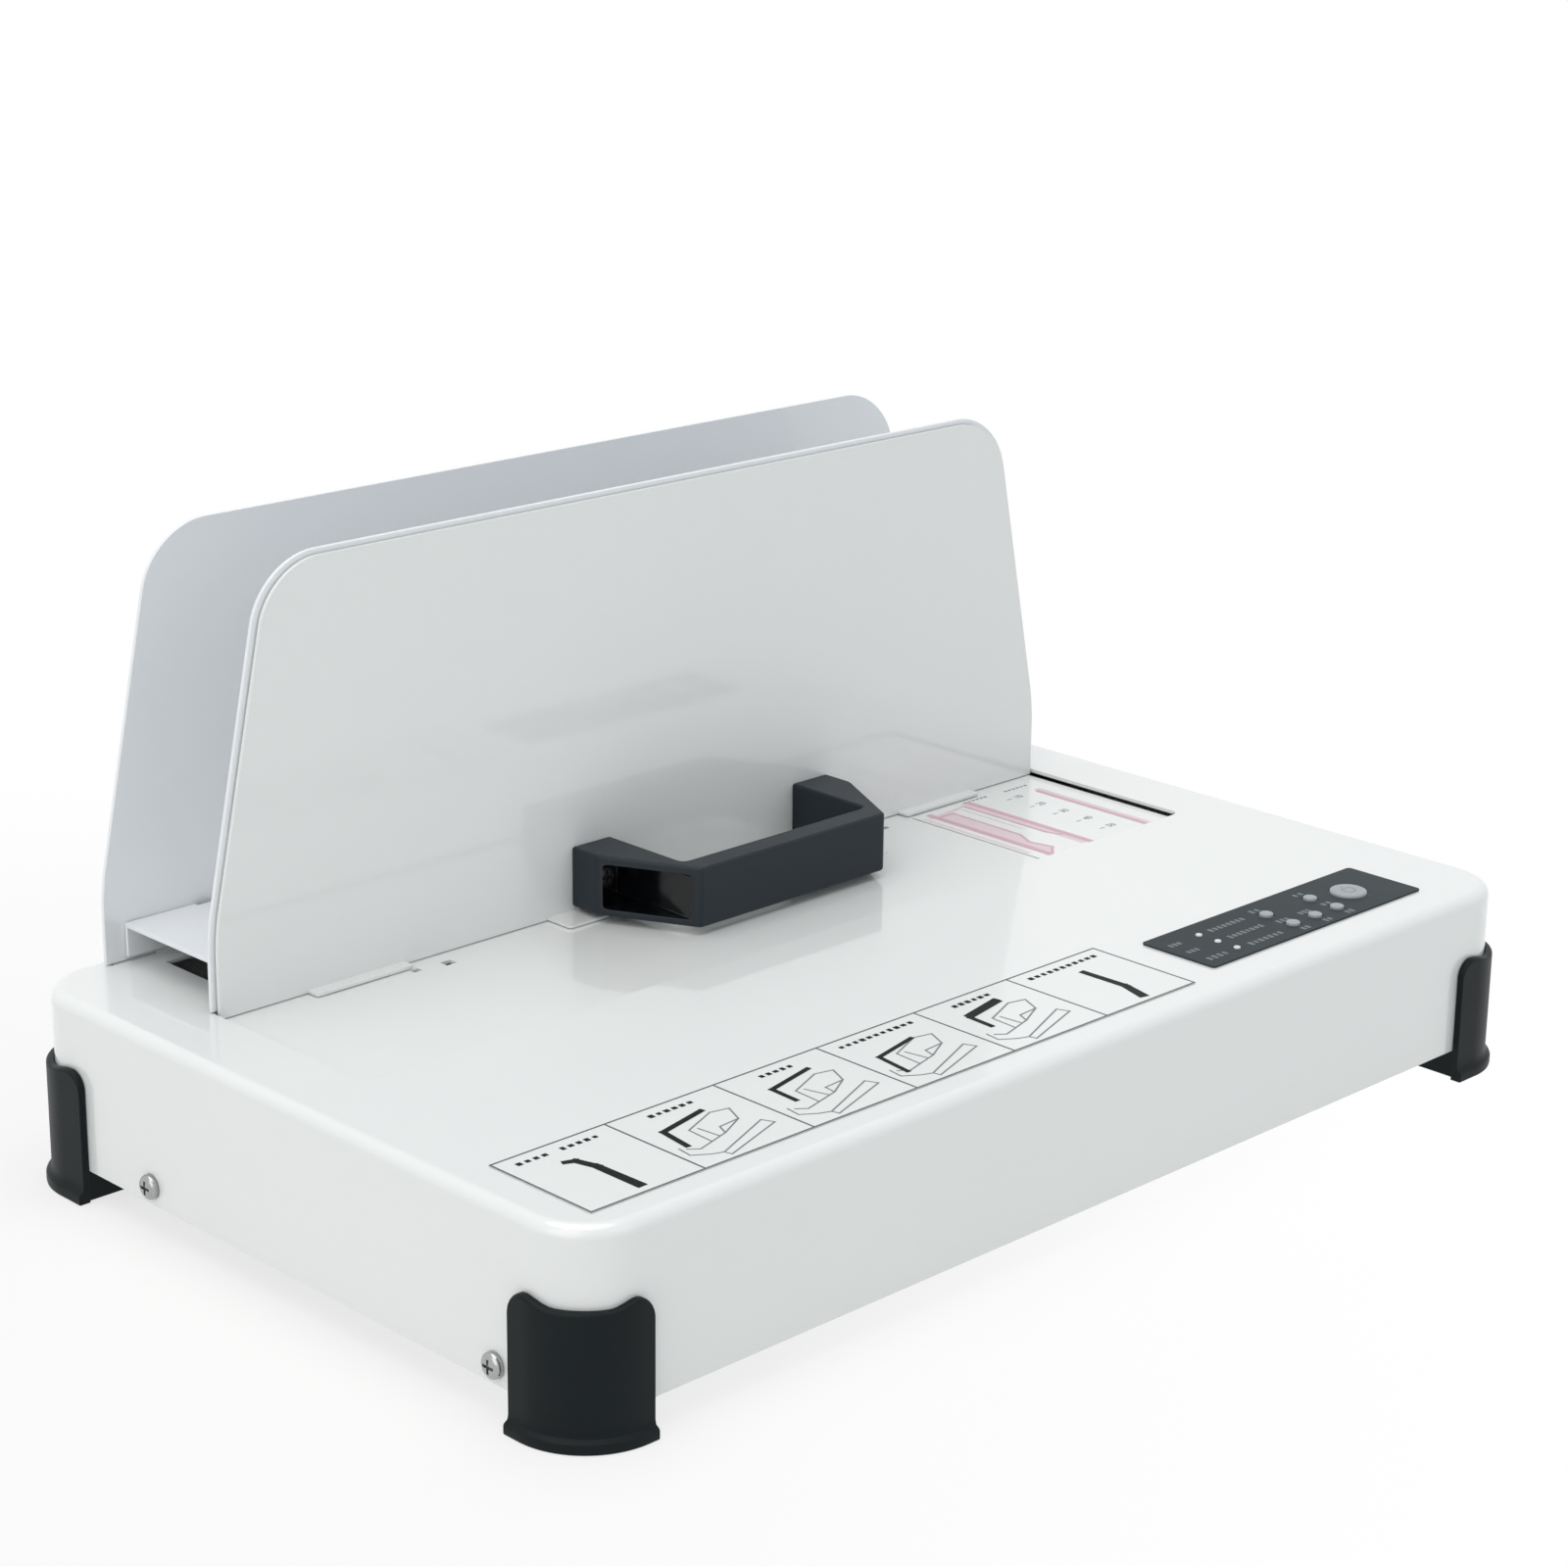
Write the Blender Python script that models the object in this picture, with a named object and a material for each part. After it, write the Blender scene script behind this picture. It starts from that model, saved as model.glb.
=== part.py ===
"""Desktop thermal binding machine, modelled closed, as it stands on a table.

Metres, +Z up, +X to the right along the front edge, +Y to the back. The
origin lies on the table under the middle of the housing. A book stands on the
heating plate between the clamp plate and the middle plate; finished books cool
in the rack between the middle plate and the rear plate. The clamp plate, the
sheet at its foot and the handle slide forward together on two rods.
"""

import math

import bmesh
import bpy
from mathutils import Matrix, Vector

# Sheets, fits and cutters
HOUSING_SHEET = 0.0012
PLATE_SHEET = 0.0012
BRACKET_SHEET = 0.0014
TRAY_SHEET = 0.0012
PAN_SHEET = 0.0012
FIT = 0.0003
OVERRUN = 0.002
WELD_OVERLAP = 0.0005

# Housing
HOUSING_WIDTH = 0.376
HOUSING_HEIGHT = 0.0484
GROUND_CLEARANCE = 0.0092
CORNER_RADIUS = 0.0184
TOP_EDGE_RADIUS = 0.005
CORNER_STEPS = 5
EDGE_STEPS = 3

# Depths from the front face to the rear face, in order
BOARD_FRONT_MARGIN = 0.0146
BOARD_DEPTH = 0.025
BOARD_TO_SLIDE = 0.0124
SLIDE_TRAVEL = 0.050
SLIDE_OVERLAP = 0.0093
WINDOW_SPARE = 0.013
CLOSED_GAP = 0.0005
RACK_DEPTH = 0.0485
REAR_MARGIN = 0.0051

FRONT_DECK_DEPTH = BOARD_FRONT_MARGIN + BOARD_DEPTH + BOARD_TO_SLIDE + SLIDE_TRAVEL + SLIDE_OVERLAP
WINDOW_DEPTH = SLIDE_TRAVEL + WINDOW_SPARE
PLATES_DEPTH = 3 * PLATE_SHEET + CLOSED_GAP + RACK_DEPTH
HOUSING_DEPTH = FRONT_DECK_DEPTH + WINDOW_DEPTH + PLATES_DEPTH + REAR_MARGIN

HALF_WIDTH = HOUSING_WIDTH / 2
HALF_DEPTH = HOUSING_DEPTH / 2
WINDOW_FRONT_Y = FRONT_DECK_DEPTH - HALF_DEPTH
CLAMP_FRONT_Y = WINDOW_FRONT_Y + WINDOW_DEPTH
CLAMP_BACK_Y = CLAMP_FRONT_Y + PLATE_SHEET
MIDDLE_FRONT_Y = CLAMP_BACK_Y + CLOSED_GAP
MIDDLE_BACK_Y = MIDDLE_FRONT_Y + PLATE_SHEET
REAR_FRONT_Y = MIDDLE_BACK_Y + RACK_DEPTH
REAR_BACK_Y = REAR_FRONT_Y + PLATE_SHEET

# Widths inside the housing, from the side wall inwards
SIDE_SPACE = 0.0184
RAIL_ZONE = 0.016
TRAY_SIDE_GAP = 0.0015
PLATEN_END_GAP = 0.0005

BRACKET_X = HALF_WIDTH - HOUSING_SHEET - SIDE_SPACE - BRACKET_SHEET
RAIL_ZONE_X = BRACKET_X - RAIL_ZONE
TRAY_END_X = RAIL_ZONE_X - TRAY_SIDE_GAP
PLATEN_END_X = TRAY_END_X - PLATEN_END_GAP

# Heights, from the deck downwards
SLIDE_DECK_GAP = 0.0006
PLATEN_DROP = 0.0034
PLATEN_THICKNESS = 0.004
HEATER_THICKNESS = 0.0032
INSULATION_THICKNESS = 0.0067

DECK_Z = GROUND_CLEARANCE + HOUSING_HEIGHT
DECK_UNDER_Z = DECK_Z - HOUSING_SHEET
SLIDE_TOP_Z = DECK_UNDER_Z - SLIDE_DECK_GAP
SLIDE_UNDER_Z = SLIDE_TOP_Z - PLATE_SHEET
PLATEN_TOP_Z = SLIDE_UNDER_Z - PLATEN_DROP
PLATEN_UNDER_Z = PLATEN_TOP_Z - PLATEN_THICKNESS
HEATER_TOP_Z = PLATEN_UNDER_Z - FIT
HEATER_UNDER_Z = HEATER_TOP_Z - HEATER_THICKNESS
INSULATION_TOP_Z = HEATER_UNDER_Z - FIT
INSULATION_UNDER_Z = INSULATION_TOP_Z - INSULATION_THICKNESS
TRAY_FLOOR_Z = INSULATION_UNDER_Z - FIT
TRAY_UNDER_Z = TRAY_FLOOR_Z - TRAY_SHEET
SHELF_TOP_Z = TRAY_UNDER_Z - FIT
PAN_TOP_Z = GROUND_CLEARANCE + PAN_SHEET

# Window in the deck and the opening under the rack
WINDOW_SIDE_STEP = 0.002
WINDOW_CORNER_RADIUS = 0.003
RACK_OPENING_SIDE_STEP = 0.0162
RACK_OPENING_REAR_STEP = 0.0077

WINDOW_X = BRACKET_X - WINDOW_SIDE_STEP
WINDOW_REAR_Y = MIDDLE_BACK_Y + FIT
RACK_OPENING_X = BRACKET_X - RACK_OPENING_SIDE_STEP
RACK_OPENING_REAR_Y = REAR_FRONT_Y - RACK_OPENING_REAR_STEP

# Upright plates
PLATE_HEIGHT = 0.1229
PLATE_STRAIGHT_HEIGHT = 0.0224
PLATE_TAPER = 0.0212
PLATE_CORNER_RADIUS = 0.022
PLATE_SHOULDER_RADIUS = 0.060
PLATE_SIDE_LAP = 0.0003
CLAMP_RIM_STEP = 0.0016

PLATE_HALF_WIDTH = WINDOW_X + PLATE_SIDE_LAP
PLATE_TOP_Z = DECK_Z + PLATE_HEIGHT
PLATE_FOOT_Z = DECK_Z + FIT
CLAMP_FOOT_Z = SLIDE_TOP_Z + FIT

# Clamp plate tabs
END_TAB_WIDTH = 0.0338
END_TAB_END_STEP = 0.0295
END_TAB_DEPTH = 0.0043
MIDDLE_TAB_WIDTH = 0.124
MIDDLE_TAB_DEPTH = 0.010

END_TAB_OUTER_X = PLATE_HALF_WIDTH - CLAMP_RIM_STEP - END_TAB_END_STEP
END_TAB_INNER_X = END_TAB_OUTER_X - END_TAB_WIDTH

# Slide deck under the clamp plate
SLIDE_SIDE_GAP = 0.002
SLIDE_LIP_HEIGHT = 0.0064
SLIDE_LIP_END_GAP = 0.011
SLIDE_HALF_WIDTH = WINDOW_X - SLIDE_SIDE_GAP
SLIDE_FRONT_Y = WINDOW_FRONT_Y - SLIDE_OVERLAP
SLIDE_REAR_Y = CLAMP_BACK_Y - FIT

# Studs and rivets formed on a sheet: shank radius, head radius, head height
RIVET = (0.0012, 0.0024, 0.001)
STUD = (0.0015, 0.0031, 0.002)
PEG = (0.0014, 0.002, 0.0012)
FOOT_PEG = (0.0022, 0.0034, 0.0026)
HEAD_TAPER_SHARE = 0.75

# Handle
HANDLE_CENTRE_X = 0.0148
HANDLE_HALF_WIDTH = 0.0527
HANDLE_REACH = 0.0395
HANDLE_SIDE_DEPTH = 0.0145
HANDLE_BAR_HALF_LENGTH = 0.038
HANDLE_BAR_THICKNESS = 0.0082
HANDLE_END_THICKNESS = 0.0151
HANDLE_DECK_GAP = 0.0006
HANDLE_HEIGHT = 0.0184
HANDLE_EDGE_RADIUS = 0.0008
POCKET_SIDE_WALL = 0.0013
POCKET_INNER_WALL = 0.0028
POCKET_FACE_WALL = 0.0026
HANDLE_FOOT_THICKNESS = 0.0044
HANDLE_NUT_RADIUS = 0.0038
HANDLE_NUT_HEIGHT = 0.002
HANDLE_SCREW_RADIUS = 0.0019
HANDLE_SCREW_HEAD_RADIUS = 0.0037
HANDLE_SCREW_HEAD_HEIGHT = 0.0024

HANDLE_BACK_Y = CLAMP_FRONT_Y - FIT
HANDLE_BOTTOM_Z = DECK_Z + HANDLE_DECK_GAP
HANDLE_TOP_Z = HANDLE_BOTTOM_Z + HANDLE_HEIGHT

# Guide rods, slide blocks and springs
ROD_RADIUS = 0.003
ROD_TO_BRACKET = 0.0055
ROD_DROP = 0.0064
ROD_TAB_TOP_GAP = 0.001
ROD_TAB_HALF_HEIGHT = 0.0055
ROD_TAB_SIDE_WALL = 0.0009
FRONT_TAB_CLEARANCE = 0.0106
REAR_TAB_STEP = 0.0008
BLOCK_LENGTH = 0.036
BLOCK_HEIGHT = 0.013
BLOCK_REAR_STEP = 0.0035
BLOCK_SIDE_GAP = 0.0005
BLOCK_STUD_FROM_END = 0.008
STUD_POCKET_DEPTH = 0.003
COLLAR_RADIUS = 0.0045
COLLAR_LENGTH = 0.0015
SPRING_WIRE_RADIUS = 0.0005
SPRING_RADIUS = 0.002
SPRING_FROM_ZONE = 0.0036
SPRING_RISE = 0.0059
SPRING_TURNS = 10
SPRING_TURN_POINTS = 6
SPRING_TAIL = 0.006
SPRING_BORE_DEPTH = 0.004
SPRING_TAB_FROM_REAR = 0.0097

ROD_X = BRACKET_X - ROD_TO_BRACKET
ROD_Z = SLIDE_UNDER_Z - ROD_DROP
BLOCK_TOP_Z = SLIDE_UNDER_Z - FIT
BLOCK_UNDER_Z = BLOCK_TOP_Z - BLOCK_HEIGHT
BLOCK_REAR_Y = CLAMP_BACK_Y - BLOCK_REAR_STEP
BLOCK_FRONT_Y = BLOCK_REAR_Y - BLOCK_LENGTH
SPRING_X = RAIL_ZONE_X + SPRING_FROM_ZONE
SPRING_Z = BLOCK_UNDER_Z + SPRING_RISE
FRONT_TAB_Y = BLOCK_FRONT_Y - SLIDE_TRAVEL - FRONT_TAB_CLEARANCE - BRACKET_SHEET
REAR_TAB_Y = MIDDLE_BACK_Y + REAR_TAB_STEP
SPRING_TAB_Y = REAR_FRONT_Y - SPRING_TAB_FROM_REAR

# Side brackets
BRACKET_FOOT_WIDTH = 0.015
BRACKET_TOP_GAP = 0.0025
SHELF_FRONT_STEP = 0.004
SHELF_LENGTH = 0.040
SPRING_TAB_HALF_HEIGHT = 0.0045
LEG_TAB_HEIGHT = 0.024
LEG_TAB_TOP_GAP = 0.005
BRACKET_RIVET_INSETS = (0.012, 0.070, 0.120)

# Rear plate legs
LEG_WIDTH = 0.014
LEG_FROM_PLATE_END = 0.0023
LEG_SLOT_SIDE_GAP = 0.0006
LEG_BOTTOM_STEP = 0.0004

# Rack floor
RACK_FLOOR_RISE = 0.0115
RACK_FLOOR_END_STEP = 0.0064
RACK_TAB_WIDTH = 0.0239
RACK_REAR_GAP = 0.0018
RACK_REAR_FLANGE_HEIGHT = 0.0099
RACK_FRONT_FLANGE_GAP = 0.0006
RACK_FLANGE_END_STEP = 0.001
RACK_RIVET_COUNT = 5
RACK_RIVET_END_INSET = 0.0185
RIVET_DROP = 0.0053

RACK_FLOOR_TOP_Z = DECK_Z + RACK_FLOOR_RISE
RACK_FLOOR_UNDER_Z = RACK_FLOOR_TOP_Z - PLATE_SHEET
RACK_FLOOR_X = PLATE_HALF_WIDTH - RACK_FLOOR_END_STEP
RACK_FRONT_Y = MIDDLE_BACK_Y + FIT

# Heater tray, heaters and sensors
TRAY_DEPTH = 0.0563
TRAY_FRONT_WALL_DROP = 0.0003
TRAY_REAR_WALL_RISE = 0.0048
PLATEN_FRONT_GAP = 0.0004
PLATEN_REAR_GAP = 0.0012
INSULATION_MARGIN = 0.003
HEATER_END_MARGIN = 0.009
HEATER_EDGE_MARGIN = 0.0035
HEATER_WIDTH = 0.014
MIDDLE_PLATE_LAP = 0.0148
MIDDLE_PLATE_END_STEP = 0.001
TRAY_RIVET_COUNT = 4
TRAY_RIVET_END_INSET = 0.0145
TRAY_RIVET_DROP = 0.0074
THERMOSTAT_RADIUS = 0.0079
THERMOSTAT_FLANGE_RADIUS = 0.0066
THERMOSTAT_BODY_HEIGHT = 0.0105
THERMOSTAT_CAP_HEIGHT = 0.0029
THERMOSTAT_HOLE_GAP = 0.0006
PROBE_RADIUS = 0.0016
PROBE_LENGTH = 0.020
PROBE_X = -0.060

TRAY_BACK_Y = MIDDLE_BACK_Y + FIT + TRAY_SHEET
TRAY_FRONT_Y = TRAY_BACK_Y - TRAY_DEPTH
PLATEN_FRONT_Y = TRAY_FRONT_Y + TRAY_SHEET + PLATEN_FRONT_GAP
PLATEN_REAR_Y = MIDDLE_FRONT_Y - PLATEN_REAR_GAP
PLATEN_CENTRE_Y = (PLATEN_FRONT_Y + PLATEN_REAR_Y) / 2
MIDDLE_PLATE_BOTTOM_Z = SLIDE_TOP_Z - MIDDLE_PLATE_LAP

# Screws
SCREW_RADIUS = 0.0019
SCREW_HEAD_RADIUS = 0.00355
SCREW_HEAD_HEIGHT = 0.0022
SMALL_SCREW_RADIUS = 0.0014
SMALL_SCREW_HEAD_RADIUS = 0.0026
SMALL_SCREW_HEAD_HEIGHT = 0.0016
SLOT_WIDTH = 0.0009
SLOT_DEPTH = 0.0009
SLOT_LENGTH_SHARE = 1.15
SCREW_EDGE_SHARE = 0.55
SCREW_TOP_SHARE = 0.72

# Bottom pan
PAN_FLANGE_HEIGHT = 0.014
PAN_FLANGE_FRONT_MARGIN = 0.027
VENT_COUNT = 7
VENT_PITCH = 0.014
VENT_WIDTH = 0.004
VENT_LENGTH = 0.034
VENT_SIDE_MARGIN = 0.133
VENT_FRONT_MARGIN = 0.058
SIDE_SCREW_FRONT_MARGIN = 0.0313
SIDE_SCREW_REAR_MARGIN = 0.0576
SIDE_SCREW_RISE = 0.0054
SIDE_SCREW_LENGTH = 0.0045

# Rubber feet
FOOT_WALL = 0.003
FOOT_LIP = 0.0012
FOOT_LIP_HEIGHT = 0.0032
FOOT_LIP_BLEND = 0.0018
FOOT_EAR_HEIGHT = 0.0382
FOOT_SADDLE_HEIGHT = 0.0364
FOOT_EAR_SIDE = 0.0083
FOOT_EAR_FRONT = 0.006
FOOT_EAR_RADIUS = 0.0052
FOOT_RIM_ROUND = 0.0007
FOOT_PAD_LAP = 0.001
FOOT_ARC_STEPS = 8
FOOT_EAR_STEPS = 4
FOOT_PEG_INSET = 0.014

# Control panel
PANEL_WIDTH = 0.098
PANEL_DEPTH = 0.0268
PANEL_RIGHT_MARGIN = 0.0285
PANEL_THICKNESS = 0.0005
PANEL_CORNER_RADIUS = 0.0012
FILM_GAP = 0.0001
KEY_TRAVEL = 0.0005
KEY_RISE = 0.0008
KEY_CAP_HEIGHT = 0.0029
KEY_RADIUS = 0.0022
POWER_KEY_RADIUS = 0.0057
KEY_SIDE_GAP = 0.0003
KEY_STEM_RADIUS = 0.0013
KEY_EDGE_RADIUS = 0.0004
POWER_KEY_OFFSET = (0.0303, -0.0005)
SMALL_KEY_OFFSETS = {
    "temperature_key": (-0.0040, 0.0035),
    "time_key": (0.0169, 0.0035),
    "minus_key": (-0.0040, -0.0064),
    "plus_key": (0.0064, -0.0064),
    "start_key": (0.0169, -0.0064),
}
LAMP_OFFSETS = ((-0.0320, 0.0060), (-0.0320, -0.0010), (-0.0320, -0.0080))
LAMP_RADIUS = 0.0009
LAMP_RISE = 0.0003

PANEL_CENTRE_X = HALF_WIDTH - PANEL_RIGHT_MARGIN - PANEL_WIDTH / 2

# Boards and what stands on them
BOARD_THICKNESS = 0.0016
BOARD_WIDTH = 0.092
BOARD_DROP = 0.0064
POST_RADIUS = 0.0024
POST_INSET = 0.0035
SWITCH_WIDTH = 0.0058
SWITCH_HEIGHT = 0.0036
SWITCH_BORE_DEPTH = 0.0022
SWITCH_BORE_GAP = 0.0003
BUZZER_RADIUS = 0.0045
BUZZER_HEIGHT = 0.0045
BUZZER_OFFSET = (-0.020, 0.0045)
POWER_BOARD_WIDTH = 0.092
POWER_BOARD_DEPTH = 0.058
POWER_BOARD_SIDE_MARGIN = 0.056
POWER_BOARD_FRONT_MARGIN = 0.018
POWER_BOARD_RISE = 0.0055
TRANSFORMER_SIZE = (0.040, 0.034, 0.021)
TRANSFORMER_OFFSET = (-0.020, -0.004)
TRANSFORMER_COIL_INSET = 0.006
TRANSFORMER_COIL_SIDE = 0.0025
RELAY_SIZE = (0.019, 0.0155, 0.0155)
RELAY_OFFSET = (0.018, 0.010)
RIBBON_OFFSET = (0.032, -0.016)

CONTROL_BOARD_TOP_Z = DECK_UNDER_Z - BOARD_DROP
CONTROL_BOARD_UNDER_Z = CONTROL_BOARD_TOP_Z - BOARD_THICKNESS
CONTROL_BOARD_FRONT_Y = BOARD_FRONT_MARGIN - HALF_DEPTH
CONTROL_BOARD_CENTRE_Y = CONTROL_BOARD_FRONT_Y + BOARD_DEPTH / 2
POWER_BOARD_UNDER_Z = PAN_TOP_Z + POWER_BOARD_RISE
POWER_BOARD_TOP_Z = POWER_BOARD_UNDER_Z + BOARD_THICKNESS
POWER_BOARD_CENTRE_X = POWER_BOARD_SIDE_MARGIN + POWER_BOARD_WIDTH / 2 - HALF_WIDTH
POWER_BOARD_CENTRE_Y = POWER_BOARD_FRONT_MARGIN + POWER_BOARD_DEPTH / 2 - HALF_DEPTH
PANEL_TOP_Z = DECK_Z + FILM_GAP + PANEL_THICKNESS

# Instruction label and ruler label
LABEL_THICKNESS = 0.0002
LABEL_TO_PANEL_GAP = 0.0128
LABEL_DEPTH = 0.0377
LABEL_LEFT_MARGIN = 0.0123
LABEL_FRONT_MARGIN = 0.0099
RULER_WIDTH = 0.056
RULER_RIGHT_MARGIN = 0.006
RULER_REAR_GAP = 0.0055
RULER_FRONT_GAP = 0.0003

LABEL_WIDTH = HOUSING_WIDTH - LABEL_LEFT_MARGIN - LABEL_TO_PANEL_GAP - PANEL_WIDTH - PANEL_RIGHT_MARGIN

# Mains inlet and rocker switch on the rear face
INLET_SIDE_MARGIN = 0.070
REAR_PARTS_RISE = 0.024
INLET_WIDTH = 0.027
INLET_HEIGHT = 0.0195
INLET_DEPTH = 0.021
INLET_FLANGE_WIDTH = 0.031
INLET_FLANGE_THICKNESS = 0.0026
INLET_FLANGE_HEIGHT = 0.0225
INLET_CORNER_RADIUS = 0.003
INLET_FLANGE_CORNER_RADIUS = 0.004
SOCKET_WIDTH = 0.0225
SOCKET_HEIGHT = 0.0150
SOCKET_DEPTH = 0.0185
SOCKET_CORNER_RADIUS = 0.004
PIN_WIDTH = 0.004
PIN_THICKNESS = 0.002
PIN_LENGTH = 0.0125
PIN_SPACING = 0.007
PIN_DROP = 0.0018
CUTOUT_GAP = 0.0004
ROCKER_FROM_INLET = 0.056
BEZEL_WIDTH = 0.015
BEZEL_HEIGHT = 0.021
BEZEL_THICKNESS = 0.002
SWITCH_BODY_WIDTH = 0.0128
SWITCH_BODY_HEIGHT = 0.0188
SWITCH_BODY_DEPTH = 0.014
SWITCH_WELL_DEPTH = 0.0085
SWITCH_WELL_WALL = 0.0012
ROCKER_SIDE_GAP = 0.0003
ROCKER_END_GAP = 0.0009
ROCKER_THICKNESS = 0.0055
ROCKER_RISE = 0.0004
ROCKER_TILT_DEG = 8.0
ROCKER_AXLE_RADIUS = 0.0011
ROCKER_AXLE_DEPTH = 0.0025
ROCKER_AXLE_LAP = 0.0007

REAR_PARTS_Z = GROUND_CLEARANCE + REAR_PARTS_RISE
INLET_CENTRE_X = INLET_SIDE_MARGIN - HALF_WIDTH
ROCKER_CENTRE_X = INLET_CENTRE_X + ROCKER_FROM_INLET

# Leads and the ribbon between the boards
LEAD_RADIUS = 0.0011
LEAD_STEP = 0.0065
LEAD_RISE = 0.0105
LEAD_STRAIGHT = 0.006
LEAD_BEND = 0.020
LEAD_SIDE_STEP = 0.014
RIBBON_WIDTH = 0.012
RIBBON_THICKNESS = 0.0008
RIBBON_POINTS = 14
RIBBON_PULL_SHARE = 0.8
RIBBON_BOARD_INSET = 0.012
HEATER_LEAD_INSET = 0.020
HEATER_LEAD_HOLE_GAP = 0.0007

# Side counts of round pieces
ROUND_SIDES = 20
SMALL_SIDES = 12
STUD_SIDES = 8

WHITE = ("white_paint", (0.83, 0.84, 0.84), 0.22, 0.0)
BLACK_RUBBER = ("black_rubber", (0.022, 0.026, 0.029), 0.62, 0.0)
BLACK_PLASTIC = ("black_plastic", (0.026, 0.031, 0.036), 0.45, 0.0)
PANEL_GREY = ("panel_grey", (0.07, 0.088, 0.097), 0.4, 0.0)
KEY_GREY = ("key_grey", (0.52, 0.55, 0.56), 0.45, 0.0)
LABEL_FILM = ("label_film", (0.82, 0.83, 0.83), 0.3, 0.0)
ZINC = ("zinc_plate", (0.55, 0.56, 0.57), 0.35, 1.0)
CHROME = ("bright_screw", (0.7, 0.7, 0.7), 0.2, 1.0)
ALUMINIUM = ("aluminium", (0.75, 0.76, 0.77), 0.35, 1.0)
STEEL = ("ground_steel", (0.6, 0.6, 0.6), 0.25, 1.0)
SPRING_STEEL = ("spring_steel", (0.4, 0.4, 0.42), 0.35, 1.0)
SLIDE_PLASTIC = ("white_slide_plastic", (0.7, 0.7, 0.66), 0.5, 0.0)
SILICONE = ("orange_silicone", (0.55, 0.16, 0.05), 0.6, 0.0)
MINERAL_BOARD = ("mineral_board", (0.62, 0.58, 0.5), 0.9, 0.0)
CERAMIC = ("ceramic", (0.75, 0.7, 0.62), 0.5, 0.0)
BOARD_GREEN = ("board_green", (0.02, 0.16, 0.07), 0.4, 0.0)
COPPER_COIL = ("copper_coil", (0.5, 0.3, 0.12), 0.4, 0.6)
RELAY_BLUE = ("relay_blue", (0.05, 0.14, 0.4), 0.4, 0.0)
ROCKER_RED = ("rocker_red", (0.5, 0.02, 0.02), 0.35, 0.0)
LEAD_BROWN = ("lead_brown", (0.2, 0.08, 0.03), 0.5, 0.0)
LEAD_RED = ("lead_red", (0.5, 0.03, 0.03), 0.5, 0.0)
RIBBON_GREY = ("ribbon_grey", (0.45, 0.45, 0.47), 0.5, 0.0)


def clear_scene():
    """Remove every object, so that the file can be run again."""
    for old in list(bpy.data.objects):
        bpy.data.objects.remove(old, do_unlink=True)


def finish_material(look):
    """Return the Principled material of one look, made on first use."""
    name, colour, roughness, metallic = look
    found = bpy.data.materials.get(name)
    if found:
        return found
    made = bpy.data.materials.new(name)
    made.use_nodes = True
    shader = made.node_tree.nodes["Principled BSDF"]
    shader.inputs["Base Color"].default_value = (*colour, 1.0)
    shader.inputs["Roughness"].default_value = roughness
    shader.inputs["Metallic"].default_value = metallic
    made.diffuse_color = (*colour, 1.0)
    return made


def make_object(name, shape, look, carrier=None):
    """Turn a bmesh in world coordinates into an object, set on its carrier's origin."""
    bmesh.ops.recalc_face_normals(shape, faces=shape.faces)
    origin = carrier.location.copy() if carrier else Vector((0, 0, 0))
    bmesh.ops.translate(shape, vec=-origin, verts=shape.verts)
    mesh = bpy.data.meshes.new(name)
    shape.to_mesh(mesh)
    shape.free()
    mesh.shade_smooth()
    mesh.set_sharp_from_angle(angle=math.radians(30))
    made = bpy.data.objects.new(name, mesh)
    made.data.materials.append(finish_material(look))
    bpy.context.scene.collection.objects.link(made)
    if carrier:
        made.parent = carrier
    return made


def make_carrier(name, place):
    """Add an empty on a joint's axis, for the moving pieces to hang on."""
    carrier = bpy.data.objects.new(name, None)
    carrier.location = place
    bpy.context.scene.collection.objects.link(carrier)
    return carrier


def combine(target, name, shape, operation):
    """Cut a shape from an object, or join it on, with a live Boolean modifier."""
    tool = make_object(name, shape, ZINC)
    tool.parent = target.parent
    if target.parent:
        tool.data.transform(Matrix.Translation(-target.parent.location))
    tool.hide_render = True
    tool.display_type = "WIRE"
    modifier = target.modifiers.new(name, "BOOLEAN")
    modifier.object = tool
    modifier.operation = operation
    modifier.solver = "EXACT"


def cut(target, name, shape):
    """Cut a shape out of an object."""
    combine(target, name, shape, "DIFFERENCE")


def join(target, name, shape):
    """Join a shape, such as a welded tab, onto an object."""
    combine(target, name, shape, "UNION")


def add_box(shape, low, high):
    """Add a box between two opposite corners."""
    low, high = Vector(low), Vector(high)
    size = Matrix.Diagonal((*(high - low), 1.0))
    bmesh.ops.create_cube(shape, size=1.0, matrix=Matrix.Translation((low + high) / 2) @ size)


def boxes(*corner_pairs):
    """Return a bmesh of separate boxes."""
    shape = bmesh.new()
    for low, high in corner_pairs:
        add_box(shape, low, high)
    return shape


def side_box(side, inner_x, outer_x, low_yz, high_yz):
    """Return the corner pair of a box on one side of the machine."""
    left, right = sorted((side * inner_x, side * outer_x))
    return (left, *low_yz), (right, *high_yz)


def axis_frame(place, direction):
    """Return the matrix that stands a turned shape at a place, along a direction."""
    turn = Vector(direction).to_track_quat("Z", "Y").to_matrix().to_4x4()
    return Matrix.Translation(place) @ turn


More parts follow.
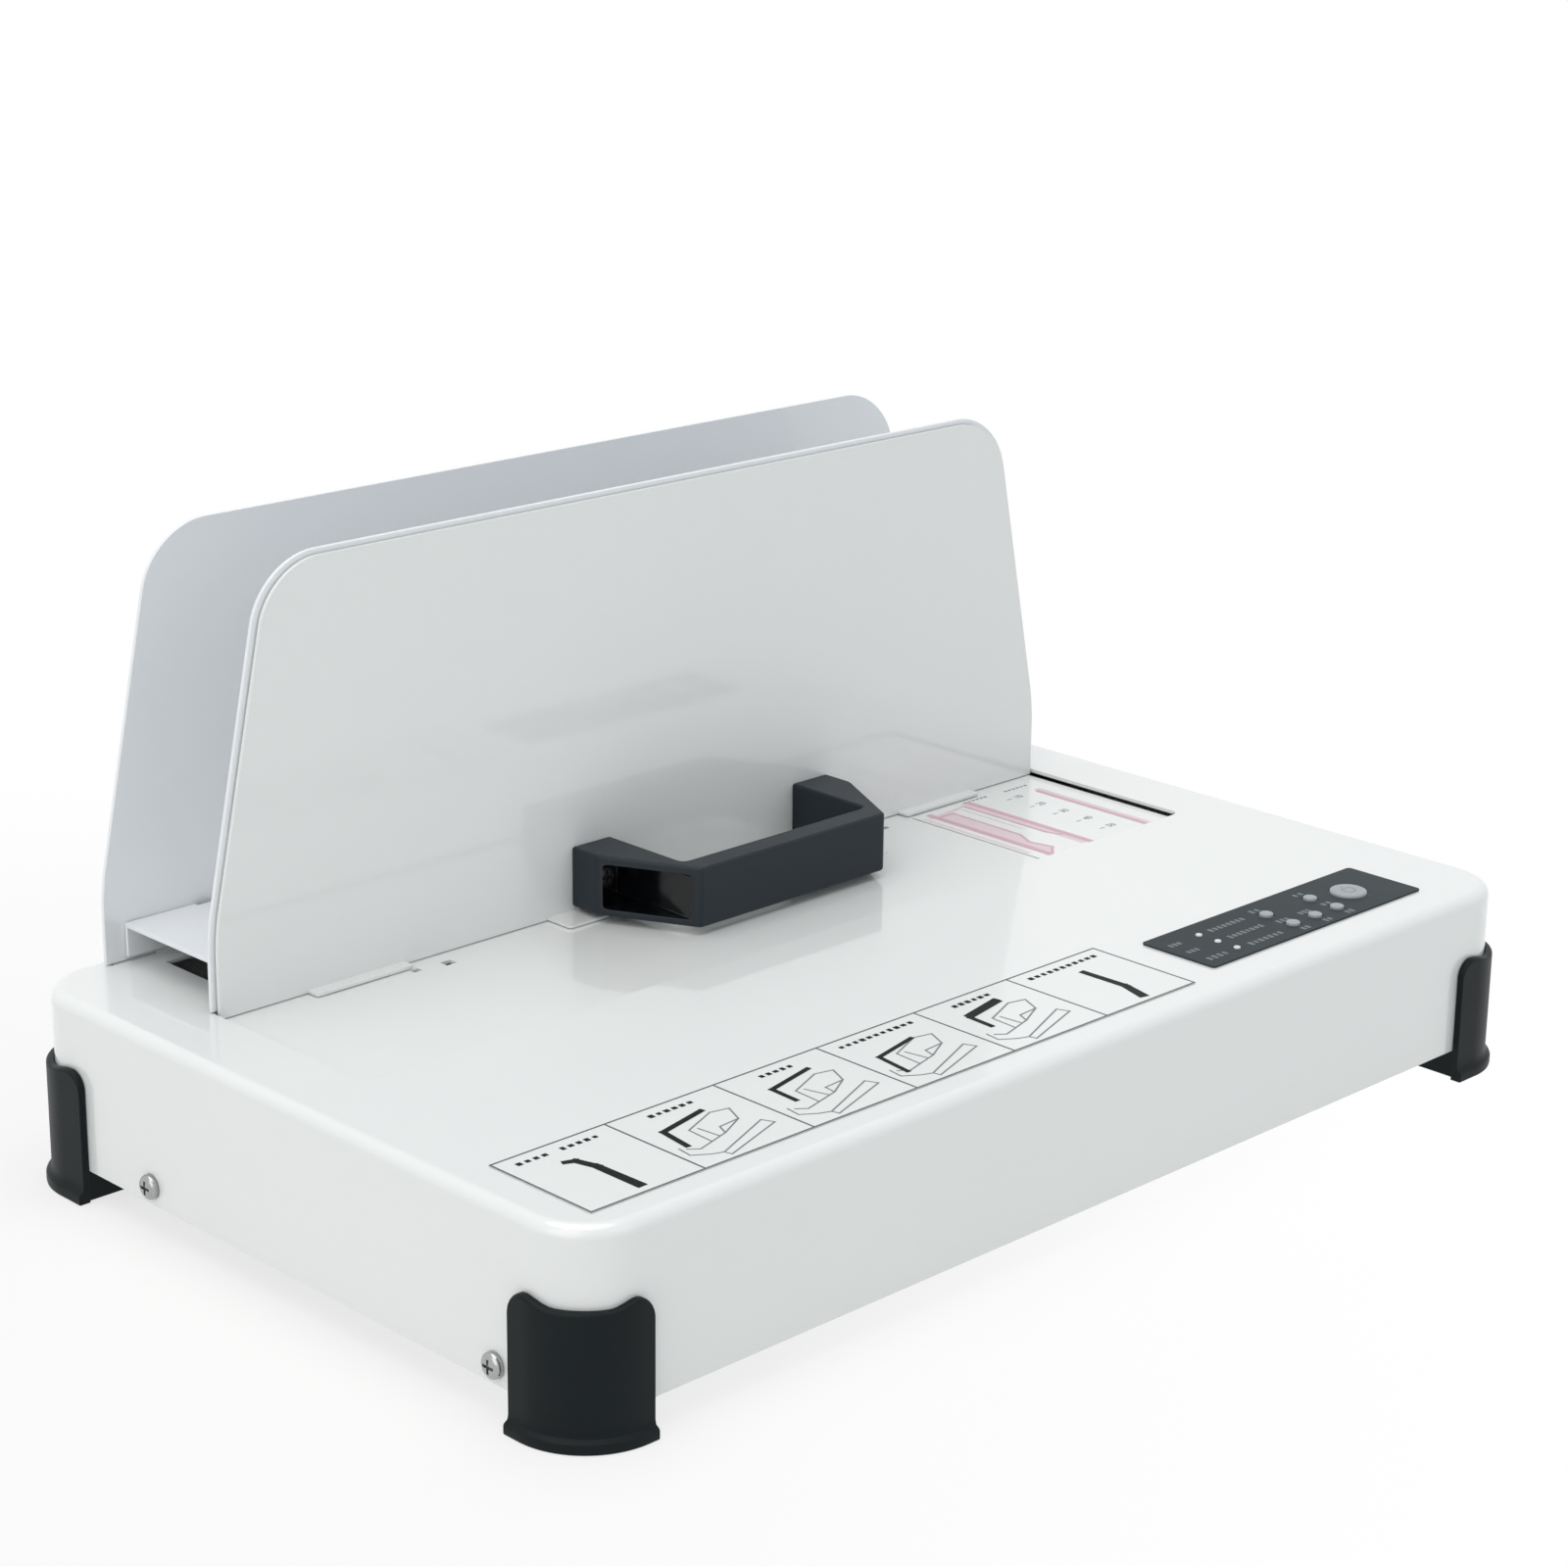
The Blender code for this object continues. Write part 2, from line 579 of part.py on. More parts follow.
def add_turned(shape, profile, frame, sides=ROUND_SIDES):
    """Add a solid of revolution from (radius, height) pairs that start and end on the axis."""
    rings = []
    for radius, height in profile:
        if radius == 0:
            rings.append([shape.verts.new(frame @ Vector((0, 0, height)))])
            continue
        ring = []
        for step in range(sides):
            angle = 2 * math.pi * (step + 0.5) / sides
            spot = Vector((radius * math.cos(angle), radius * math.sin(angle), height))
            ring.append(shape.verts.new(frame @ spot))
        rings.append(ring)
    for lower, upper in zip(rings, rings[1:]):
        for step in range(sides):
            after = (step + 1) % sides
            corners = [lower[step % len(lower)], lower[after % len(lower)]]
            corners += [upper[after % len(upper)], upper[step % len(upper)]]
            shape.faces.new(list(dict.fromkeys(corners)))


def add_cylinder(shape, start, direction, radius, length, sides=ROUND_SIDES):
    """Add a plain cylinder from a start point along a direction."""
    profile = ((0, 0), (radius, 0), (radius, length), (0, length))
    add_turned(shape, profile, axis_frame(start, direction), sides)


def add_screw(shape, seat, direction, sizes, shank):
    """Add a pan-head screw whose head stands on its seat, against the drive direction."""
    radius, head_radius, head_height = sizes
    edge = head_height * SCREW_EDGE_SHARE
    profile = ((0, shank), (radius, shank), (radius, 0), (head_radius, 0), (head_radius, -edge),
               (head_radius * SCREW_TOP_SHARE, -head_height), (0, -head_height))
    add_turned(shape, profile, axis_frame(seat, direction), SMALL_SIDES)


def add_stud(shape, start, direction, sizes, grip):
    """Add a stud or rivet that starts inside its own sheet and grips the next one with its head."""
    radius, head_radius, head_height = sizes
    end = grip + head_height
    profile = ((0, 0), (radius, 0), (radius, grip), (head_radius, grip),
               (head_radius * HEAD_TAPER_SHARE, end), (0, end))
    add_turned(shape, profile, axis_frame(start, direction), STUD_SIDES)


def add_flush_rivet(shape, start, direction, length, gap=0):
    """Add a countersunk rivet flush with the far face, or with a gap its hole."""
    radius, head_radius, head_height = RIVET
    over = OVERRUN if gap else 0
    flare = (head_radius - radius) * over / head_height
    profile = ((0, 0), (radius + gap, 0), (radius + gap, length - head_height),
               (head_radius + gap + flare, length + over), (0, length + over))
    add_turned(shape, profile, axis_frame(start, direction), STUD_SIDES)


def prism(outline, low, high, plane="XY"):
    """Return a solid whose outline lies in a plane and is extruded from low to high."""
    shape = bmesh.new()
    add_prism(shape, outline, low, high, plane)
    return shape


def add_prism(shape, outline, low, high, plane="XY"):
    """Add an extruded outline; the plane XZ is extruded along Y, and XY along Z."""
    ends = []
    for level in (low, high):
        if plane == "XY":
            ends.append([shape.verts.new((x, y, level)) for x, y in outline])
        else:
            ends.append([shape.verts.new((x, level, z)) for x, z in outline])
    shape.faces.new(ends[0])
    shape.faces.new(ends[1])
    count = len(outline)
    for step in range(count):
        after = (step + 1) % count
        shape.faces.new((ends[0][step], ends[0][after], ends[1][after], ends[1][step]))


def rounded(points, steps):
    """Round the corners of an outline given as (x, y, radius), each arc in so many steps."""
    outline = []
    count = len(points)
    for index, (x, y, radius) in enumerate(points):
        corner = Vector((x, y))
        if radius == 0:
            outline.append(tuple(corner))
            continue
        before = (Vector(points[index - 1][:2]) - corner).normalized()
        after = (Vector(points[(index + 1) % count][:2]) - corner).normalized()
        half = before.angle(after) / 2
        centre = corner + (before + after).normalized() * radius / math.sin(half)
        start = corner + before * radius / math.tan(half) - centre
        end = corner + after * radius / math.tan(half) - centre
        sweep = math.atan2(start.x * end.y - start.y * end.x, start.dot(end))
        for step in range(steps + 1):
            angle = sweep * step / steps
            cos, sin = math.cos(angle), math.sin(angle)
            spot = Vector((start.x * cos - start.y * sin, start.x * sin + start.y * cos))
            outline.append(tuple(centre + spot))
    return outline


def rounded_rectangle(half_x, half_y, radius, steps=CORNER_STEPS, centre=(0, 0)):
    """Return a rounded rectangle's outline about a centre."""
    corners = []
    for x, y in ((-1, -1), (1, -1), (1, 1), (-1, 1)):
        corners.append((centre[0] + x * half_x, centre[1] + y * half_y, radius))
    return rounded(corners, steps)


def add_loft(shape, rings, closed_ends=True):
    """Join rings of equal length into a tube, and close its two ends."""
    loops = [[shape.verts.new(spot) for spot in ring] for ring in rings]
    for lower, upper in zip(loops, loops[1:]):
        for step in range(len(lower)):
            after = (step + 1) % len(lower)
            shape.faces.new((lower[step], lower[after], upper[after], upper[step]))
    if closed_ends:
        shape.faces.new(loops[0])
        shape.faces.new(loops[-1])
    return loops


def mirrored(outline):
    """Close a right-hand outline, listed bottom to top, with its mirror image."""
    return list(outline) + [(-x, z) for x, z in reversed(outline)]


def catmull(points, step):
    """Read evenly spaced points from the smooth curve through a route's points."""
    points = [Vector(point) for point in points]
    padded = [2 * points[0] - points[1]] + points + [2 * points[-1] - points[-2]]
    route = [points[0]]
    for index in range(1, len(padded) - 2):
        a, b, c, d = padded[index - 1:index + 3]
        count = max(1, round((c - b).length / step))
        for part in range(1, count + 1):
            t = part / count
            spot = 2 * b + (c - a) * t + (2 * a - 5 * b + 4 * c - d) * t * t
            route.append((spot + (3 * b - a - 3 * c + d) * t ** 3) / 2)
    return route


def make_wire(name, route, radius, look, roundness=2):
    """Make a round lead or wire along a route of points."""
    curve = bpy.data.curves.new(name, "CURVE")
    curve.dimensions = "3D"
    curve.bevel_depth = radius
    curve.bevel_resolution = roundness
    curve.use_fill_caps = True
    spline = curve.splines.new("POLY")
    spline.points.add(len(route) - 1)
    for point, spot in zip(spline.points, route):
        point.co = (*spot, 1.0)
    made = bpy.data.objects.new(name, curve)
    curve.materials.append(finish_material(look))
    bpy.context.scene.collection.objects.link(made)
    return made


def housing_ring(inset, height):
    """Return one level of the housing's outline, drawn in by an inset."""
    outline = rounded_rectangle(HALF_WIDTH - inset, HALF_DEPTH - inset, CORNER_RADIUS - inset)
    return [(x, y, height) for x, y in outline]


def window_outline():
    """Return the deck's opening: the clamp's window and the narrower part under the rack."""
    right = (
        (WINDOW_X, WINDOW_FRONT_Y, WINDOW_CORNER_RADIUS),
        (WINDOW_X, WINDOW_REAR_Y, 0),
        (RACK_OPENING_X, WINDOW_REAR_Y, 0),
        (RACK_OPENING_X, RACK_OPENING_REAR_Y, 0),
    )
    left = [(-x, y, radius) for x, y, radius in reversed(right)]
    return rounded(list(right) + left, EDGE_STEPS)


def side_screw_places():
    """Return the Y and Z of the two screws on each side face."""
    height = GROUND_CLEARANCE + SIDE_SCREW_RISE
    return ((SIDE_SCREW_FRONT_MARGIN - HALF_DEPTH, height), (HALF_DEPTH - SIDE_SCREW_REAR_MARGIN, height))


def leg_span():
    """Return the inner and outer X of a rear plate leg."""
    outer = PLATE_HALF_WIDTH - LEG_FROM_PLATE_END
    return outer - LEG_WIDTH, outer


def panel_spot(offset):
    """Return the X and Y of a place on the control panel."""
    return PANEL_CENTRE_X + offset[0], CONTROL_BOARD_CENTRE_Y + offset[1]


def add_panel_holes(shape, low, high):
    """Add the holes for the keys and lamps."""
    for offset in SMALL_KEY_OFFSETS.values():
        spot = (*panel_spot(offset), low)
        add_cylinder(shape, spot, (0, 0, 1), KEY_RADIUS + KEY_SIDE_GAP, high - low, SMALL_SIDES)
    spot = (*panel_spot(POWER_KEY_OFFSET), low)
    add_cylinder(shape, spot, (0, 0, 1), POWER_KEY_RADIUS + KEY_SIDE_GAP, high - low)
    for offset in LAMP_OFFSETS:
        spot = (*panel_spot(offset), low)
        add_cylinder(shape, spot, (0, 0, 1), LAMP_RADIUS + KEY_SIDE_GAP, high - low, SMALL_SIDES)


def build_housing():
    """Build the painted cover: four walls and the deck, open below."""
    outer_radius = TOP_EDGE_RADIUS
    inner_radius = TOP_EDGE_RADIUS - HOUSING_SHEET
    outside = [housing_ring(0, GROUND_CLEARANCE)]
    inside = [housing_ring(HOUSING_SHEET, GROUND_CLEARANCE)]
    for step in range(EDGE_STEPS + 1):
        angle = math.pi / 2 * step / EDGE_STEPS
        draw, lift = 1 - math.cos(angle), 1 - math.sin(angle)
        outside.append(housing_ring(outer_radius * draw, DECK_Z - outer_radius * lift))
        inset = HOUSING_SHEET + inner_radius * draw
        inside.append(housing_ring(inset, DECK_UNDER_Z - inner_radius * lift))
    shape = bmesh.new()
    add_loft(shape, list(reversed(outside)) + inside)
    housing = make_object("top_housing", shape, WHITE)
    low, high = DECK_UNDER_Z - OVERRUN, DECK_Z + OVERRUN
    cut(housing, "window_cut", prism(window_outline(), low, high))
    inner, outer = leg_span()
    slots = bmesh.new()
    for side in (-1, 1):
        low_yz = (REAR_FRONT_Y - FIT, low)
        high_yz = (REAR_BACK_Y + FIT, high)
        add_box(slots, *side_box(side, inner - LEG_SLOT_SIDE_GAP, outer + LEG_SLOT_SIDE_GAP, low_yz, high_yz))
        for y, z in side_screw_places():
            start = (side * (HALF_WIDTH + OVERRUN), y, z)
            add_cylinder(slots, start, (-side, 0, 0), SCREW_RADIUS + FIT, HOUSING_SHEET + 2 * OVERRUN, SMALL_SIDES)
    add_panel_holes(slots, low, high)
    cut(housing, "slot_cut", slots)
    rear = bmesh.new()
    wall = (HALF_DEPTH - HOUSING_SHEET - OVERRUN, HALF_DEPTH + OVERRUN)
    half = (INLET_WIDTH / 2 + CUTOUT_GAP, INLET_HEIGHT / 2 + CUTOUT_GAP)
    outline = rounded_rectangle(*half, INLET_CORNER_RADIUS, EDGE_STEPS, (INLET_CENTRE_X, REAR_PARTS_Z))
    add_prism(rear, outline, *wall, plane="XZ")
    half = (SWITCH_BODY_WIDTH / 2 + CUTOUT_GAP, SWITCH_BODY_HEIGHT / 2 + CUTOUT_GAP)
    low = (ROCKER_CENTRE_X - half[0], wall[0], REAR_PARTS_Z - half[1])
    high = (ROCKER_CENTRE_X + half[0], wall[1], REAR_PARTS_Z + half[1])
    add_box(rear, low, high)
    cut(housing, "rear_cut", rear)
    posts = bmesh.new()
    for x, y in control_board_places():
        start = (x, y, DECK_UNDER_Z + HOUSING_SHEET / 2)
        length = HOUSING_SHEET / 2 + BOARD_DROP - FIT
        add_cylinder(posts, start, (0, 0, -1), POST_RADIUS, length, STUD_SIDES)
    join(housing, "board_posts", posts)
    pegs = bmesh.new()
    for x, y in control_board_places():
        start = (x, y, CONTROL_BOARD_TOP_Z + POST_RADIUS)
        add_stud(pegs, start, (0, 0, -1), PEG, POST_RADIUS + BOARD_THICKNESS + FIT)
    join(housing, "board_pegs", pegs)


def bracket_rivet_places():
    """Return the places of the rivets that hold the brackets to the pan."""
    x = BRACKET_X - BRACKET_FOOT_WIDTH / 2
    return [(side * x, FRONT_TAB_Y + inset) for side in (-1, 1) for inset in BRACKET_RIVET_INSETS]


def foot_peg_places():
    """Return the places of the pegs that hold the four feet."""
    x, y = HALF_WIDTH - FOOT_PEG_INSET, HALF_DEPTH - FOOT_PEG_INSET
    return [(sx * x, sy * y) for sx in (-1, 1) for sy in (-1, 1)]


def power_board_places():
    """Return the places of the power board's posts."""
    x = POWER_BOARD_WIDTH / 2 - POST_INSET
    y = POWER_BOARD_DEPTH / 2 - POST_INSET
    centre = (POWER_BOARD_CENTRE_X, POWER_BOARD_CENTRE_Y)
    return [(centre[0] + sx * x, centre[1] + sy * y) for sx in (-1, 1) for sy in (-1, 1)]


def control_board_places():
    """Return the places of the control board's posts."""
    x = BOARD_WIDTH / 2 - POST_INSET
    y = BOARD_DEPTH / 2 - POST_INSET
    centre = (PANEL_CENTRE_X, CONTROL_BOARD_CENTRE_Y)
    return [(centre[0] + sx * x, centre[1] + sy * y) for sx in (-1, 1) for sy in (-1, 1)]


def build_pan():
    """Build the bottom sheet with its side flanges, vents and screw holes."""
    inset = HOUSING_SHEET + FIT
    half_x, half_y = HALF_WIDTH - inset, HALF_DEPTH - inset
    outline = rounded_rectangle(half_x, half_y, CORNER_RADIUS - inset)
    pan = make_object("bottom_pan", prism(outline, GROUND_CLEARANCE, PAN_TOP_Z), ZINC)
    flanges = bmesh.new()
    reach = HALF_DEPTH - PAN_FLANGE_FRONT_MARGIN
    for side in (-1, 1):
        low_yz = (-reach, GROUND_CLEARANCE + PAN_SHEET / 2)
        high_yz = (reach, GROUND_CLEARANCE + PAN_FLANGE_HEIGHT)
        add_box(flanges, *side_box(side, half_x - PAN_SHEET, half_x, low_yz, high_yz))
    join(pan, "pan_flanges", flanges)
    holes = bmesh.new()
    low, depth = GROUND_CLEARANCE - OVERRUN, PAN_SHEET + 2 * OVERRUN
    for x, y in bracket_rivet_places():
        add_cylinder(holes, (x, y, low), (0, 0, 1), RIVET[0] + FIT, depth, STUD_SIDES)
    for x, y in foot_peg_places():
        add_cylinder(holes, (x, y, low), (0, 0, 1), FOOT_PEG[0] + FIT, depth, STUD_SIDES)
    for index in range(VENT_COUNT):
        x = HALF_WIDTH - VENT_SIDE_MARGIN + (index - (VENT_COUNT - 1) / 2) * VENT_PITCH
        y = VENT_FRONT_MARGIN - HALF_DEPTH
        add_box(holes, (x - VENT_WIDTH / 2, y, low), (x + VENT_WIDTH / 2, y + VENT_LENGTH, low + depth))
    for side in (-1, 1):
        for y, z in side_screw_places():
            start = (side * (half_x + OVERRUN), y, z)
            add_cylinder(holes, start, (-side, 0, 0), SCREW_RADIUS + FIT, PAN_SHEET + 2 * OVERRUN, SMALL_SIDES)
    cut(pan, "pan_holes", holes)
    posts, pegs = bmesh.new(), bmesh.new()
    for x, y in power_board_places():
        start = (x, y, GROUND_CLEARANCE + PAN_SHEET / 2)
        add_cylinder(posts, start, (0, 0, 1), POST_RADIUS, PAN_SHEET / 2 + POWER_BOARD_RISE - FIT, STUD_SIDES)
        start = (x, y, POWER_BOARD_UNDER_Z - POST_RADIUS)
        add_stud(pegs, start, (0, 0, 1), PEG, POST_RADIUS + BOARD_THICKNESS + FIT)
    join(pan, "pan_posts", posts)
    join(pan, "pan_pegs", pegs)


def foot_path(offset):
    """Return the path round the rear right corner of the housing, moved out by an offset."""
    radius = CORNER_RADIUS + offset
    centre = Vector((HALF_WIDTH - CORNER_RADIUS, HALF_DEPTH - CORNER_RADIUS))
    path = []
    for step in range(FOOT_EAR_STEPS, 0, -1):
        path.append(centre + Vector((radius, -FOOT_EAR_SIDE * step / FOOT_EAR_STEPS)))
    for step in range(FOOT_ARC_STEPS + 1):
        angle = math.pi / 2 * step / FOOT_ARC_STEPS
        path.append(centre + radius * Vector((math.cos(angle), math.sin(angle))))
    for step in range(1, FOOT_EAR_STEPS + 1):
        path.append(centre + Vector((-FOOT_EAR_FRONT * step / FOOT_EAR_STEPS, radius)))
    return path


def foot_heights():
    """Return the height of the boot's upper edge along its path: an ear at each end."""
    path = foot_path(FIT + FOOT_WALL)
    runs = [0.0]
    for before, after in zip(path, path[1:]):
        runs.append(runs[-1] + (after - before).length)
    middle = runs[FOOT_EAR_STEPS + FOOT_ARC_STEPS // 2]
    heights = []
    for run in runs:
        end = 0 if run < middle else runs[-1]
        reach = abs(middle - end) - FOOT_EAR_RADIUS
        share = min(1.0, abs(run - middle) / reach)
        rise = (1 - math.cos(math.pi * share)) / 2
        height = FOOT_SADDLE_HEIGHT + (FOOT_EAR_HEIGHT - FOOT_SADDLE_HEIGHT) * rise
        past = max(0.0, FOOT_EAR_RADIUS - abs(run - end))
        height -= FOOT_EAR_RADIUS - math.sqrt(FOOT_EAR_RADIUS ** 2 - past ** 2)
        heights.append(height)
    return heights


def foot_wall():
    """Return the boot's upright wall, flared at the floor, as a closed strip."""
    levels = []
    heights = foot_heights()
    outer = FIT + FOOT_WALL
    blend = FOOT_LIP_HEIGHT + FOOT_LIP_BLEND
    for offset, height in ((FIT, 0), (outer + FOOT_LIP, 0), (outer + FOOT_LIP, FOOT_LIP_HEIGHT), (outer, blend)):
        levels.append([(*spot, height) for spot in foot_path(offset)])
    for offset, drop in ((outer, FOOT_RIM_ROUND), (outer - FOOT_RIM_ROUND, 0), (FIT, 0)):
        spots = zip(foot_path(offset), heights)
        levels.append([(*spot, height - drop) for spot, height in spots])
    shape = bmesh.new()
    rows = [[shape.verts.new(spot) for spot in level] for level in levels]
    for near, far in zip(rows, rows[1:] + rows[:1]):
        for step in range(len(near) - 1):
            shape.faces.new((near[step], near[step + 1], far[step + 1], far[step]))
    shape.faces.new([row[0] for row in rows])
    shape.faces.new([row[-1] for row in rows])
    return shape


def foot_pad():
    """Return the pad under the housing's corner."""
    path = [tuple(spot) for spot in foot_path(FIT + FOOT_PAD_LAP)]
    side_end, rear_end = path[0], path[-1]
    return prism(path + [(rear_end[0], side_end[1])], 0, GROUND_CLEARANCE - FIT)


def build_feet():
    """Build the four rubber boots by mirroring the rear right one."""
    for name, side_x, side_y in (
        ("foot_front_left", -1, -1),
        ("foot_front_right", 1, -1),
        ("foot_rear_left", -1, 1),
        ("foot_rear_right", 1, 1),
    ):
        turn = Matrix.Diagonal((side_x, side_y, 1, 1))
        wall, pad = foot_wall(), foot_pad()
        bmesh.ops.transform(wall, matrix=turn, verts=wall.verts)
        bmesh.ops.transform(pad, matrix=turn, verts=pad.verts)
        foot = make_object(name, wall, BLACK_RUBBER)
        join(foot, name + "_pad", pad)
        peg = bmesh.new()
        x, y = side_x * (HALF_WIDTH - FOOT_PEG_INSET), side_y * (HALF_DEPTH - FOOT_PEG_INSET)
        root = FOOT_PEG[2]
        grip = root + FIT + PAN_SHEET + FIT
        add_stud(peg, (x, y, GROUND_CLEARANCE - FIT - root), (0, 0, 1), FOOT_PEG, grip)
        join(foot, name + "_peg", peg)


def build_side_screws():
    """Build the four bright screws on the side faces."""
    sizes = (SCREW_RADIUS, SCREW_HEAD_RADIUS, SCREW_HEAD_HEIGHT)
    face = HALF_WIDTH + FIT + SCREW_HEAD_HEIGHT
    reach = SCREW_HEAD_RADIUS * SLOT_LENGTH_SHARE / 2
    for side, side_name in ((-1, "left"), (1, "right")):
        for (y, z), end_name in zip(side_screw_places(), ("front", "rear")):
            name = f"side_screw_{side_name}_{end_name}"
            shape, slot = bmesh.new(), bmesh.new()
            add_screw(shape, (side * (HALF_WIDTH + FIT), y, z), (-side, 0, 0), sizes, SIDE_SCREW_LENGTH)
            screw = make_object(name, shape, CHROME)
            add_cross(slot, side, (face - SLOT_DEPTH, face + OVERRUN), (y, z), (SLOT_WIDTH / 2, reach))
            cut(screw, name + "_slot", slot)


def add_cross(shape, side, span, centre, arms):
    """Add a cross-shaped cutter for a screw's drive slot on a side face."""
    y, z = centre
    half, reach = arms
    outline = []
    for turn_y, turn_z in ((1, 0), (0, 1), (-1, 0), (0, -1)):
        across = Vector((-turn_z, turn_y))
        along = Vector((turn_y, turn_z))
        for a, b in ((half, -half), (reach, -half), (reach, half)):
            outline.append(along * a + across * b)
    inner, outer = sorted((side * span[0], side * span[1]))
    ends = []
    for x in (inner, outer):
        ends.append([shape.verts.new((x, y + spot.x, z + spot.y)) for spot in outline])
    shape.faces.new(ends[0])
    shape.faces.new(ends[1])
    for step in range(len(outline)):
        after = (step + 1) % len(outline)
        shape.faces.new((ends[0][step], ends[0][after], ends[1][after], ends[1][step]))


def plate_outline(inset, foot_z):
    """Return the right half of an upright plate: straight, then leaning in to a round corner."""
    half = PLATE_HALF_WIDTH - inset
    top = PLATE_TOP_Z - inset
    shoulder = DECK_Z + PLATE_STRAIGHT_HEIGHT
    points = (
        (0, foot_z, 0),
        (half, foot_z, 0),
        (half, shoulder, PLATE_SHOULDER_RADIUS),
        (half - PLATE_TAPER, top, PLATE_CORNER_RADIUS - inset),
        (0, top, 0),
    )
    return rounded(points, CORNER_STEPS)[1:-1]


def build_rear_plate():
    """Build the rear plate with the two legs that reach down to the brackets."""
    outline = mirrored(plate_outline(0, PLATE_FOOT_Z))
    plate = make_object("rear_plate", prism(outline, REAR_FRONT_Y, REAR_BACK_Y, "XZ"), WHITE)
    legs = bmesh.new()
    inner, outer = leg_span()
    for side in (-1, 1):
        low_yz = (REAR_FRONT_Y, leg_bottom_z())
        high_yz = (REAR_BACK_Y, PLATE_FOOT_Z + PLATE_STRAIGHT_HEIGHT / 2)
        add_box(legs, *side_box(side, inner, outer, low_yz, high_yz))
    join(plate, "rear_plate_legs", legs)
    holes = bmesh.new()
    for place in leg_screw_places():
        add_cylinder(holes, (place[0], REAR_FRONT_Y - OVERRUN, place[1]), (0, 1, 0), SCREW_RADIUS + FIT,
                     PLATE_SHEET + 2 * OVERRUN, SMALL_SIDES)
    for x, z in rear_rivet_places():
        add_cylinder(holes, (x, REAR_FRONT_Y - OVERRUN, z), (0, 1, 0), RIVET[0] + FIT,
                     PLATE_SHEET + 2 * OVERRUN, STUD_SIDES)
    cut(plate, "rear_plate_holes", holes)


def leg_bottom_z():
    """Return the height of the lower end of the rear plate's legs."""
    return DECK_UNDER_Z - LEG_TAB_TOP_GAP - LEG_TAB_HEIGHT + LEG_BOTTOM_STEP


def leg_screw_places():
    """Return the X and Z of the screw in each rear plate leg."""
    inner, outer = leg_span()
    height = leg_bottom_z() + LEG_TAB_HEIGHT / 2
    return [(side * (inner + outer) / 2, height) for side in (-1, 1)]


def rear_rivet_places():
    """Return the X and Z of the rivets that hold the rack floor to the rear plate."""
    outer = RACK_FLOOR_X - RACK_TAB_WIDTH / 4
    inner = RACK_FLOOR_X - RACK_TAB_WIDTH * 3 / 4
    height = RACK_FLOOR_TOP_Z - RIVET_DROP
    return [(side * x, height) for side in (-1, 1) for x in (inner, outer)]


def evenly(count, reach):
    """Return evenly spaced places across the middle, from minus to plus a reach."""
    return [reach * (2 * index / (count - 1) - 1) for index in range(count)]


def front_rivet_places():
    """Return the X and Z of the rivets that hold the rack floor to the middle plate."""
    height = RACK_FLOOR_TOP_Z - RIVET_DROP
    reach = TRAY_END_X - RACK_FLANGE_END_STEP - RACK_RIVET_END_INSET
    return [(x, height) for x in evenly(RACK_RIVET_COUNT, reach)]


def tray_rivet_places():
    """Return the X and Z of the rivets between the middle plate and the tray."""
    height = SLIDE_TOP_Z - TRAY_RIVET_DROP
    return [(x, height) for x in evenly(TRAY_RIVET_COUNT, TRAY_END_X - TRAY_RIVET_END_INSET)]


def build_middle_plate():
    """Build the middle plate, which goes down behind the heating plate."""
    lower_x = TRAY_END_X - MIDDLE_PLATE_END_STEP
    outline = [(lower_x, MIDDLE_PLATE_BOTTOM_Z), (lower_x, PLATE_FOOT_Z)] + plate_outline(0, PLATE_FOOT_Z)
    plate = make_object("middle_plate", prism(mirrored(outline), MIDDLE_FRONT_Y, MIDDLE_BACK_Y, "XZ"), WHITE)
    holes = bmesh.new()
    for x, z in front_rivet_places() + tray_rivet_places():
        start = (x, MIDDLE_BACK_Y + OVERRUN, z)
        add_flush_rivet(holes, start, (0, -1, 0), OVERRUN + PLATE_SHEET, FIT)
    cut(plate, "middle_plate_holes", holes)


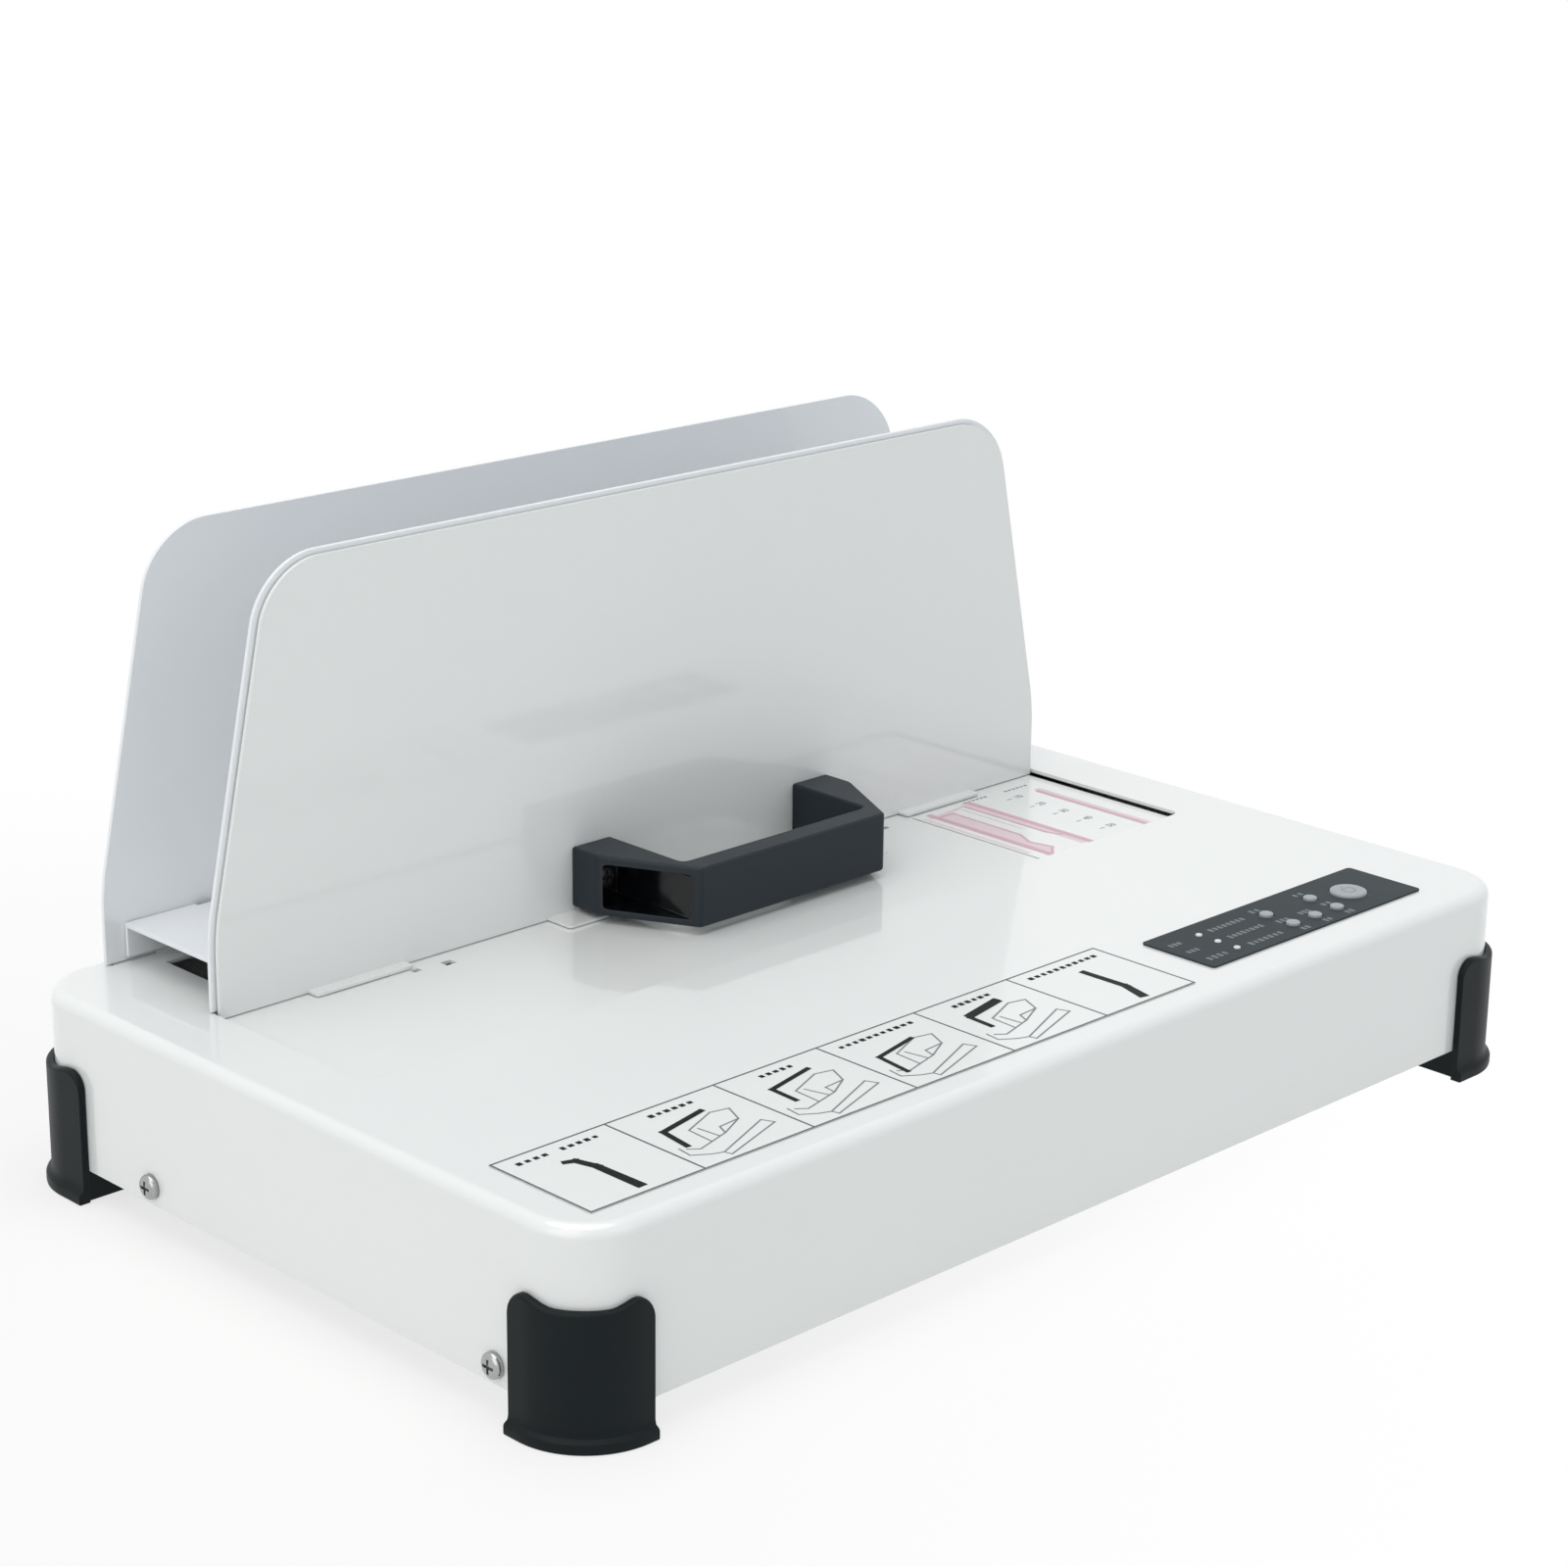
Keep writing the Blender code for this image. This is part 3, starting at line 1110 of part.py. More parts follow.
def build_rack_floor():
    """Build the raised floor of the cooling rack, with its front and rear flanges."""
    tab_x = RACK_FLOOR_X - RACK_TAB_WIDTH
    rear_y, tab_y = REAR_FRONT_Y - RACK_REAR_GAP, REAR_FRONT_Y - FIT
    right = [(RACK_FLOOR_X, RACK_FRONT_Y), (RACK_FLOOR_X, tab_y), (tab_x, tab_y), (tab_x, rear_y)]
    outline = right + [(-x, y) for x, y in reversed(right)]
    floor = make_object("rack_floor", prism(outline, RACK_FLOOR_UNDER_Z, RACK_FLOOR_TOP_Z), WHITE)
    flanges = bmesh.new()
    end_x = TRAY_END_X - RACK_FLANGE_END_STEP
    lap_z = RACK_FLOOR_UNDER_Z + PLATE_SHEET / 2
    add_box(flanges, (-end_x, RACK_FRONT_Y, DECK_Z + RACK_FRONT_FLANGE_GAP),
            (end_x, RACK_FRONT_Y + PLATE_SHEET, lap_z))
    for side in (-1, 1):
        low_yz = (tab_y - PLATE_SHEET, RACK_FLOOR_TOP_Z - RACK_REAR_FLANGE_HEIGHT)
        high_yz = (tab_y, lap_z)
        add_box(flanges, *side_box(side, tab_x, RACK_FLOOR_X, low_yz, high_yz))
    join(floor, "rack_flanges", flanges)
    rivets = bmesh.new()
    for x, z in front_rivet_places():
        start = (x, RACK_FRONT_Y + PLATE_SHEET / 2, z)
        add_flush_rivet(rivets, start, (0, -1, 0), start[1] - MIDDLE_FRONT_Y)
    for x, z in rear_rivet_places():
        grip = PLATE_SHEET / 2 + FIT + PLATE_SHEET + FIT
        add_stud(rivets, (x, tab_y - PLATE_SHEET / 2, z), (0, 1, 0), RIVET, grip)
    join(floor, "rack_rivets", rivets)


def shelf_span():
    """Return the front and rear Y of the shelves that carry the tray."""
    front = TRAY_FRONT_Y + SHELF_FRONT_STEP
    return front, front + SHELF_LENGTH


def tray_screw_places():
    """Return the places of the screws that hold the tray's ears to the shelves."""
    front, rear = shelf_span()
    middle = (RAIL_ZONE_X + BRACKET_X) / 2
    return [(side * middle, (front + rear) / 2) for side in (-1, 1)]


def build_brackets():
    """Build the two side brackets, each a web with its bent tabs."""
    for name, side in (("side_bracket_left", -1), ("side_bracket_right", 1)):
        web_low = (FRONT_TAB_Y, PAN_TOP_Z + FIT)
        web_high = (REAR_FRONT_Y - FIT, DECK_UNDER_Z - BRACKET_TOP_GAP)
        web = side_box(side, BRACKET_X, BRACKET_X + BRACKET_SHEET, web_low, web_high)
        bracket = make_object(name, boxes(web), ZINC)
        tabs = bmesh.new()
        for inner, low_yz, high_yz in bracket_tabs():
            add_box(tabs, *side_box(side, inner, BRACKET_X + WELD_OVERLAP, low_yz, high_yz))
        join(bracket, name + "_tabs", tabs)
        holes = bmesh.new()
        for y in (FRONT_TAB_Y, REAR_TAB_Y):
            start = (side * ROD_X, y - OVERRUN, ROD_Z)
            add_cylinder(holes, start, (0, 1, 0), ROD_RADIUS + FIT, BRACKET_SHEET + 2 * OVERRUN)
        start = (side * SPRING_X, SPRING_TAB_Y - OVERRUN, SPRING_Z)
        add_cylinder(holes, start, (0, 1, 0), SPRING_WIRE_RADIUS + FIT, BRACKET_SHEET + 2 * OVERRUN, SMALL_SIDES)
        for x, z in leg_screw_places():
            if x * side > 0:
                start = (x, REAR_FRONT_Y - FIT - BRACKET_SHEET - OVERRUN, z)
                add_cylinder(holes, start, (0, 1, 0), SCREW_RADIUS + FIT, BRACKET_SHEET + 2 * OVERRUN, SMALL_SIDES)
        for x, y in tray_screw_places():
            if x * side > 0:
                start = (x, y, SHELF_TOP_Z - BRACKET_SHEET - OVERRUN)
                add_cylinder(holes, start, (0, 0, 1), SMALL_SCREW_RADIUS + FIT, BRACKET_SHEET + 2 * OVERRUN,
                             SMALL_SIDES)
        cut(bracket, name + "_holes", holes)
        rivets = bmesh.new()
        for x, y in bracket_rivet_places():
            if x * side > 0:
                start = (x, y, PAN_TOP_Z + FIT + BRACKET_SHEET / 2)
                grip = BRACKET_SHEET / 2 + FIT + PAN_SHEET + FIT
                add_stud(rivets, start, (0, 0, -1), RIVET, grip)
        join(bracket, name + "_rivets", rivets)


def bracket_tabs():
    """Return the inner X and the YZ corners of each tab bent in from a bracket's web."""
    rod_inner = ROD_X - ROD_RADIUS - FIT - ROD_TAB_SIDE_WALL
    shelf_front, shelf_rear = shelf_span()
    rod_low, rod_high = ROD_Z - ROD_TAB_HALF_HEIGHT, SLIDE_UNDER_Z - ROD_TAB_TOP_GAP
    spring_low, spring_high = SPRING_Z - SPRING_TAB_HALF_HEIGHT, SPRING_Z + SPRING_TAB_HALF_HEIGHT
    leg_low = DECK_UNDER_Z - LEG_TAB_TOP_GAP - LEG_TAB_HEIGHT
    leg_y = REAR_FRONT_Y - FIT - BRACKET_SHEET
    return (
        (rod_inner, (FRONT_TAB_Y, rod_low), (FRONT_TAB_Y + BRACKET_SHEET, rod_high)),
        (rod_inner, (REAR_TAB_Y, rod_low), (REAR_TAB_Y + BRACKET_SHEET, rod_high)),
        (RAIL_ZONE_X, (SPRING_TAB_Y, spring_low), (SPRING_TAB_Y + BRACKET_SHEET, spring_high)),
        (RAIL_ZONE_X, (shelf_front, SHELF_TOP_Z - BRACKET_SHEET), (shelf_rear, SHELF_TOP_Z)),
        (leg_span()[0], (leg_y, leg_low), (leg_y + BRACKET_SHEET, leg_low + LEG_TAB_HEIGHT)),
        (BRACKET_X - BRACKET_FOOT_WIDTH, (FRONT_TAB_Y, PAN_TOP_Z + FIT),
         (REAR_FRONT_Y - FIT, PAN_TOP_Z + FIT + BRACKET_SHEET)),
    )


def build_rods():
    """Build the guide rods, with a collar at each end that holds them in the brackets."""
    front = FRONT_TAB_Y - FIT
    rear = REAR_TAB_Y + BRACKET_SHEET + FIT
    profile = ((0, front - COLLAR_LENGTH), (COLLAR_RADIUS, front - COLLAR_LENGTH), (COLLAR_RADIUS, front),
               (ROD_RADIUS, front), (ROD_RADIUS, rear), (COLLAR_RADIUS, rear),
               (COLLAR_RADIUS, rear + COLLAR_LENGTH), (0, rear + COLLAR_LENGTH))
    for name, side in (("guide_rod_left", -1), ("guide_rod_right", 1)):
        rod = bmesh.new()
        add_turned(rod, profile, axis_frame((side * ROD_X, 0, ROD_Z), (0, 1, 0)))
        make_object(name, rod, STEEL)


def block_stud_places():
    """Return the places of the studs that hold the slide blocks."""
    ys = (BLOCK_FRONT_Y + BLOCK_STUD_FROM_END, BLOCK_REAR_Y - BLOCK_STUD_FROM_END)
    return [(side * SPRING_X, y) for side in (-1, 1) for y in ys]


def clamp_stud_places():
    """Return the places of the studs under the clamp plate's tabs."""
    end_x = (END_TAB_INNER_X + END_TAB_OUTER_X) / 2
    end_y = CLAMP_FRONT_Y - END_TAB_DEPTH / 2
    middle_y = CLAMP_FRONT_Y - MIDDLE_TAB_DEPTH / 2
    spread = MIDDLE_TAB_WIDTH / 3
    middle = [(HANDLE_CENTRE_X + side * spread, middle_y) for side in (-1, 1)]
    return [(-end_x, end_y), (end_x, end_y)] + middle


def build_slide_deck(carrier):
    """Build the sheet that slides with the clamp plate and closes the window."""
    rear = (SLIDE_FRONT_Y, SLIDE_REAR_Y)
    low = (-SLIDE_HALF_WIDTH, rear[0], SLIDE_UNDER_Z)
    high = (SLIDE_HALF_WIDTH, rear[1], SLIDE_TOP_Z)
    deck = make_object("slide_deck", boxes((low, high)), WHITE, carrier)
    lap = SLIDE_UNDER_Z + PLATE_SHEET / 2
    lip_x = TRAY_END_X - SLIDE_LIP_END_GAP
    lip = ((-lip_x, SLIDE_FRONT_Y, SLIDE_UNDER_Z - SLIDE_LIP_HEIGHT),
           (lip_x, SLIDE_FRONT_Y + PLATE_SHEET, lap))
    join(deck, "slide_deck_lip", boxes(lip))
    holes = bmesh.new()
    for x, y in clamp_stud_places():
        add_cylinder(holes, (x, y, SLIDE_UNDER_Z - OVERRUN), (0, 0, 1), STUD[0] + FIT,
                     PLATE_SHEET + 2 * OVERRUN, STUD_SIDES)
    cut(deck, "slide_deck_holes", holes)
    studs = bmesh.new()
    grip = lap - BLOCK_UNDER_Z - STUD_POCKET_DEPTH + FIT
    for x, y in block_stud_places():
        add_stud(studs, (x, y, lap), (0, 0, -1), STUD, grip)
    join(deck, "slide_deck_studs", studs)


def build_clamp_plate(carrier):
    """Build the clamp plate with its forward tabs and their studs."""
    outline = mirrored(plate_outline(CLAMP_RIM_STEP, CLAMP_FOOT_Z))
    plate = make_object("clamp_plate", prism(outline, CLAMP_FRONT_Y, CLAMP_BACK_Y, "XZ"), WHITE, carrier)
    tabs = bmesh.new()
    back = CLAMP_FRONT_Y + PLATE_SHEET / 2
    low, high = CLAMP_FOOT_Z, CLAMP_FOOT_Z + PLATE_SHEET
    for side in (-1, 1):
        low_yz, high_yz = (CLAMP_FRONT_Y - END_TAB_DEPTH, low), (back, high)
        add_box(tabs, *side_box(side, END_TAB_INNER_X, END_TAB_OUTER_X, low_yz, high_yz))
    join(plate, "clamp_end_tabs", tabs)
    half = MIDDLE_TAB_WIDTH / 2
    corners = ((HANDLE_CENTRE_X - half, CLAMP_FRONT_Y - MIDDLE_TAB_DEPTH, low),
               (HANDLE_CENTRE_X + half, back, high))
    join(plate, "clamp_middle_tab", boxes(corners))
    studs = bmesh.new()
    grip = PLATE_SHEET / 2 + FIT + PLATE_SHEET + FIT
    for x, y in clamp_stud_places():
        add_stud(studs, (x, y, low + PLATE_SHEET / 2), (0, 0, -1), STUD, grip)
    for x, z in handle_screw_places():
        start = (x, CLAMP_FRONT_Y + PLATE_SHEET / 2, z)
        length = PLATE_SHEET / 2 + HANDLE_NUT_HEIGHT
        add_cylinder(studs, start, (0, -1, 0), HANDLE_NUT_RADIUS, length, SMALL_SIDES)
    join(plate, "clamp_studs_and_nuts", studs)
    holes = bmesh.new()
    for x, z in handle_screw_places():
        start = (x, CLAMP_FRONT_Y - HANDLE_NUT_HEIGHT - OVERRUN, z)
        length = HANDLE_NUT_HEIGHT + PLATE_SHEET + 2 * OVERRUN
        add_cylinder(holes, start, (0, 1, 0), HANDLE_SCREW_RADIUS + FIT, length, SMALL_SIDES)
    cut(plate, "clamp_holes", holes)


def build_slide_blocks(carrier):
    """Build the plastic blocks that run on the guide rods."""
    for name, side in (("slide_block_left", -1), ("slide_block_right", 1)):
        low_yz = (BLOCK_FRONT_Y, BLOCK_UNDER_Z)
        high_yz = (BLOCK_REAR_Y, BLOCK_TOP_Z)
        body = side_box(side, RAIL_ZONE_X + BLOCK_SIDE_GAP, BRACKET_X - BLOCK_SIDE_GAP, low_yz, high_yz)
        block = make_object(name, boxes(body), SLIDE_PLASTIC, carrier)
        holes = bmesh.new()
        start = (side * ROD_X, BLOCK_FRONT_Y - OVERRUN, ROD_Z)
        add_cylinder(holes, start, (0, 1, 0), ROD_RADIUS + FIT, BLOCK_LENGTH + 2 * OVERRUN)
        start = (side * SPRING_X, BLOCK_REAR_Y - SPRING_BORE_DEPTH, SPRING_Z)
        add_cylinder(holes, start, (0, 1, 0), SPRING_WIRE_RADIUS + FIT, SPRING_BORE_DEPTH + OVERRUN, SMALL_SIDES)
        low, high = BLOCK_UNDER_Z - OVERRUN, BLOCK_TOP_Z + OVERRUN
        ceiling = BLOCK_UNDER_Z + STUD_POCKET_DEPTH
        for x, y in block_stud_places():
            if x * side > 0:
                profile = ((0, low), (STUD[1] + FIT, low), (STUD[1] + FIT, ceiling),
                           (STUD[0] + FIT, ceiling), (STUD[0] + FIT, high), (0, high))
                add_turned(holes, profile, Matrix.Translation((x, y, 0)), STUD_SIDES)
        cut(block, name + "_holes", holes)


def spring_route(side):
    """Return the wire of one extension spring: a tail, the coil and another tail."""
    start_y = BLOCK_REAR_Y - SPRING_BORE_DEPTH + FIT
    end_y = SPRING_TAB_Y + BRACKET_SHEET
    coil_start, coil_end = BLOCK_REAR_Y + SPRING_TAIL, SPRING_TAB_Y - SPRING_TAIL
    centre = Vector((side * SPRING_X, 0, SPRING_Z))
    route = [centre + Vector((0, start_y, 0)), centre + Vector((0, coil_start - SPRING_RADIUS, 0))]
    count = SPRING_TURNS * SPRING_TURN_POINTS
    for step in range(count + 1):
        angle = 2 * math.pi * step / SPRING_TURN_POINTS
        y = coil_start + (coil_end - coil_start) * step / count
        route.append(centre + Vector((SPRING_RADIUS * math.sin(angle), y, SPRING_RADIUS * math.cos(angle))))
    route += [centre + Vector((0, coil_end + SPRING_RADIUS, 0)), centre + Vector((0, end_y, 0))]
    return route


def build_springs():
    """Build the two springs that draw the clamp shut."""
    for name, side in (("return_spring_left", -1), ("return_spring_right", 1)):
        make_wire(name, spring_route(side), SPRING_WIRE_RADIUS, SPRING_STEEL, roundness=1)


def handle_screw_places():
    """Return the X and Z of the handle's two screws."""
    reach = HANDLE_HALF_WIDTH - HANDLE_END_THICKNESS / 2
    height = (HANDLE_BOTTOM_Z + HANDLE_TOP_Z) / 2
    return [(HANDLE_CENTRE_X + side * reach, height) for side in (-1, 1)]


def build_handle(carrier):
    """Build the bridge handle: a bar, two slanted ends, and a screw pocket in each."""
    back = HANDLE_BACK_Y
    front = back - HANDLE_REACH
    inner_x = HANDLE_HALF_WIDTH - HANDLE_END_THICKNESS
    right = (
        (inner_x, back),
        (inner_x, front + HANDLE_BAR_THICKNESS),
    )
    outer = (
        (HANDLE_BAR_HALF_LENGTH, front),
        (HANDLE_HALF_WIDTH, back - HANDLE_SIDE_DEPTH),
        (HANDLE_HALF_WIDTH, back),
    )
    outline = [(-x, y) for x, y in right] + [(x, y) for x, y in reversed(right)]
    outline += [(x, y) for x, y in reversed(outer)] + [(-x, y) for x, y in outer]
    outline = [(HANDLE_CENTRE_X + x, y) for x, y in outline]
    shape = prism(outline, HANDLE_BOTTOM_Z, HANDLE_TOP_Z)
    edges = [edge for edge in shape.edges if all(vert.co.y < back - FIT for vert in edge.verts)]
    bmesh.ops.recalc_face_normals(shape, faces=shape.faces)
    bmesh.ops.bevel(shape, geom=edges, offset=HANDLE_EDGE_RADIUS, segments=2, profile=0.5, affect="EDGES")
    handle = make_object("handle", shape, BLACK_PLASTIC, carrier)
    pockets = bmesh.new()
    nut_holes = bmesh.new()
    floor_y = back - HANDLE_FOOT_THICKNESS
    for side in (-1, 1):
        ends = (HANDLE_HALF_WIDTH - POCKET_SIDE_WALL, inner_x + POCKET_INNER_WALL - HANDLE_EDGE_RADIUS)
        left, right_x = sorted(HANDLE_CENTRE_X + side * end for end in ends)
        add_box(pockets, (left, front - OVERRUN, HANDLE_BOTTOM_Z + POCKET_FACE_WALL),
                (right_x, floor_y, HANDLE_TOP_Z - POCKET_FACE_WALL))
    for x, z in handle_screw_places():
        step = CLAMP_FRONT_Y - HANDLE_NUT_HEIGHT - FIT
        profile = ((0, floor_y - OVERRUN), (HANDLE_SCREW_RADIUS + FIT, floor_y - OVERRUN),
                   (HANDLE_SCREW_RADIUS + FIT, step), (HANDLE_NUT_RADIUS + FIT, step),
                   (HANDLE_NUT_RADIUS + FIT, back + OVERRUN), (0, back + OVERRUN))
        frame = Matrix.Translation((x, 0, z)) @ Matrix.Rotation(-math.pi / 2, 4, "X")
        add_turned(nut_holes, profile, frame, SMALL_SIDES)
    cut(handle, "handle_pockets", pockets)
    cut(handle, "handle_nut_holes", nut_holes)
    build_handle_fixings(carrier, floor_y)


def build_handle_fixings(carrier, floor_y):
    """Build the screws in the handle's pockets, which hold in the plate's pressed-in nuts."""
    sizes = (HANDLE_SCREW_RADIUS, HANDLE_SCREW_HEAD_RADIUS, HANDLE_SCREW_HEAD_HEIGHT)
    shank = CLAMP_BACK_Y - floor_y
    for (x, z), name in zip(handle_screw_places(), ("handle_screw_left", "handle_screw_right")):
        screw = bmesh.new()
        add_screw(screw, (x, floor_y - FIT, z), (0, 1, 0), sizes, shank)
        make_object(name, screw, ZINC, carrier)


def heater_bands():
    """Return the front and rear Y of the two heater strips."""
    front = PLATEN_FRONT_Y + HEATER_EDGE_MARGIN
    rear = PLATEN_REAR_Y - HEATER_EDGE_MARGIN
    return (("heater_strip_front", front, front + HEATER_WIDTH), ("heater_strip_rear", rear - HEATER_WIDTH, rear))


def heater_lead_places():
    """Return where each heater strip's leads go down through the board and the tray."""
    x = HEATER_LEAD_INSET - PLATEN_END_X
    return [(x, (front + rear) / 2) for _, front, rear in heater_bands()]


def build_heater():
    """Build the heating plate, its strips, the board under them and the tray."""
    front_top = PLATEN_TOP_Z - TRAY_FRONT_WALL_DROP
    rear_top = PLATEN_TOP_Z + TRAY_REAR_WALL_RISE
    floor = ((-TRAY_END_X, TRAY_FRONT_Y, TRAY_UNDER_Z), (TRAY_END_X, TRAY_BACK_Y, TRAY_FLOOR_Z))
    tray = make_object("heater_tray", boxes(floor), ZINC)
    lap = TRAY_UNDER_Z + TRAY_SHEET / 2
    front_wall = ((-TRAY_END_X, TRAY_FRONT_Y, lap), (TRAY_END_X, TRAY_FRONT_Y + TRAY_SHEET, front_top))
    rear_wall = ((-TRAY_END_X, TRAY_BACK_Y - TRAY_SHEET, lap), (TRAY_END_X, TRAY_BACK_Y, rear_top))
    walls = boxes(front_wall, rear_wall)
    shelf_front, shelf_rear = shelf_span()
    for side in (-1, 1):
        low_yz, high_yz = (shelf_front, TRAY_UNDER_Z), (shelf_rear, TRAY_FLOOR_Z)
        add_box(walls, *side_box(side, TRAY_END_X - WELD_OVERLAP, BRACKET_X - FIT, low_yz, high_yz))
    join(tray, "tray_walls", walls)
    holes = bmesh.new()
    start_z, depth = TRAY_UNDER_Z - OVERRUN, TRAY_SHEET + 2 * OVERRUN
    for x, y in tray_screw_places():
        add_cylinder(holes, (x, y, start_z), (0, 0, 1), SMALL_SCREW_RADIUS + FIT, depth, SMALL_SIDES)
    add_heater_holes(holes, start_z, depth)
    cut(tray, "tray_holes", holes)
    rivets = bmesh.new()
    for x, z in tray_rivet_places():
        start = (x, TRAY_BACK_Y - TRAY_SHEET / 2, z)
        add_flush_rivet(rivets, start, (0, -1, 0), start[1] - MIDDLE_FRONT_Y)
    join(tray, "tray_rivets", rivets)
    low = (-PLATEN_END_X, PLATEN_FRONT_Y, PLATEN_UNDER_Z)
    make_object("heating_plate", boxes((low, (PLATEN_END_X, PLATEN_REAR_Y, PLATEN_TOP_Z))), ALUMINIUM)
    end = PLATEN_END_X - HEATER_END_MARGIN
    for name, front, rear in heater_bands():
        make_object(name, boxes(((-end, front, HEATER_UNDER_Z), (end, rear, HEATER_TOP_Z))), SILICONE)
    end = PLATEN_END_X - INSULATION_MARGIN
    low = (-end, PLATEN_FRONT_Y + PLATEN_FRONT_GAP, INSULATION_UNDER_Z)
    board = make_object("insulation_board", boxes((low, (end, PLATEN_REAR_Y, INSULATION_TOP_Z))), MINERAL_BOARD)
    holes = bmesh.new()
    add_heater_holes(holes, INSULATION_UNDER_Z - OVERRUN, INSULATION_THICKNESS + 2 * OVERRUN)
    cut(board, "insulation_holes", holes)


def add_heater_holes(shape, low, depth):
    """Add the holes for the thermostat and the heater leads."""
    radius = THERMOSTAT_RADIUS + THERMOSTAT_HOLE_GAP
    add_cylinder(shape, (0, PLATEN_CENTRE_Y, low), (0, 0, 1), radius, depth)
    for x, y in heater_lead_places():
        add_cylinder(shape, (x, y, low), (0, 0, 1), LEAD_RADIUS + HEATER_LEAD_HOLE_GAP, depth, SMALL_SIDES)


def build_sensors():
    """Build the disc thermostat and the temperature probe under the heating plate."""
    body = THERMOSTAT_BODY_HEIGHT
    cap = body + THERMOSTAT_CAP_HEIGHT
    profile = ((0, 0), (THERMOSTAT_FLANGE_RADIUS, 0), (THERMOSTAT_FLANGE_RADIUS, body),
               (THERMOSTAT_RADIUS, body), (THERMOSTAT_RADIUS, cap), (0, cap))
    shape = bmesh.new()
    base_z = HEATER_TOP_Z - cap
    add_turned(shape, profile, Matrix.Translation((0, PLATEN_CENTRE_Y, base_z)))
    make_object("thermostat", shape, CERAMIC)
    probe = bmesh.new()
    start = (PROBE_X - PROBE_LENGTH / 2, PLATEN_CENTRE_Y, INSULATION_TOP_Z + FIT + PROBE_RADIUS)
    add_cylinder(probe, start, (1, 0, 0), PROBE_RADIUS, PROBE_LENGTH, SMALL_SIDES)
    make_object("temperature_probe", probe, STEEL)


def build_inner_screws():
    """Build the screws of the rear plate's legs and of the tray's ears."""
    sizes = (SCREW_RADIUS, SCREW_HEAD_RADIUS, SCREW_HEAD_HEIGHT)
    for (x, z), name in zip(leg_screw_places(), ("leg_screw_left", "leg_screw_right")):
        screw = bmesh.new()
        add_screw(screw, (x, REAR_BACK_Y + FIT, z), (0, -1, 0), sizes, PLATE_SHEET + 2 * FIT + BRACKET_SHEET)
        make_object(name, screw, ZINC)
    sizes = (SMALL_SCREW_RADIUS, SMALL_SCREW_HEAD_RADIUS, SMALL_SCREW_HEAD_HEIGHT)
    for (x, y), name in zip(tray_screw_places(), ("tray_screw_left", "tray_screw_right")):
        screw = bmesh.new()
        add_screw(screw, (x, y, TRAY_FLOOR_Z + FIT), (0, 0, -1), sizes, TRAY_SHEET + 2 * FIT + BRACKET_SHEET)
        make_object(name, screw, ZINC)


def build_panel():
    """Build the control panel's film and its keys."""
    half = (PANEL_WIDTH / 2, PANEL_DEPTH / 2)
    centre = (PANEL_CENTRE_X, CONTROL_BOARD_CENTRE_Y)
    outline = rounded_rectangle(*half, PANEL_CORNER_RADIUS, EDGE_STEPS, centre)
    low = DECK_Z + FILM_GAP
    film = make_object("panel_overlay", prism(outline, low, PANEL_TOP_Z), PANEL_GREY)
    holes = bmesh.new()
    add_panel_holes(holes, low - OVERRUN, PANEL_TOP_Z + OVERRUN)
    cut(film, "panel_holes", holes)
    build_key("power_key", POWER_KEY_OFFSET, POWER_KEY_RADIUS, ROUND_SIDES)
    for name, offset in SMALL_KEY_OFFSETS.items():
        build_key(name, offset, KEY_RADIUS, SMALL_SIDES)


def build_key(name, offset, radius, sides):
    """Build one key: a low cap and the stem that presses its switch, on its own axis."""
    x, y = panel_spot(offset)
    top = PANEL_TOP_Z + KEY_RISE
    under = top - KEY_CAP_HEIGHT
    tip = CONTROL_BOARD_TOP_Z + SWITCH_HEIGHT - SWITCH_BORE_DEPTH + KEY_TRAVEL + FIT
    profile = ((0, tip), (KEY_STEM_RADIUS, tip), (KEY_STEM_RADIUS, under), (radius, under),
               (radius, top - KEY_EDGE_RADIUS), (radius - KEY_EDGE_RADIUS, top), (0, top))
    shape = bmesh.new()
    add_turned(shape, profile, Matrix.Translation((x, y, 0)), sides)
    carrier = make_carrier(name + "_axis", (x, y, top))
    make_object(name, shape, KEY_GREY, carrier)


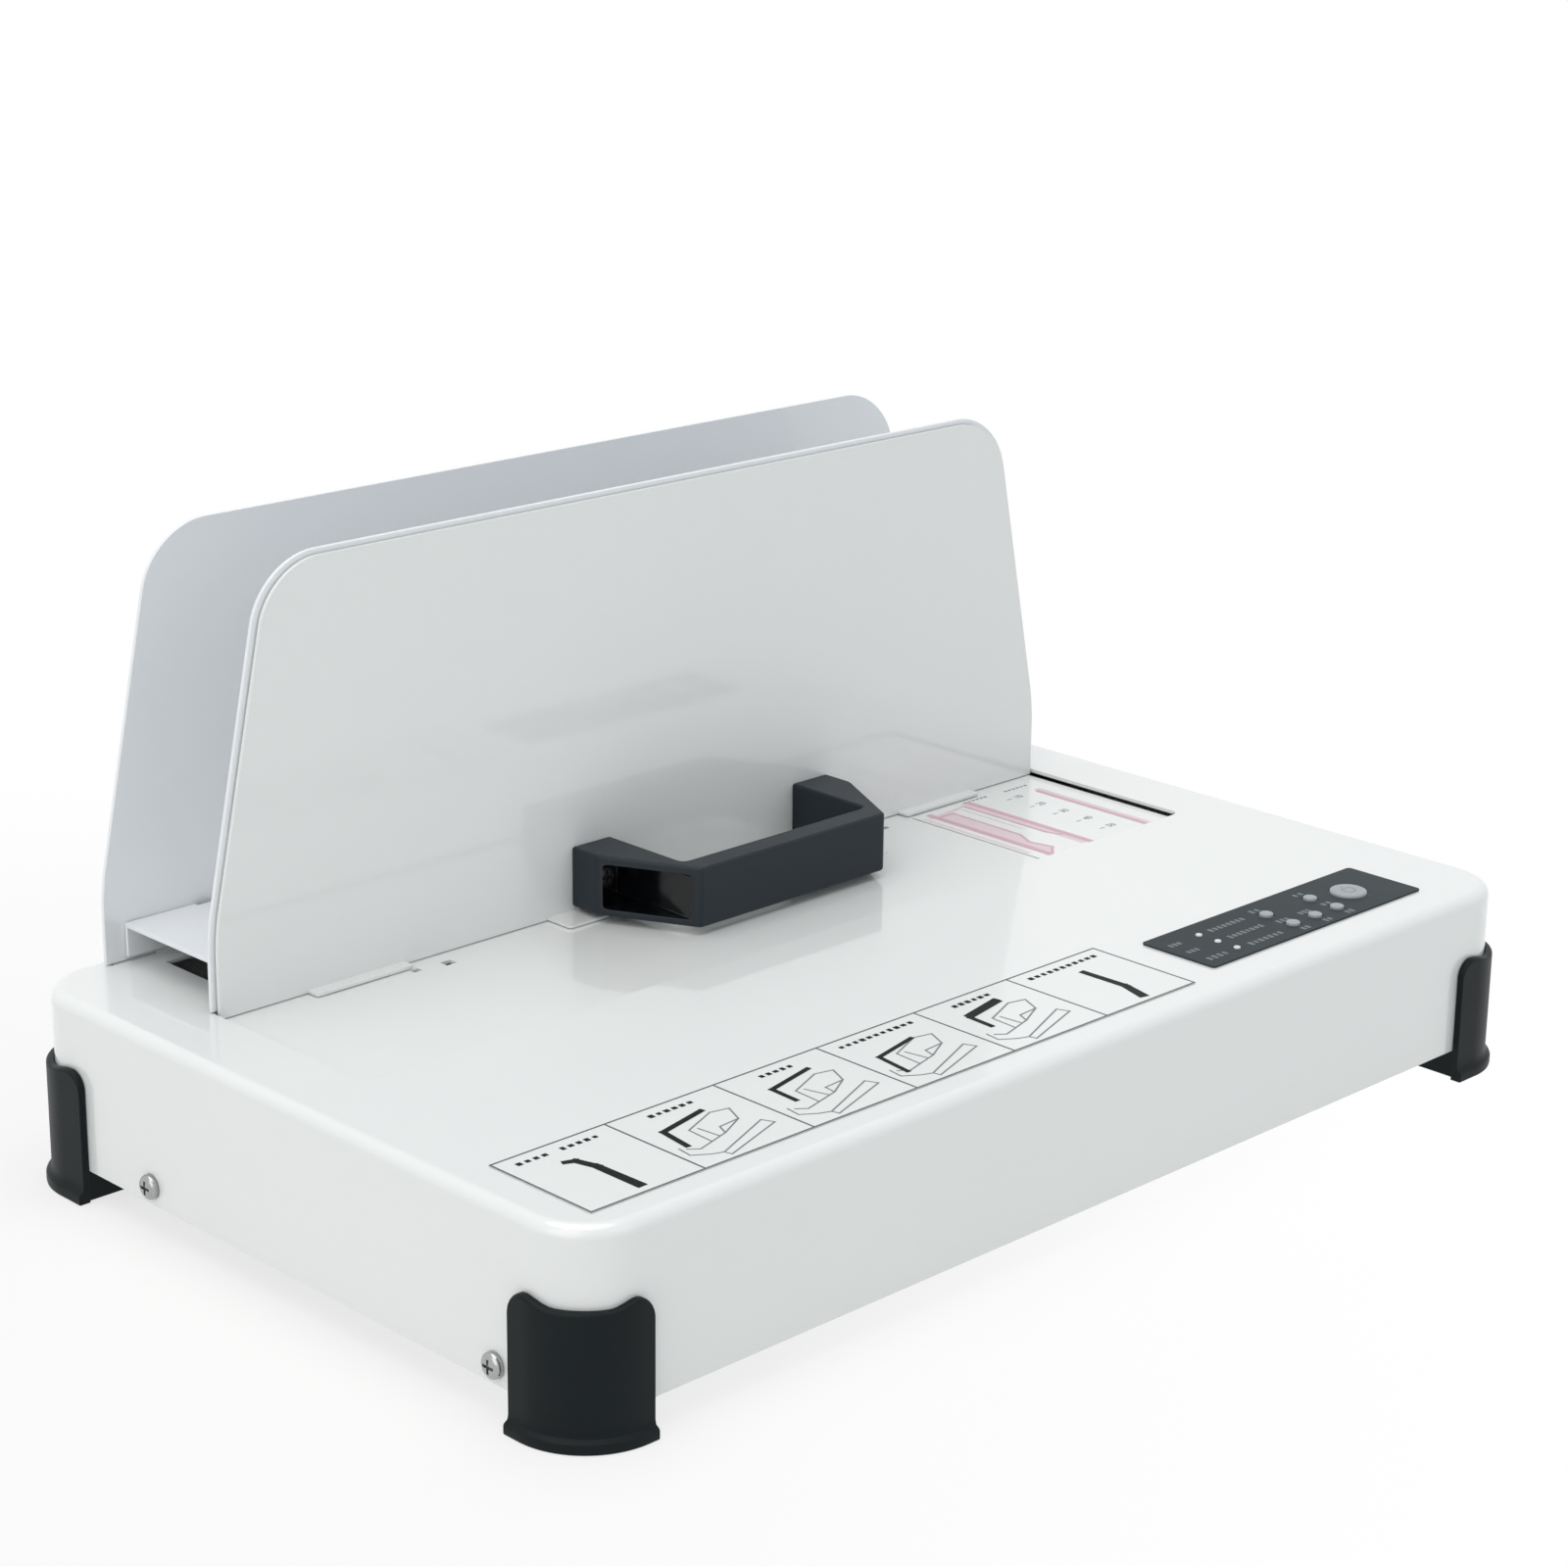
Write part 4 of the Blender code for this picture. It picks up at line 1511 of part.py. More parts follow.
def build_control_board():
    """Build the control board with its soldered switches and lamps, and its buzzer."""
    centre = (PANEL_CENTRE_X, CONTROL_BOARD_CENTRE_Y)
    half = (BOARD_WIDTH / 2, BOARD_DEPTH / 2)
    low = (centre[0] - half[0], centre[1] - half[1], CONTROL_BOARD_UNDER_Z)
    high = (centre[0] + half[0], centre[1] + half[1], CONTROL_BOARD_TOP_Z)
    board = make_object("control_board", boxes((low, high)), BOARD_GREEN)
    holes = bmesh.new()
    for x, y in control_board_places():
        add_cylinder(holes, (x, y, CONTROL_BOARD_UNDER_Z - OVERRUN), (0, 0, 1), PEG[0] + FIT,
                     BOARD_THICKNESS + 2 * OVERRUN, STUD_SIDES)
    cut(board, "control_board_holes", holes)
    switches, bores = bmesh.new(), bmesh.new()
    foot = CONTROL_BOARD_TOP_Z - WELD_OVERLAP
    top = CONTROL_BOARD_TOP_Z + SWITCH_HEIGHT
    half = SWITCH_WIDTH / 2
    for offset in [POWER_KEY_OFFSET] + list(SMALL_KEY_OFFSETS.values()):
        x, y = panel_spot(offset)
        add_box(switches, (x - half, y - half, foot), (x + half, y + half, top))
        add_cylinder(bores, (x, y, top - SWITCH_BORE_DEPTH), (0, 0, 1), KEY_STEM_RADIUS + SWITCH_BORE_GAP,
                     SWITCH_BORE_DEPTH + OVERRUN, STUD_SIDES)
    shoulder = PANEL_TOP_Z - foot
    for offset in LAMP_OFFSETS:
        profile = ((0, 0), (LAMP_RADIUS, 0), (LAMP_RADIUS, shoulder),
                   (LAMP_RADIUS * HEAD_TAPER_SHARE, shoulder + LAMP_RISE), (0, shoulder + LAMP_RISE))
        add_turned(switches, profile, Matrix.Translation((*panel_spot(offset), foot)), SMALL_SIDES)
    join(board, "switches_and_lamps", switches)
    cut(board, "switch_bores", bores)
    buzzer = bmesh.new()
    start = (*panel_spot(BUZZER_OFFSET), CONTROL_BOARD_TOP_Z + FIT)
    add_cylinder(buzzer, start, (0, 0, 1), BUZZER_RADIUS, BUZZER_HEIGHT)
    make_object("buzzer", buzzer, BLACK_PLASTIC)


def build_power_board():
    """Build the power board, the transformer and the relay."""
    x, y = POWER_BOARD_CENTRE_X, POWER_BOARD_CENTRE_Y
    half = (POWER_BOARD_WIDTH / 2, POWER_BOARD_DEPTH / 2)
    low = (x - half[0], y - half[1], POWER_BOARD_UNDER_Z)
    board = make_object("power_board", boxes((low, (x + half[0], y + half[1], POWER_BOARD_TOP_Z))), BOARD_GREEN)
    holes = bmesh.new()
    for post_x, post_y in power_board_places():
        add_cylinder(holes, (post_x, post_y, POWER_BOARD_UNDER_Z - OVERRUN), (0, 0, 1), PEG[0] + FIT,
                     BOARD_THICKNESS + 2 * OVERRUN, STUD_SIDES)
    cut(board, "power_board_holes", holes)
    foot = POWER_BOARD_TOP_Z + FIT
    centre = (x + TRANSFORMER_OFFSET[0], y + TRANSFORMER_OFFSET[1])
    core = block_corners(centre, foot, TRANSFORMER_SIZE)
    transformer = make_object("transformer", boxes(core), COPPER_COIL)
    width, depth, height = TRANSFORMER_SIZE
    coil_size = (width - 2 * TRANSFORMER_COIL_INSET, depth + 2 * TRANSFORMER_COIL_SIDE,
                 height - 2 * TRANSFORMER_COIL_SIDE)
    join(transformer, "transformer_coil", boxes(block_corners(centre, foot + TRANSFORMER_COIL_SIDE, coil_size)))
    centre = (x + RELAY_OFFSET[0], y + RELAY_OFFSET[1])
    make_object("relay", boxes(block_corners(centre, foot, RELAY_SIZE)), RELAY_BLUE)


def block_corners(centre, foot, size):
    """Return the corners of a block that stands at a height, about a centre."""
    low = (centre[0] - size[0] / 2, centre[1] - size[1] / 2, foot)
    return low, (centre[0] + size[0] / 2, centre[1] + size[1] / 2, foot + size[2])


def build_labels(carrier):
    """Build the instruction label on the deck and the ruler on the slide deck."""
    left = LABEL_LEFT_MARGIN - HALF_WIDTH
    front = LABEL_FRONT_MARGIN - HALF_DEPTH
    low = DECK_Z + FILM_GAP
    corners = ((left, front, low), (left + LABEL_WIDTH, front + LABEL_DEPTH, low + LABEL_THICKNESS))
    make_object("instruction_label", boxes(corners), LABEL_FILM)
    right = SLIDE_HALF_WIDTH - RULER_RIGHT_MARGIN
    low = SLIDE_TOP_Z + FILM_GAP
    front, rear = WINDOW_FRONT_Y - RULER_FRONT_GAP, CLAMP_FRONT_Y - RULER_REAR_GAP
    corners = ((right - RULER_WIDTH, front, low), (right, rear, low + LABEL_THICKNESS))
    make_object("ruler_label", boxes(corners), LABEL_FILM, carrier)


def build_inlet():
    """Build the mains inlet with its socket and three pins."""
    centre = (INLET_CENTRE_X, REAR_PARTS_Z)
    outer_y = HALF_DEPTH + FIT
    face_y = outer_y + INLET_FLANGE_THICKNESS
    half = (INLET_FLANGE_WIDTH / 2, INLET_FLANGE_HEIGHT / 2)
    outline = rounded_rectangle(*half, INLET_FLANGE_CORNER_RADIUS, EDGE_STEPS, centre)
    inlet = make_object("power_inlet", prism(outline, outer_y, face_y, "XZ"), BLACK_PLASTIC)
    outline = rounded_rectangle(INLET_WIDTH / 2, INLET_HEIGHT / 2, INLET_CORNER_RADIUS, EDGE_STEPS, centre)
    body = prism(outline, HALF_DEPTH - INLET_DEPTH, outer_y + INLET_FLANGE_THICKNESS / 2, "XZ")
    join(inlet, "inlet_body", body)
    outline = rounded_rectangle(SOCKET_WIDTH / 2, SOCKET_HEIGHT / 2, SOCKET_CORNER_RADIUS, EDGE_STEPS, centre)
    floor_y = face_y - SOCKET_DEPTH
    cut(inlet, "inlet_socket", prism(outline, floor_y, face_y + OVERRUN, "XZ"))
    pins = bmesh.new()
    for step in (-1, 0, 1):
        x = centre[0] + step * PIN_SPACING
        z = centre[1] + (PIN_DROP if step == 0 else -PIN_DROP)
        low = (x - PIN_THICKNESS / 2, floor_y - WELD_OVERLAP, z - PIN_WIDTH / 2)
        add_box(pins, low, (x + PIN_THICKNESS / 2, floor_y + PIN_LENGTH, z + PIN_WIDTH / 2))
    join(inlet, "inlet_pins", pins)


def build_rocker_switch():
    """Build the mains switch: its body with an open well, and the rocker on its axle."""
    x, z = ROCKER_CENTRE_X, REAR_PARTS_Z
    bezel_low, bezel_high = HALF_DEPTH + FIT, HALF_DEPTH + FIT + BEZEL_THICKNESS
    half = (BEZEL_WIDTH / 2, BEZEL_HEIGHT / 2)
    low = (x - half[0], bezel_low, z - half[1])
    switch = make_object("rocker_switch", boxes((low, (x + half[0], bezel_high, z + half[1]))), BLACK_PLASTIC)
    half = (SWITCH_BODY_WIDTH / 2, SWITCH_BODY_HEIGHT / 2)
    low = (x - half[0], HALF_DEPTH - SWITCH_BODY_DEPTH, z - half[1])
    body = boxes((low, (x + half[0], bezel_low + BEZEL_THICKNESS / 2, z + half[1])))
    join(switch, "switch_body", body)
    well = (half[0] - SWITCH_WELL_WALL, half[1] - SWITCH_WELL_WALL)
    low = (x - well[0], bezel_high - SWITCH_WELL_DEPTH, z - well[1])
    cut(switch, "switch_well", boxes((low, (x + well[0], bezel_high + OVERRUN, z + well[1]))))
    axle_y = bezel_high - ROCKER_AXLE_DEPTH
    bores = bmesh.new()
    reach = well[0] + ROCKER_AXLE_LAP + FIT
    add_cylinder(bores, (x - reach, axle_y, z), (1, 0, 0), ROCKER_AXLE_RADIUS + FIT, 2 * reach, SMALL_SIDES)
    cut(switch, "axle_bores", bores)
    carrier = make_carrier("rocker_axis", (x, axle_y, z))
    half_x, half_z = well[0] - ROCKER_SIDE_GAP, well[1] - ROCKER_END_GAP
    dip = math.sin(math.radians(ROCKER_TILT_DEG)) * half_z
    face = bezel_high + ROCKER_RISE - axle_y
    profile = ((-half_z, face + dip / 2), (0, face - dip / 2), (half_z, face + dip / 2),
               (half_z, face - ROCKER_THICKNESS), (-half_z, face - ROCKER_THICKNESS))
    turn = math.radians(ROCKER_TILT_DEG)
    shape = bmesh.new()
    ends = []
    for end_x in (-half_x, half_x):
        ring = []
        for up, out in profile:
            y = out * math.cos(turn) - up * math.sin(turn)
            height = out * math.sin(turn) + up * math.cos(turn)
            ring.append((x + end_x, axle_y + y, z + height))
        ends.append(ring)
    add_loft(shape, ends)
    rocker = make_object("rocker", shape, ROCKER_RED, carrier)
    axle = bmesh.new()
    reach = well[0] + ROCKER_AXLE_LAP
    add_cylinder(axle, (x - reach, axle_y, z), (1, 0, 0), ROCKER_AXLE_RADIUS, 2 * reach, SMALL_SIDES)
    join(rocker, "rocker_axle", axle)


def build_leads():
    """Build the mains leads and the heater leads, which end on the power board."""
    inlet_y = HALF_DEPTH - INLET_DEPTH - FIT
    board_z = POWER_BOARD_TOP_Z + FIT
    board_y = POWER_BOARD_CENTRE_Y + POWER_BOARD_DEPTH / 2 - POST_INSET
    low_z = PAN_TOP_Z + LEAD_RISE
    for name, step in (("live_lead", -1), ("neutral_lead", 1)):
        x = INLET_CENTRE_X + step * PIN_SPACING
        end_x = x + LEAD_SIDE_STEP
        route = (
            (x, inlet_y, REAR_PARTS_Z),
            (x, inlet_y - LEAD_STRAIGHT, REAR_PARTS_Z),
            (x, inlet_y - LEAD_BEND, low_z),
            (x, PLATEN_CENTRE_Y, low_z),
            (end_x, board_y + LEAD_BEND, low_z),
            (end_x, board_y, board_z + LEAD_STRAIGHT),
            (end_x, board_y, board_z),
        )
        make_wire(name, catmull(route, LEAD_STEP), LEAD_RADIUS, LEAD_BROWN)
    strips = zip(("heater_lead_front", "heater_lead_rear"), (-1, 1), heater_lead_places())
    for name, step, (x, y) in strips:
        end_x = POWER_BOARD_CENTRE_X + RELAY_OFFSET[0] + step * 2 * LEAD_RADIUS
        route = (
            (x, y, HEATER_UNDER_Z - FIT),
            (x, y, TRAY_UNDER_Z),
            (x, y, TRAY_UNDER_Z - LEAD_STRAIGHT),
            (x + LEAD_BEND / 2, y - LEAD_BEND / 2, low_z + LEAD_STRAIGHT),
            (end_x, board_y + LEAD_BEND, low_z + LEAD_STRAIGHT),
            (end_x, board_y, board_z + LEAD_STRAIGHT),
            (end_x, board_y, board_z),
        )
        make_wire(name, catmull(route, LEAD_STEP), LEAD_RADIUS, LEAD_RED)
    build_ribbon()


def build_ribbon():
    """Build the flat ribbon that rises from the power board to the control board."""
    start = Vector((POWER_BOARD_CENTRE_X + RIBBON_OFFSET[0], POWER_BOARD_TOP_Z + FIT))
    end = Vector((PANEL_CENTRE_X - BOARD_WIDTH / 2 + RIBBON_BOARD_INSET, CONTROL_BOARD_UNDER_Z - FIT))
    rise = Vector((0, (end.y - start.y) * RIBBON_PULL_SHARE))
    controls = (start, start + rise, end - rise, end)
    centre_y = POWER_BOARD_CENTRE_Y + RIBBON_OFFSET[1]
    rings = []
    for step in range(RIBBON_POINTS + 1):
        t = step / RIBBON_POINTS
        a, b, c, d = controls
        spot = a * (1 - t) ** 3 + b * 3 * t * (1 - t) ** 2 + c * 3 * t * t * (1 - t) + d * t ** 3
        slope = (b - a) * (1 - t) ** 2 + (c - b) * 2 * t * (1 - t) + (d - c) * t * t
        across = Vector((-slope.y, slope.x)).normalized() * RIBBON_THICKNESS / 2
        ring = []
        for side, edge in ((1, -1), (1, 1), (-1, 1), (-1, -1)):
            place = spot + across * side
            ring.append((place.x, centre_y + edge * RIBBON_WIDTH / 2, place.y))
        rings.append(ring)
    shape = bmesh.new()
    add_loft(shape, rings)
    make_object("ribbon_cable", shape, RIBBON_GREY)


def main():
    """Build the whole machine, from the housing inwards."""
    clear_scene()
    clamp = make_carrier("clamp_slide_axis", (0, CLAMP_FRONT_Y, SLIDE_TOP_Z))
    build_housing()
    build_pan()
    build_feet()
    build_side_screws()
    build_brackets()
    build_inner_screws()
    build_rods()
    build_heater()
    build_sensors()
    build_middle_plate()
    build_rear_plate()
    build_rack_floor()
    build_slide_deck(clamp)
    build_clamp_plate(clamp)
    build_slide_blocks(clamp)
    build_handle(clamp)
    build_springs()
    build_panel()
    build_control_board()
    build_power_board()
    build_labels(clamp)
    build_inlet()
    build_rocker_switch()
    build_leads()


main()
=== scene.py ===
"""Desktop thermal binding machine: its finished surfaces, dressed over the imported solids.

Metres, +Z up, +X to the right along the front edge, +Y to the rack at the back. Each
sub-assembly is a class with its sizes as fields. Pieces of the machine's own shape stand in
for the plain solids, and what is only seen through the window is a softened copy of its solid.
"""

import logging
import math
import random
from dataclasses import dataclass, replace
from enum import Enum
from typing import Callable, Iterable, Sequence

import bmesh
import bpy
from mathutils import Matrix, Vector


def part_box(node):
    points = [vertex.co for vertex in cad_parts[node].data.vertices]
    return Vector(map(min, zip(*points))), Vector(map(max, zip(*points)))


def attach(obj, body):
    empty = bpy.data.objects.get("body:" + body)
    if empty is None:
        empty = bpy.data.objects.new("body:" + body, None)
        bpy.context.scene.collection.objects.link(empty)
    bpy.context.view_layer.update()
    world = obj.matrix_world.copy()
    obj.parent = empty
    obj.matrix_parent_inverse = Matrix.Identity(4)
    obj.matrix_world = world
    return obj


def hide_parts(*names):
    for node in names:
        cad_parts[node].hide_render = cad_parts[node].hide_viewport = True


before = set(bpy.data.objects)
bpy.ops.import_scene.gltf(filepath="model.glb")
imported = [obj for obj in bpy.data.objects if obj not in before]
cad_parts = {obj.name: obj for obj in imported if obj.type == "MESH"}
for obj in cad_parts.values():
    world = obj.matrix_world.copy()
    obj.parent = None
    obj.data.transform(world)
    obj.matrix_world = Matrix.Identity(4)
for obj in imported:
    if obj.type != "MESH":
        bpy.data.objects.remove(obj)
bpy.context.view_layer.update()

LOG = logging.getLogger("binding_machine")
UP = Vector((0, 0, 1))
BACK = Vector((0, 1, 0))
KEYS = ("power_key", "temperature_key", "time_key", "minus_key", "plus_key", "start_key")

# What counts as the same place, the same direction and a sharp edge.
NEAR = 1e-6
MERGE = 1e-7
CAD_MERGE = 2e-6
PARALLEL = 0.999
FLAT_ANGLE = math.radians(0.5)
SHARP_ANGLE = math.radians(34)
QUARTER = math.pi / 2

# Segments of a rounded edge and of a small one, and millimetres in a metre.
EDGE_STEPS = 4
SMALL_STEPS = 3
PER_METRE = 1000

# How the finishes vary: layers of noise, the spread of the gloss, and how far a surface
# has to turn within the edge reach before it shows wear and the painted edge highlight.
MICRON = 1e-6
DRIFT_DETAIL = 3.0
GRAIN_DETAIL = 2.0
GLOSS_SPREAD = (0.82, 1.18)
WEAR_AND_SHEEN_TURN = (0.8, 0.985)
WEAR_AND_SHEEN_SAMPLES = 4

# Prints: the thickness of the ink, the lift of a second layer, and the small step from one
# mark to the next. The blocks that stand for words vary within shares of their pitch and height.
INK = 0.00003
INK_LAYER = 0.00004
INK_STEP = 4e-7
WORD_WIDTHS = (0.25, 0.33)
WORD_HEIGHTS = (0.36, 0.5)
NUMERAL_WEIGHT = 0.012
NUMERAL_STEPS = 6

Point = Sequence[float]
Pair = tuple[float, float]
Triple = tuple[float, float, float]
Pick = Callable[[bmesh.types.BMEdge], bool]
Socket = bpy.types.NodeSocket


class Grain(Enum):
    """The fine relief of a finish, as its stretch along X, Y and Z."""

    PEEL = (1.0, 1.0, 0.9)
    MOULDED = (1.0, 1.0, 1.0)
    BRUSHED = (0.03, 1.0, 1.0)
    ROLLED = (0.12, 1.0, 1.0)


class Join(Enum):
    """How one shape is combined with another."""

    CUT = "DIFFERENCE"
    ADD = "UNION"


@dataclass
class Nodes:
    """The shader nodes of a material or of the world."""

    tree: bpy.types.NodeTree

    def wire(self, node: bpy.types.Node, inputs: dict[str | int, object]) -> None:
        """Set or link the sockets of a node.

        Args:
            node: The node.
            inputs: For each socket, its value or the output that feeds it.
        """
        for name, value in inputs.items():
            if isinstance(value, Socket):
                self.tree.links.new(value, node.inputs[name])
            else:
                node.inputs[name].default_value = value

    def add(self, kind: str, inputs: dict[str | int, object], output: str | int = 0,
            **settings: str | int) -> Socket:
        """Add a node.

        Args:
            kind: Its type, without the prefix that all shader nodes have.
            inputs: For each socket, its value or the output that feeds it.
            output: The output that is used.
            settings: The node's own settings.

        Returns:
            That output.
        """
        node = self.tree.nodes.new(f"ShaderNode{kind}")
        for name, value in settings.items():
            setattr(node, name, value)
        self.wire(node, inputs)
        return node.outputs[output]

    def noise(self, place: Socket, pitch: float, detail: float) -> Socket:
        """Add a noise pattern."""
        return self.add("TexNoise", {"Vector": place, "Scale": 1 / pitch, "Detail": detail})

    def spread(self, value: Socket, found: Pair, wanted: Pair, way: str = "LINEAR") -> Socket:
        """Map a value from one range to another."""
        levels = dict(zip(("From Min", "From Max", "To Min", "To Max"), (*found, *wanted)))
        return self.add("MapRange", {"Value": value, **levels}, interpolation_type=way)

    def mix(self, share: Socket, first: object, second: object) -> Socket:
        """Mix two colours."""
        colours = {"Factor": share, "A": first, "B": second}
        return self.add("Mix", colours, "Result", data_type="RGBA")

    def background_ray(self) -> Socket:
        """Add a value that is one where the background is seen, mirrored or seen through.

        Returns:
            The value.
        """
        path = self.tree.nodes.new("ShaderNodeLightPath").outputs
        seen = path["Is Camera Ray"]
        for name in ("Is Glossy Ray", "Is Transmission Ray"):
            seen = self.add("Math", {0: seen, 1: path[name]}, operation="MAXIMUM")
        return seen


@dataclass(frozen=True)
class Finish:
    """A finish: its colour, gloss, fine relief, and worn edges with a painted highlight.

    Lengths are in metres, but the relief is in thousandths of a millimetre.
    """

    name: str
    slot: str
    colour: Triple
    roughness: float
    metallic: float = 0.0
    grain: Grain = Grain.MOULDED
    grain_pitch: float = 0.0006
    relief: float = 10.0
    drift: float = 0.04
    patch: float = 0.03
    coat: float = 0.0
    coat_roughness: float = 0.05
    specular: float = 0.5
    # The edge tint below is wear, and on the dark finishes it is also a painted highlight on
    # rounded edges.
    wear_and_sheen: float = 0.0
    wear_and_sheen_colour: Triple = (0.2, 0.2, 0.2)
    wear_and_sheen_reach: float = 0.0006

    def material(self) -> bpy.types.Material:
        """Make the node material, or find the one already made.

        Returns:
            The material, whose patterns lie on Object coordinates.
        """
        found = bpy.data.materials.get(self.name)
        if found:
            return found
        made = bpy.data.materials.new(self.name)
        made.use_nodes = True
        made.diffuse_color = (*self.colour, 1.0)
        nodes = Nodes(made.node_tree)
        place = nodes.add("TexCoord", {}, "Object")
        drift = nodes.noise(place, self.patch, DRIFT_DETAIL)
        colour = self._tint(nodes, drift)
        gloss = tuple(min(1.0, self.roughness * share) for share in GLOSS_SPREAD)
        stretched = nodes.add("Mapping", {"Vector": place, "Scale": self.grain.value})
        grain = nodes.noise(stretched, self.grain_pitch, GRAIN_DETAIL)
        nodes.wire(made.node_tree.nodes["Principled BSDF"], {
            "Metallic": self.metallic,
            "Coat Weight": self.coat,
            "Coat Roughness": self.coat_roughness,
            "Specular IOR Level": self.specular,
            "Base Color": self._worn_and_sheened(nodes, colour) if self.wear_and_sheen else colour,
            "Roughness": nodes.spread(drift, (0.0, 1.0), gloss),
            "Normal": nodes.add("Bump", {"Distance": self.relief * MICRON, "Height": grain}),
        })
        return made

    def _tint(self, nodes: Nodes, drift: Socket) -> Socket:
        """Let the colour drift a little from place to place."""
        dark, light = ((*(min(1.0, part * share) for part in self.colour), 1.0)
                       for share in (1 - self.drift, 1 + self.drift))
        return nodes.mix(drift, dark, light)

    def _worn_and_sheened(self, nodes: Nodes, colour: Socket) -> Socket:
        """Change the edge colour: rubbed wear, and a painted highlight on rounded edges.

        Args:
            nodes: The material's nodes.
            colour: The colour away from the edges.

        Returns:
            The colour with its worn edges and their painted highlight.
        """
        edge = nodes.add("Bevel", {"Radius": self.wear_and_sheen_reach}, samples=WEAR_AND_SHEEN_SAMPLES)
        face = nodes.add("NewGeometry", {}, "Normal")
        turn = nodes.add("VectorMath", {0: edge, 1: face}, "Value", operation="DOT_PRODUCT")
        return nodes.mix(nodes.spread(turn, WEAR_AND_SHEEN_TURN, (self.wear_and_sheen, 0.0)), colour,
                         (*self.wear_and_sheen_colour, 1.0))


@dataclass(frozen=True)
class Print(Finish):
    """A smooth print, sign or lens, with hardly any relief."""

    relief: float = 1.0
    specular: float = 0.2


@dataclass(frozen=True)
class Metal(Finish):
    """A bare or plated metal."""

    metallic: float = 1.0
    relief: float = 2.0


WHITE_PAINT = Finish(
    "white_gloss_paint", "white_paint", (0.805, 0.812, 0.8), 0.3, grain=Grain.PEEL,
    grain_pitch=0.0024, drift=0.012, patch=0.06, coat=1.0, wear_and_sheen=0.2,
    wear_and_sheen_colour=(0.7, 0.72, 0.71), wear_and_sheen_reach=0.0004)
# The rack's plates wear the same white paint, tinted cooler so that it paints the bluish shade
# between the plates.
SHADED_RACK_PAINT = replace(WHITE_PAINT, name="painted_shade_white_paint", colour=(0.825, 0.838, 0.856), coat=0.6)
# On the dark finishes the lighter edge colour is partly wear, partly a painted highlight on rounded
# edges.
BLACK_RUBBER = Finish(
    "boot_rubber", "black_rubber", (0.0045, 0.008, 0.0095), 0.44, grain_pitch=0.0005, relief=14,
    drift=0.16, patch=0.02, specular=0.15, wear_and_sheen=0.5, wear_and_sheen_colour=(0.02, 0.032, 0.036))
BLACK_PLASTIC = Finish(
    "handle_plastic", "black_plastic", (0.014, 0.02, 0.027), 0.42, grain_pitch=0.0004, relief=8,
    drift=0.1, specular=0.25, wear_and_sheen=0.5, wear_and_sheen_colour=(0.04, 0.05, 0.055), wear_and_sheen_reach=0.0008)
# The pockets' black is glossier than the handle's, and darker, which paints the shade inside them.
POCKET_SHADE_BLACK = Print(
    "pocket_gloss_and_shade_black", "black_plastic", (0.004, 0.005, 0.006), 0.14, drift=0.05, specular=0.4)
PANEL_FILM = Finish(
    "panel_film_grey", "panel_film", (0.036, 0.046, 0.051), 0.4, relief=3, drift=0.06,
    specular=0.05, wear_and_sheen=0.3, wear_and_sheen_colour=(0.07, 0.08, 0.085))
KEY_GREY = Finish(
    "key_cap_grey", "key_plastic", (0.36, 0.39, 0.41), 0.38, relief=3, specular=0.25, wear_and_sheen=0.3,
    wear_and_sheen_colour=(0.5, 0.53, 0.55), wear_and_sheen_reach=0.0003)
MARK_GREY = Print("panel_mark_grey", "panel_film", (0.17, 0.19, 0.197), 0.4, specular=0.1)
SIGN_GREY = Print("power_sign_grey", "key_plastic", (0.24, 0.26, 0.28), 0.4)
LENS_WHITE = Print("lamp_lens_white", "key_plastic", (0.7, 0.74, 0.75), 0.2, specular=0.5)
LABEL_WHITE = Finish(
    "label_film_white", "label_film", (0.8, 0.815, 0.8), 0.22, relief=2, drift=0.008, coat=0.6,
    coat_roughness=0.08)
LABEL_LINE = Print("label_line_grey", "label_film", (0.1, 0.105, 0.105), 0.4)
LABEL_SKETCH = Print("label_sketch_grey", "label_film", (0.2, 0.205, 0.205), 0.4)
LABEL_INK = Print("label_ink_black", "label_film", (0.01, 0.011, 0.011), 0.4, specular=0.05)
RULER_PINK = Print("ruler_pink", "label_film", (0.64, 0.4, 0.455), 0.35)
RULER_BLUSH = Print("ruler_blush", "label_film", (0.73, 0.6, 0.635), 0.35)
RULER_GREY = Print("ruler_grey", "label_film", (0.2, 0.22, 0.23), 0.35)
# The nickel is darkened below bright metal, so that it paints the dark shading seen on the domed
# heads.
SHADED_NICKEL = Metal(
    "screw_nickel_painted_shade", "bright_screw", (0.4, 0.41, 0.41), 0.22, drift=0.08, wear_and_sheen=0.5,
    wear_and_sheen_colour=(0.75, 0.75, 0.74), wear_and_sheen_reach=0.0002)
ZINC = Metal(
    "zinc_sheet", "zinc", (0.55, 0.57, 0.58), 0.34, grain=Grain.ROLLED, grain_pitch=0.0012,
    relief=4, drift=0.08, patch=0.02, wear_and_sheen=0.4, wear_and_sheen_colour=(0.7, 0.71, 0.72), wear_and_sheen_reach=0.0003)
DARK_SCREW = Metal(
    "blackened_screw", "zinc", (0.1, 0.1, 0.1), 0.35, 0.8, wear_and_sheen=0.5, wear_and_sheen_colour=(0.3, 0.3, 0.3),
    wear_and_sheen_reach=0.0002)
GROUND_STEEL = Metal(
    "ground_rod_steel", "ground_steel", (0.6, 0.61, 0.62), 0.2, grain_pitch=0.0003, relief=1)
SPRING_STEEL = Metal("spring_wire", "spring_steel", (0.4, 0.4, 0.42), 0.32)
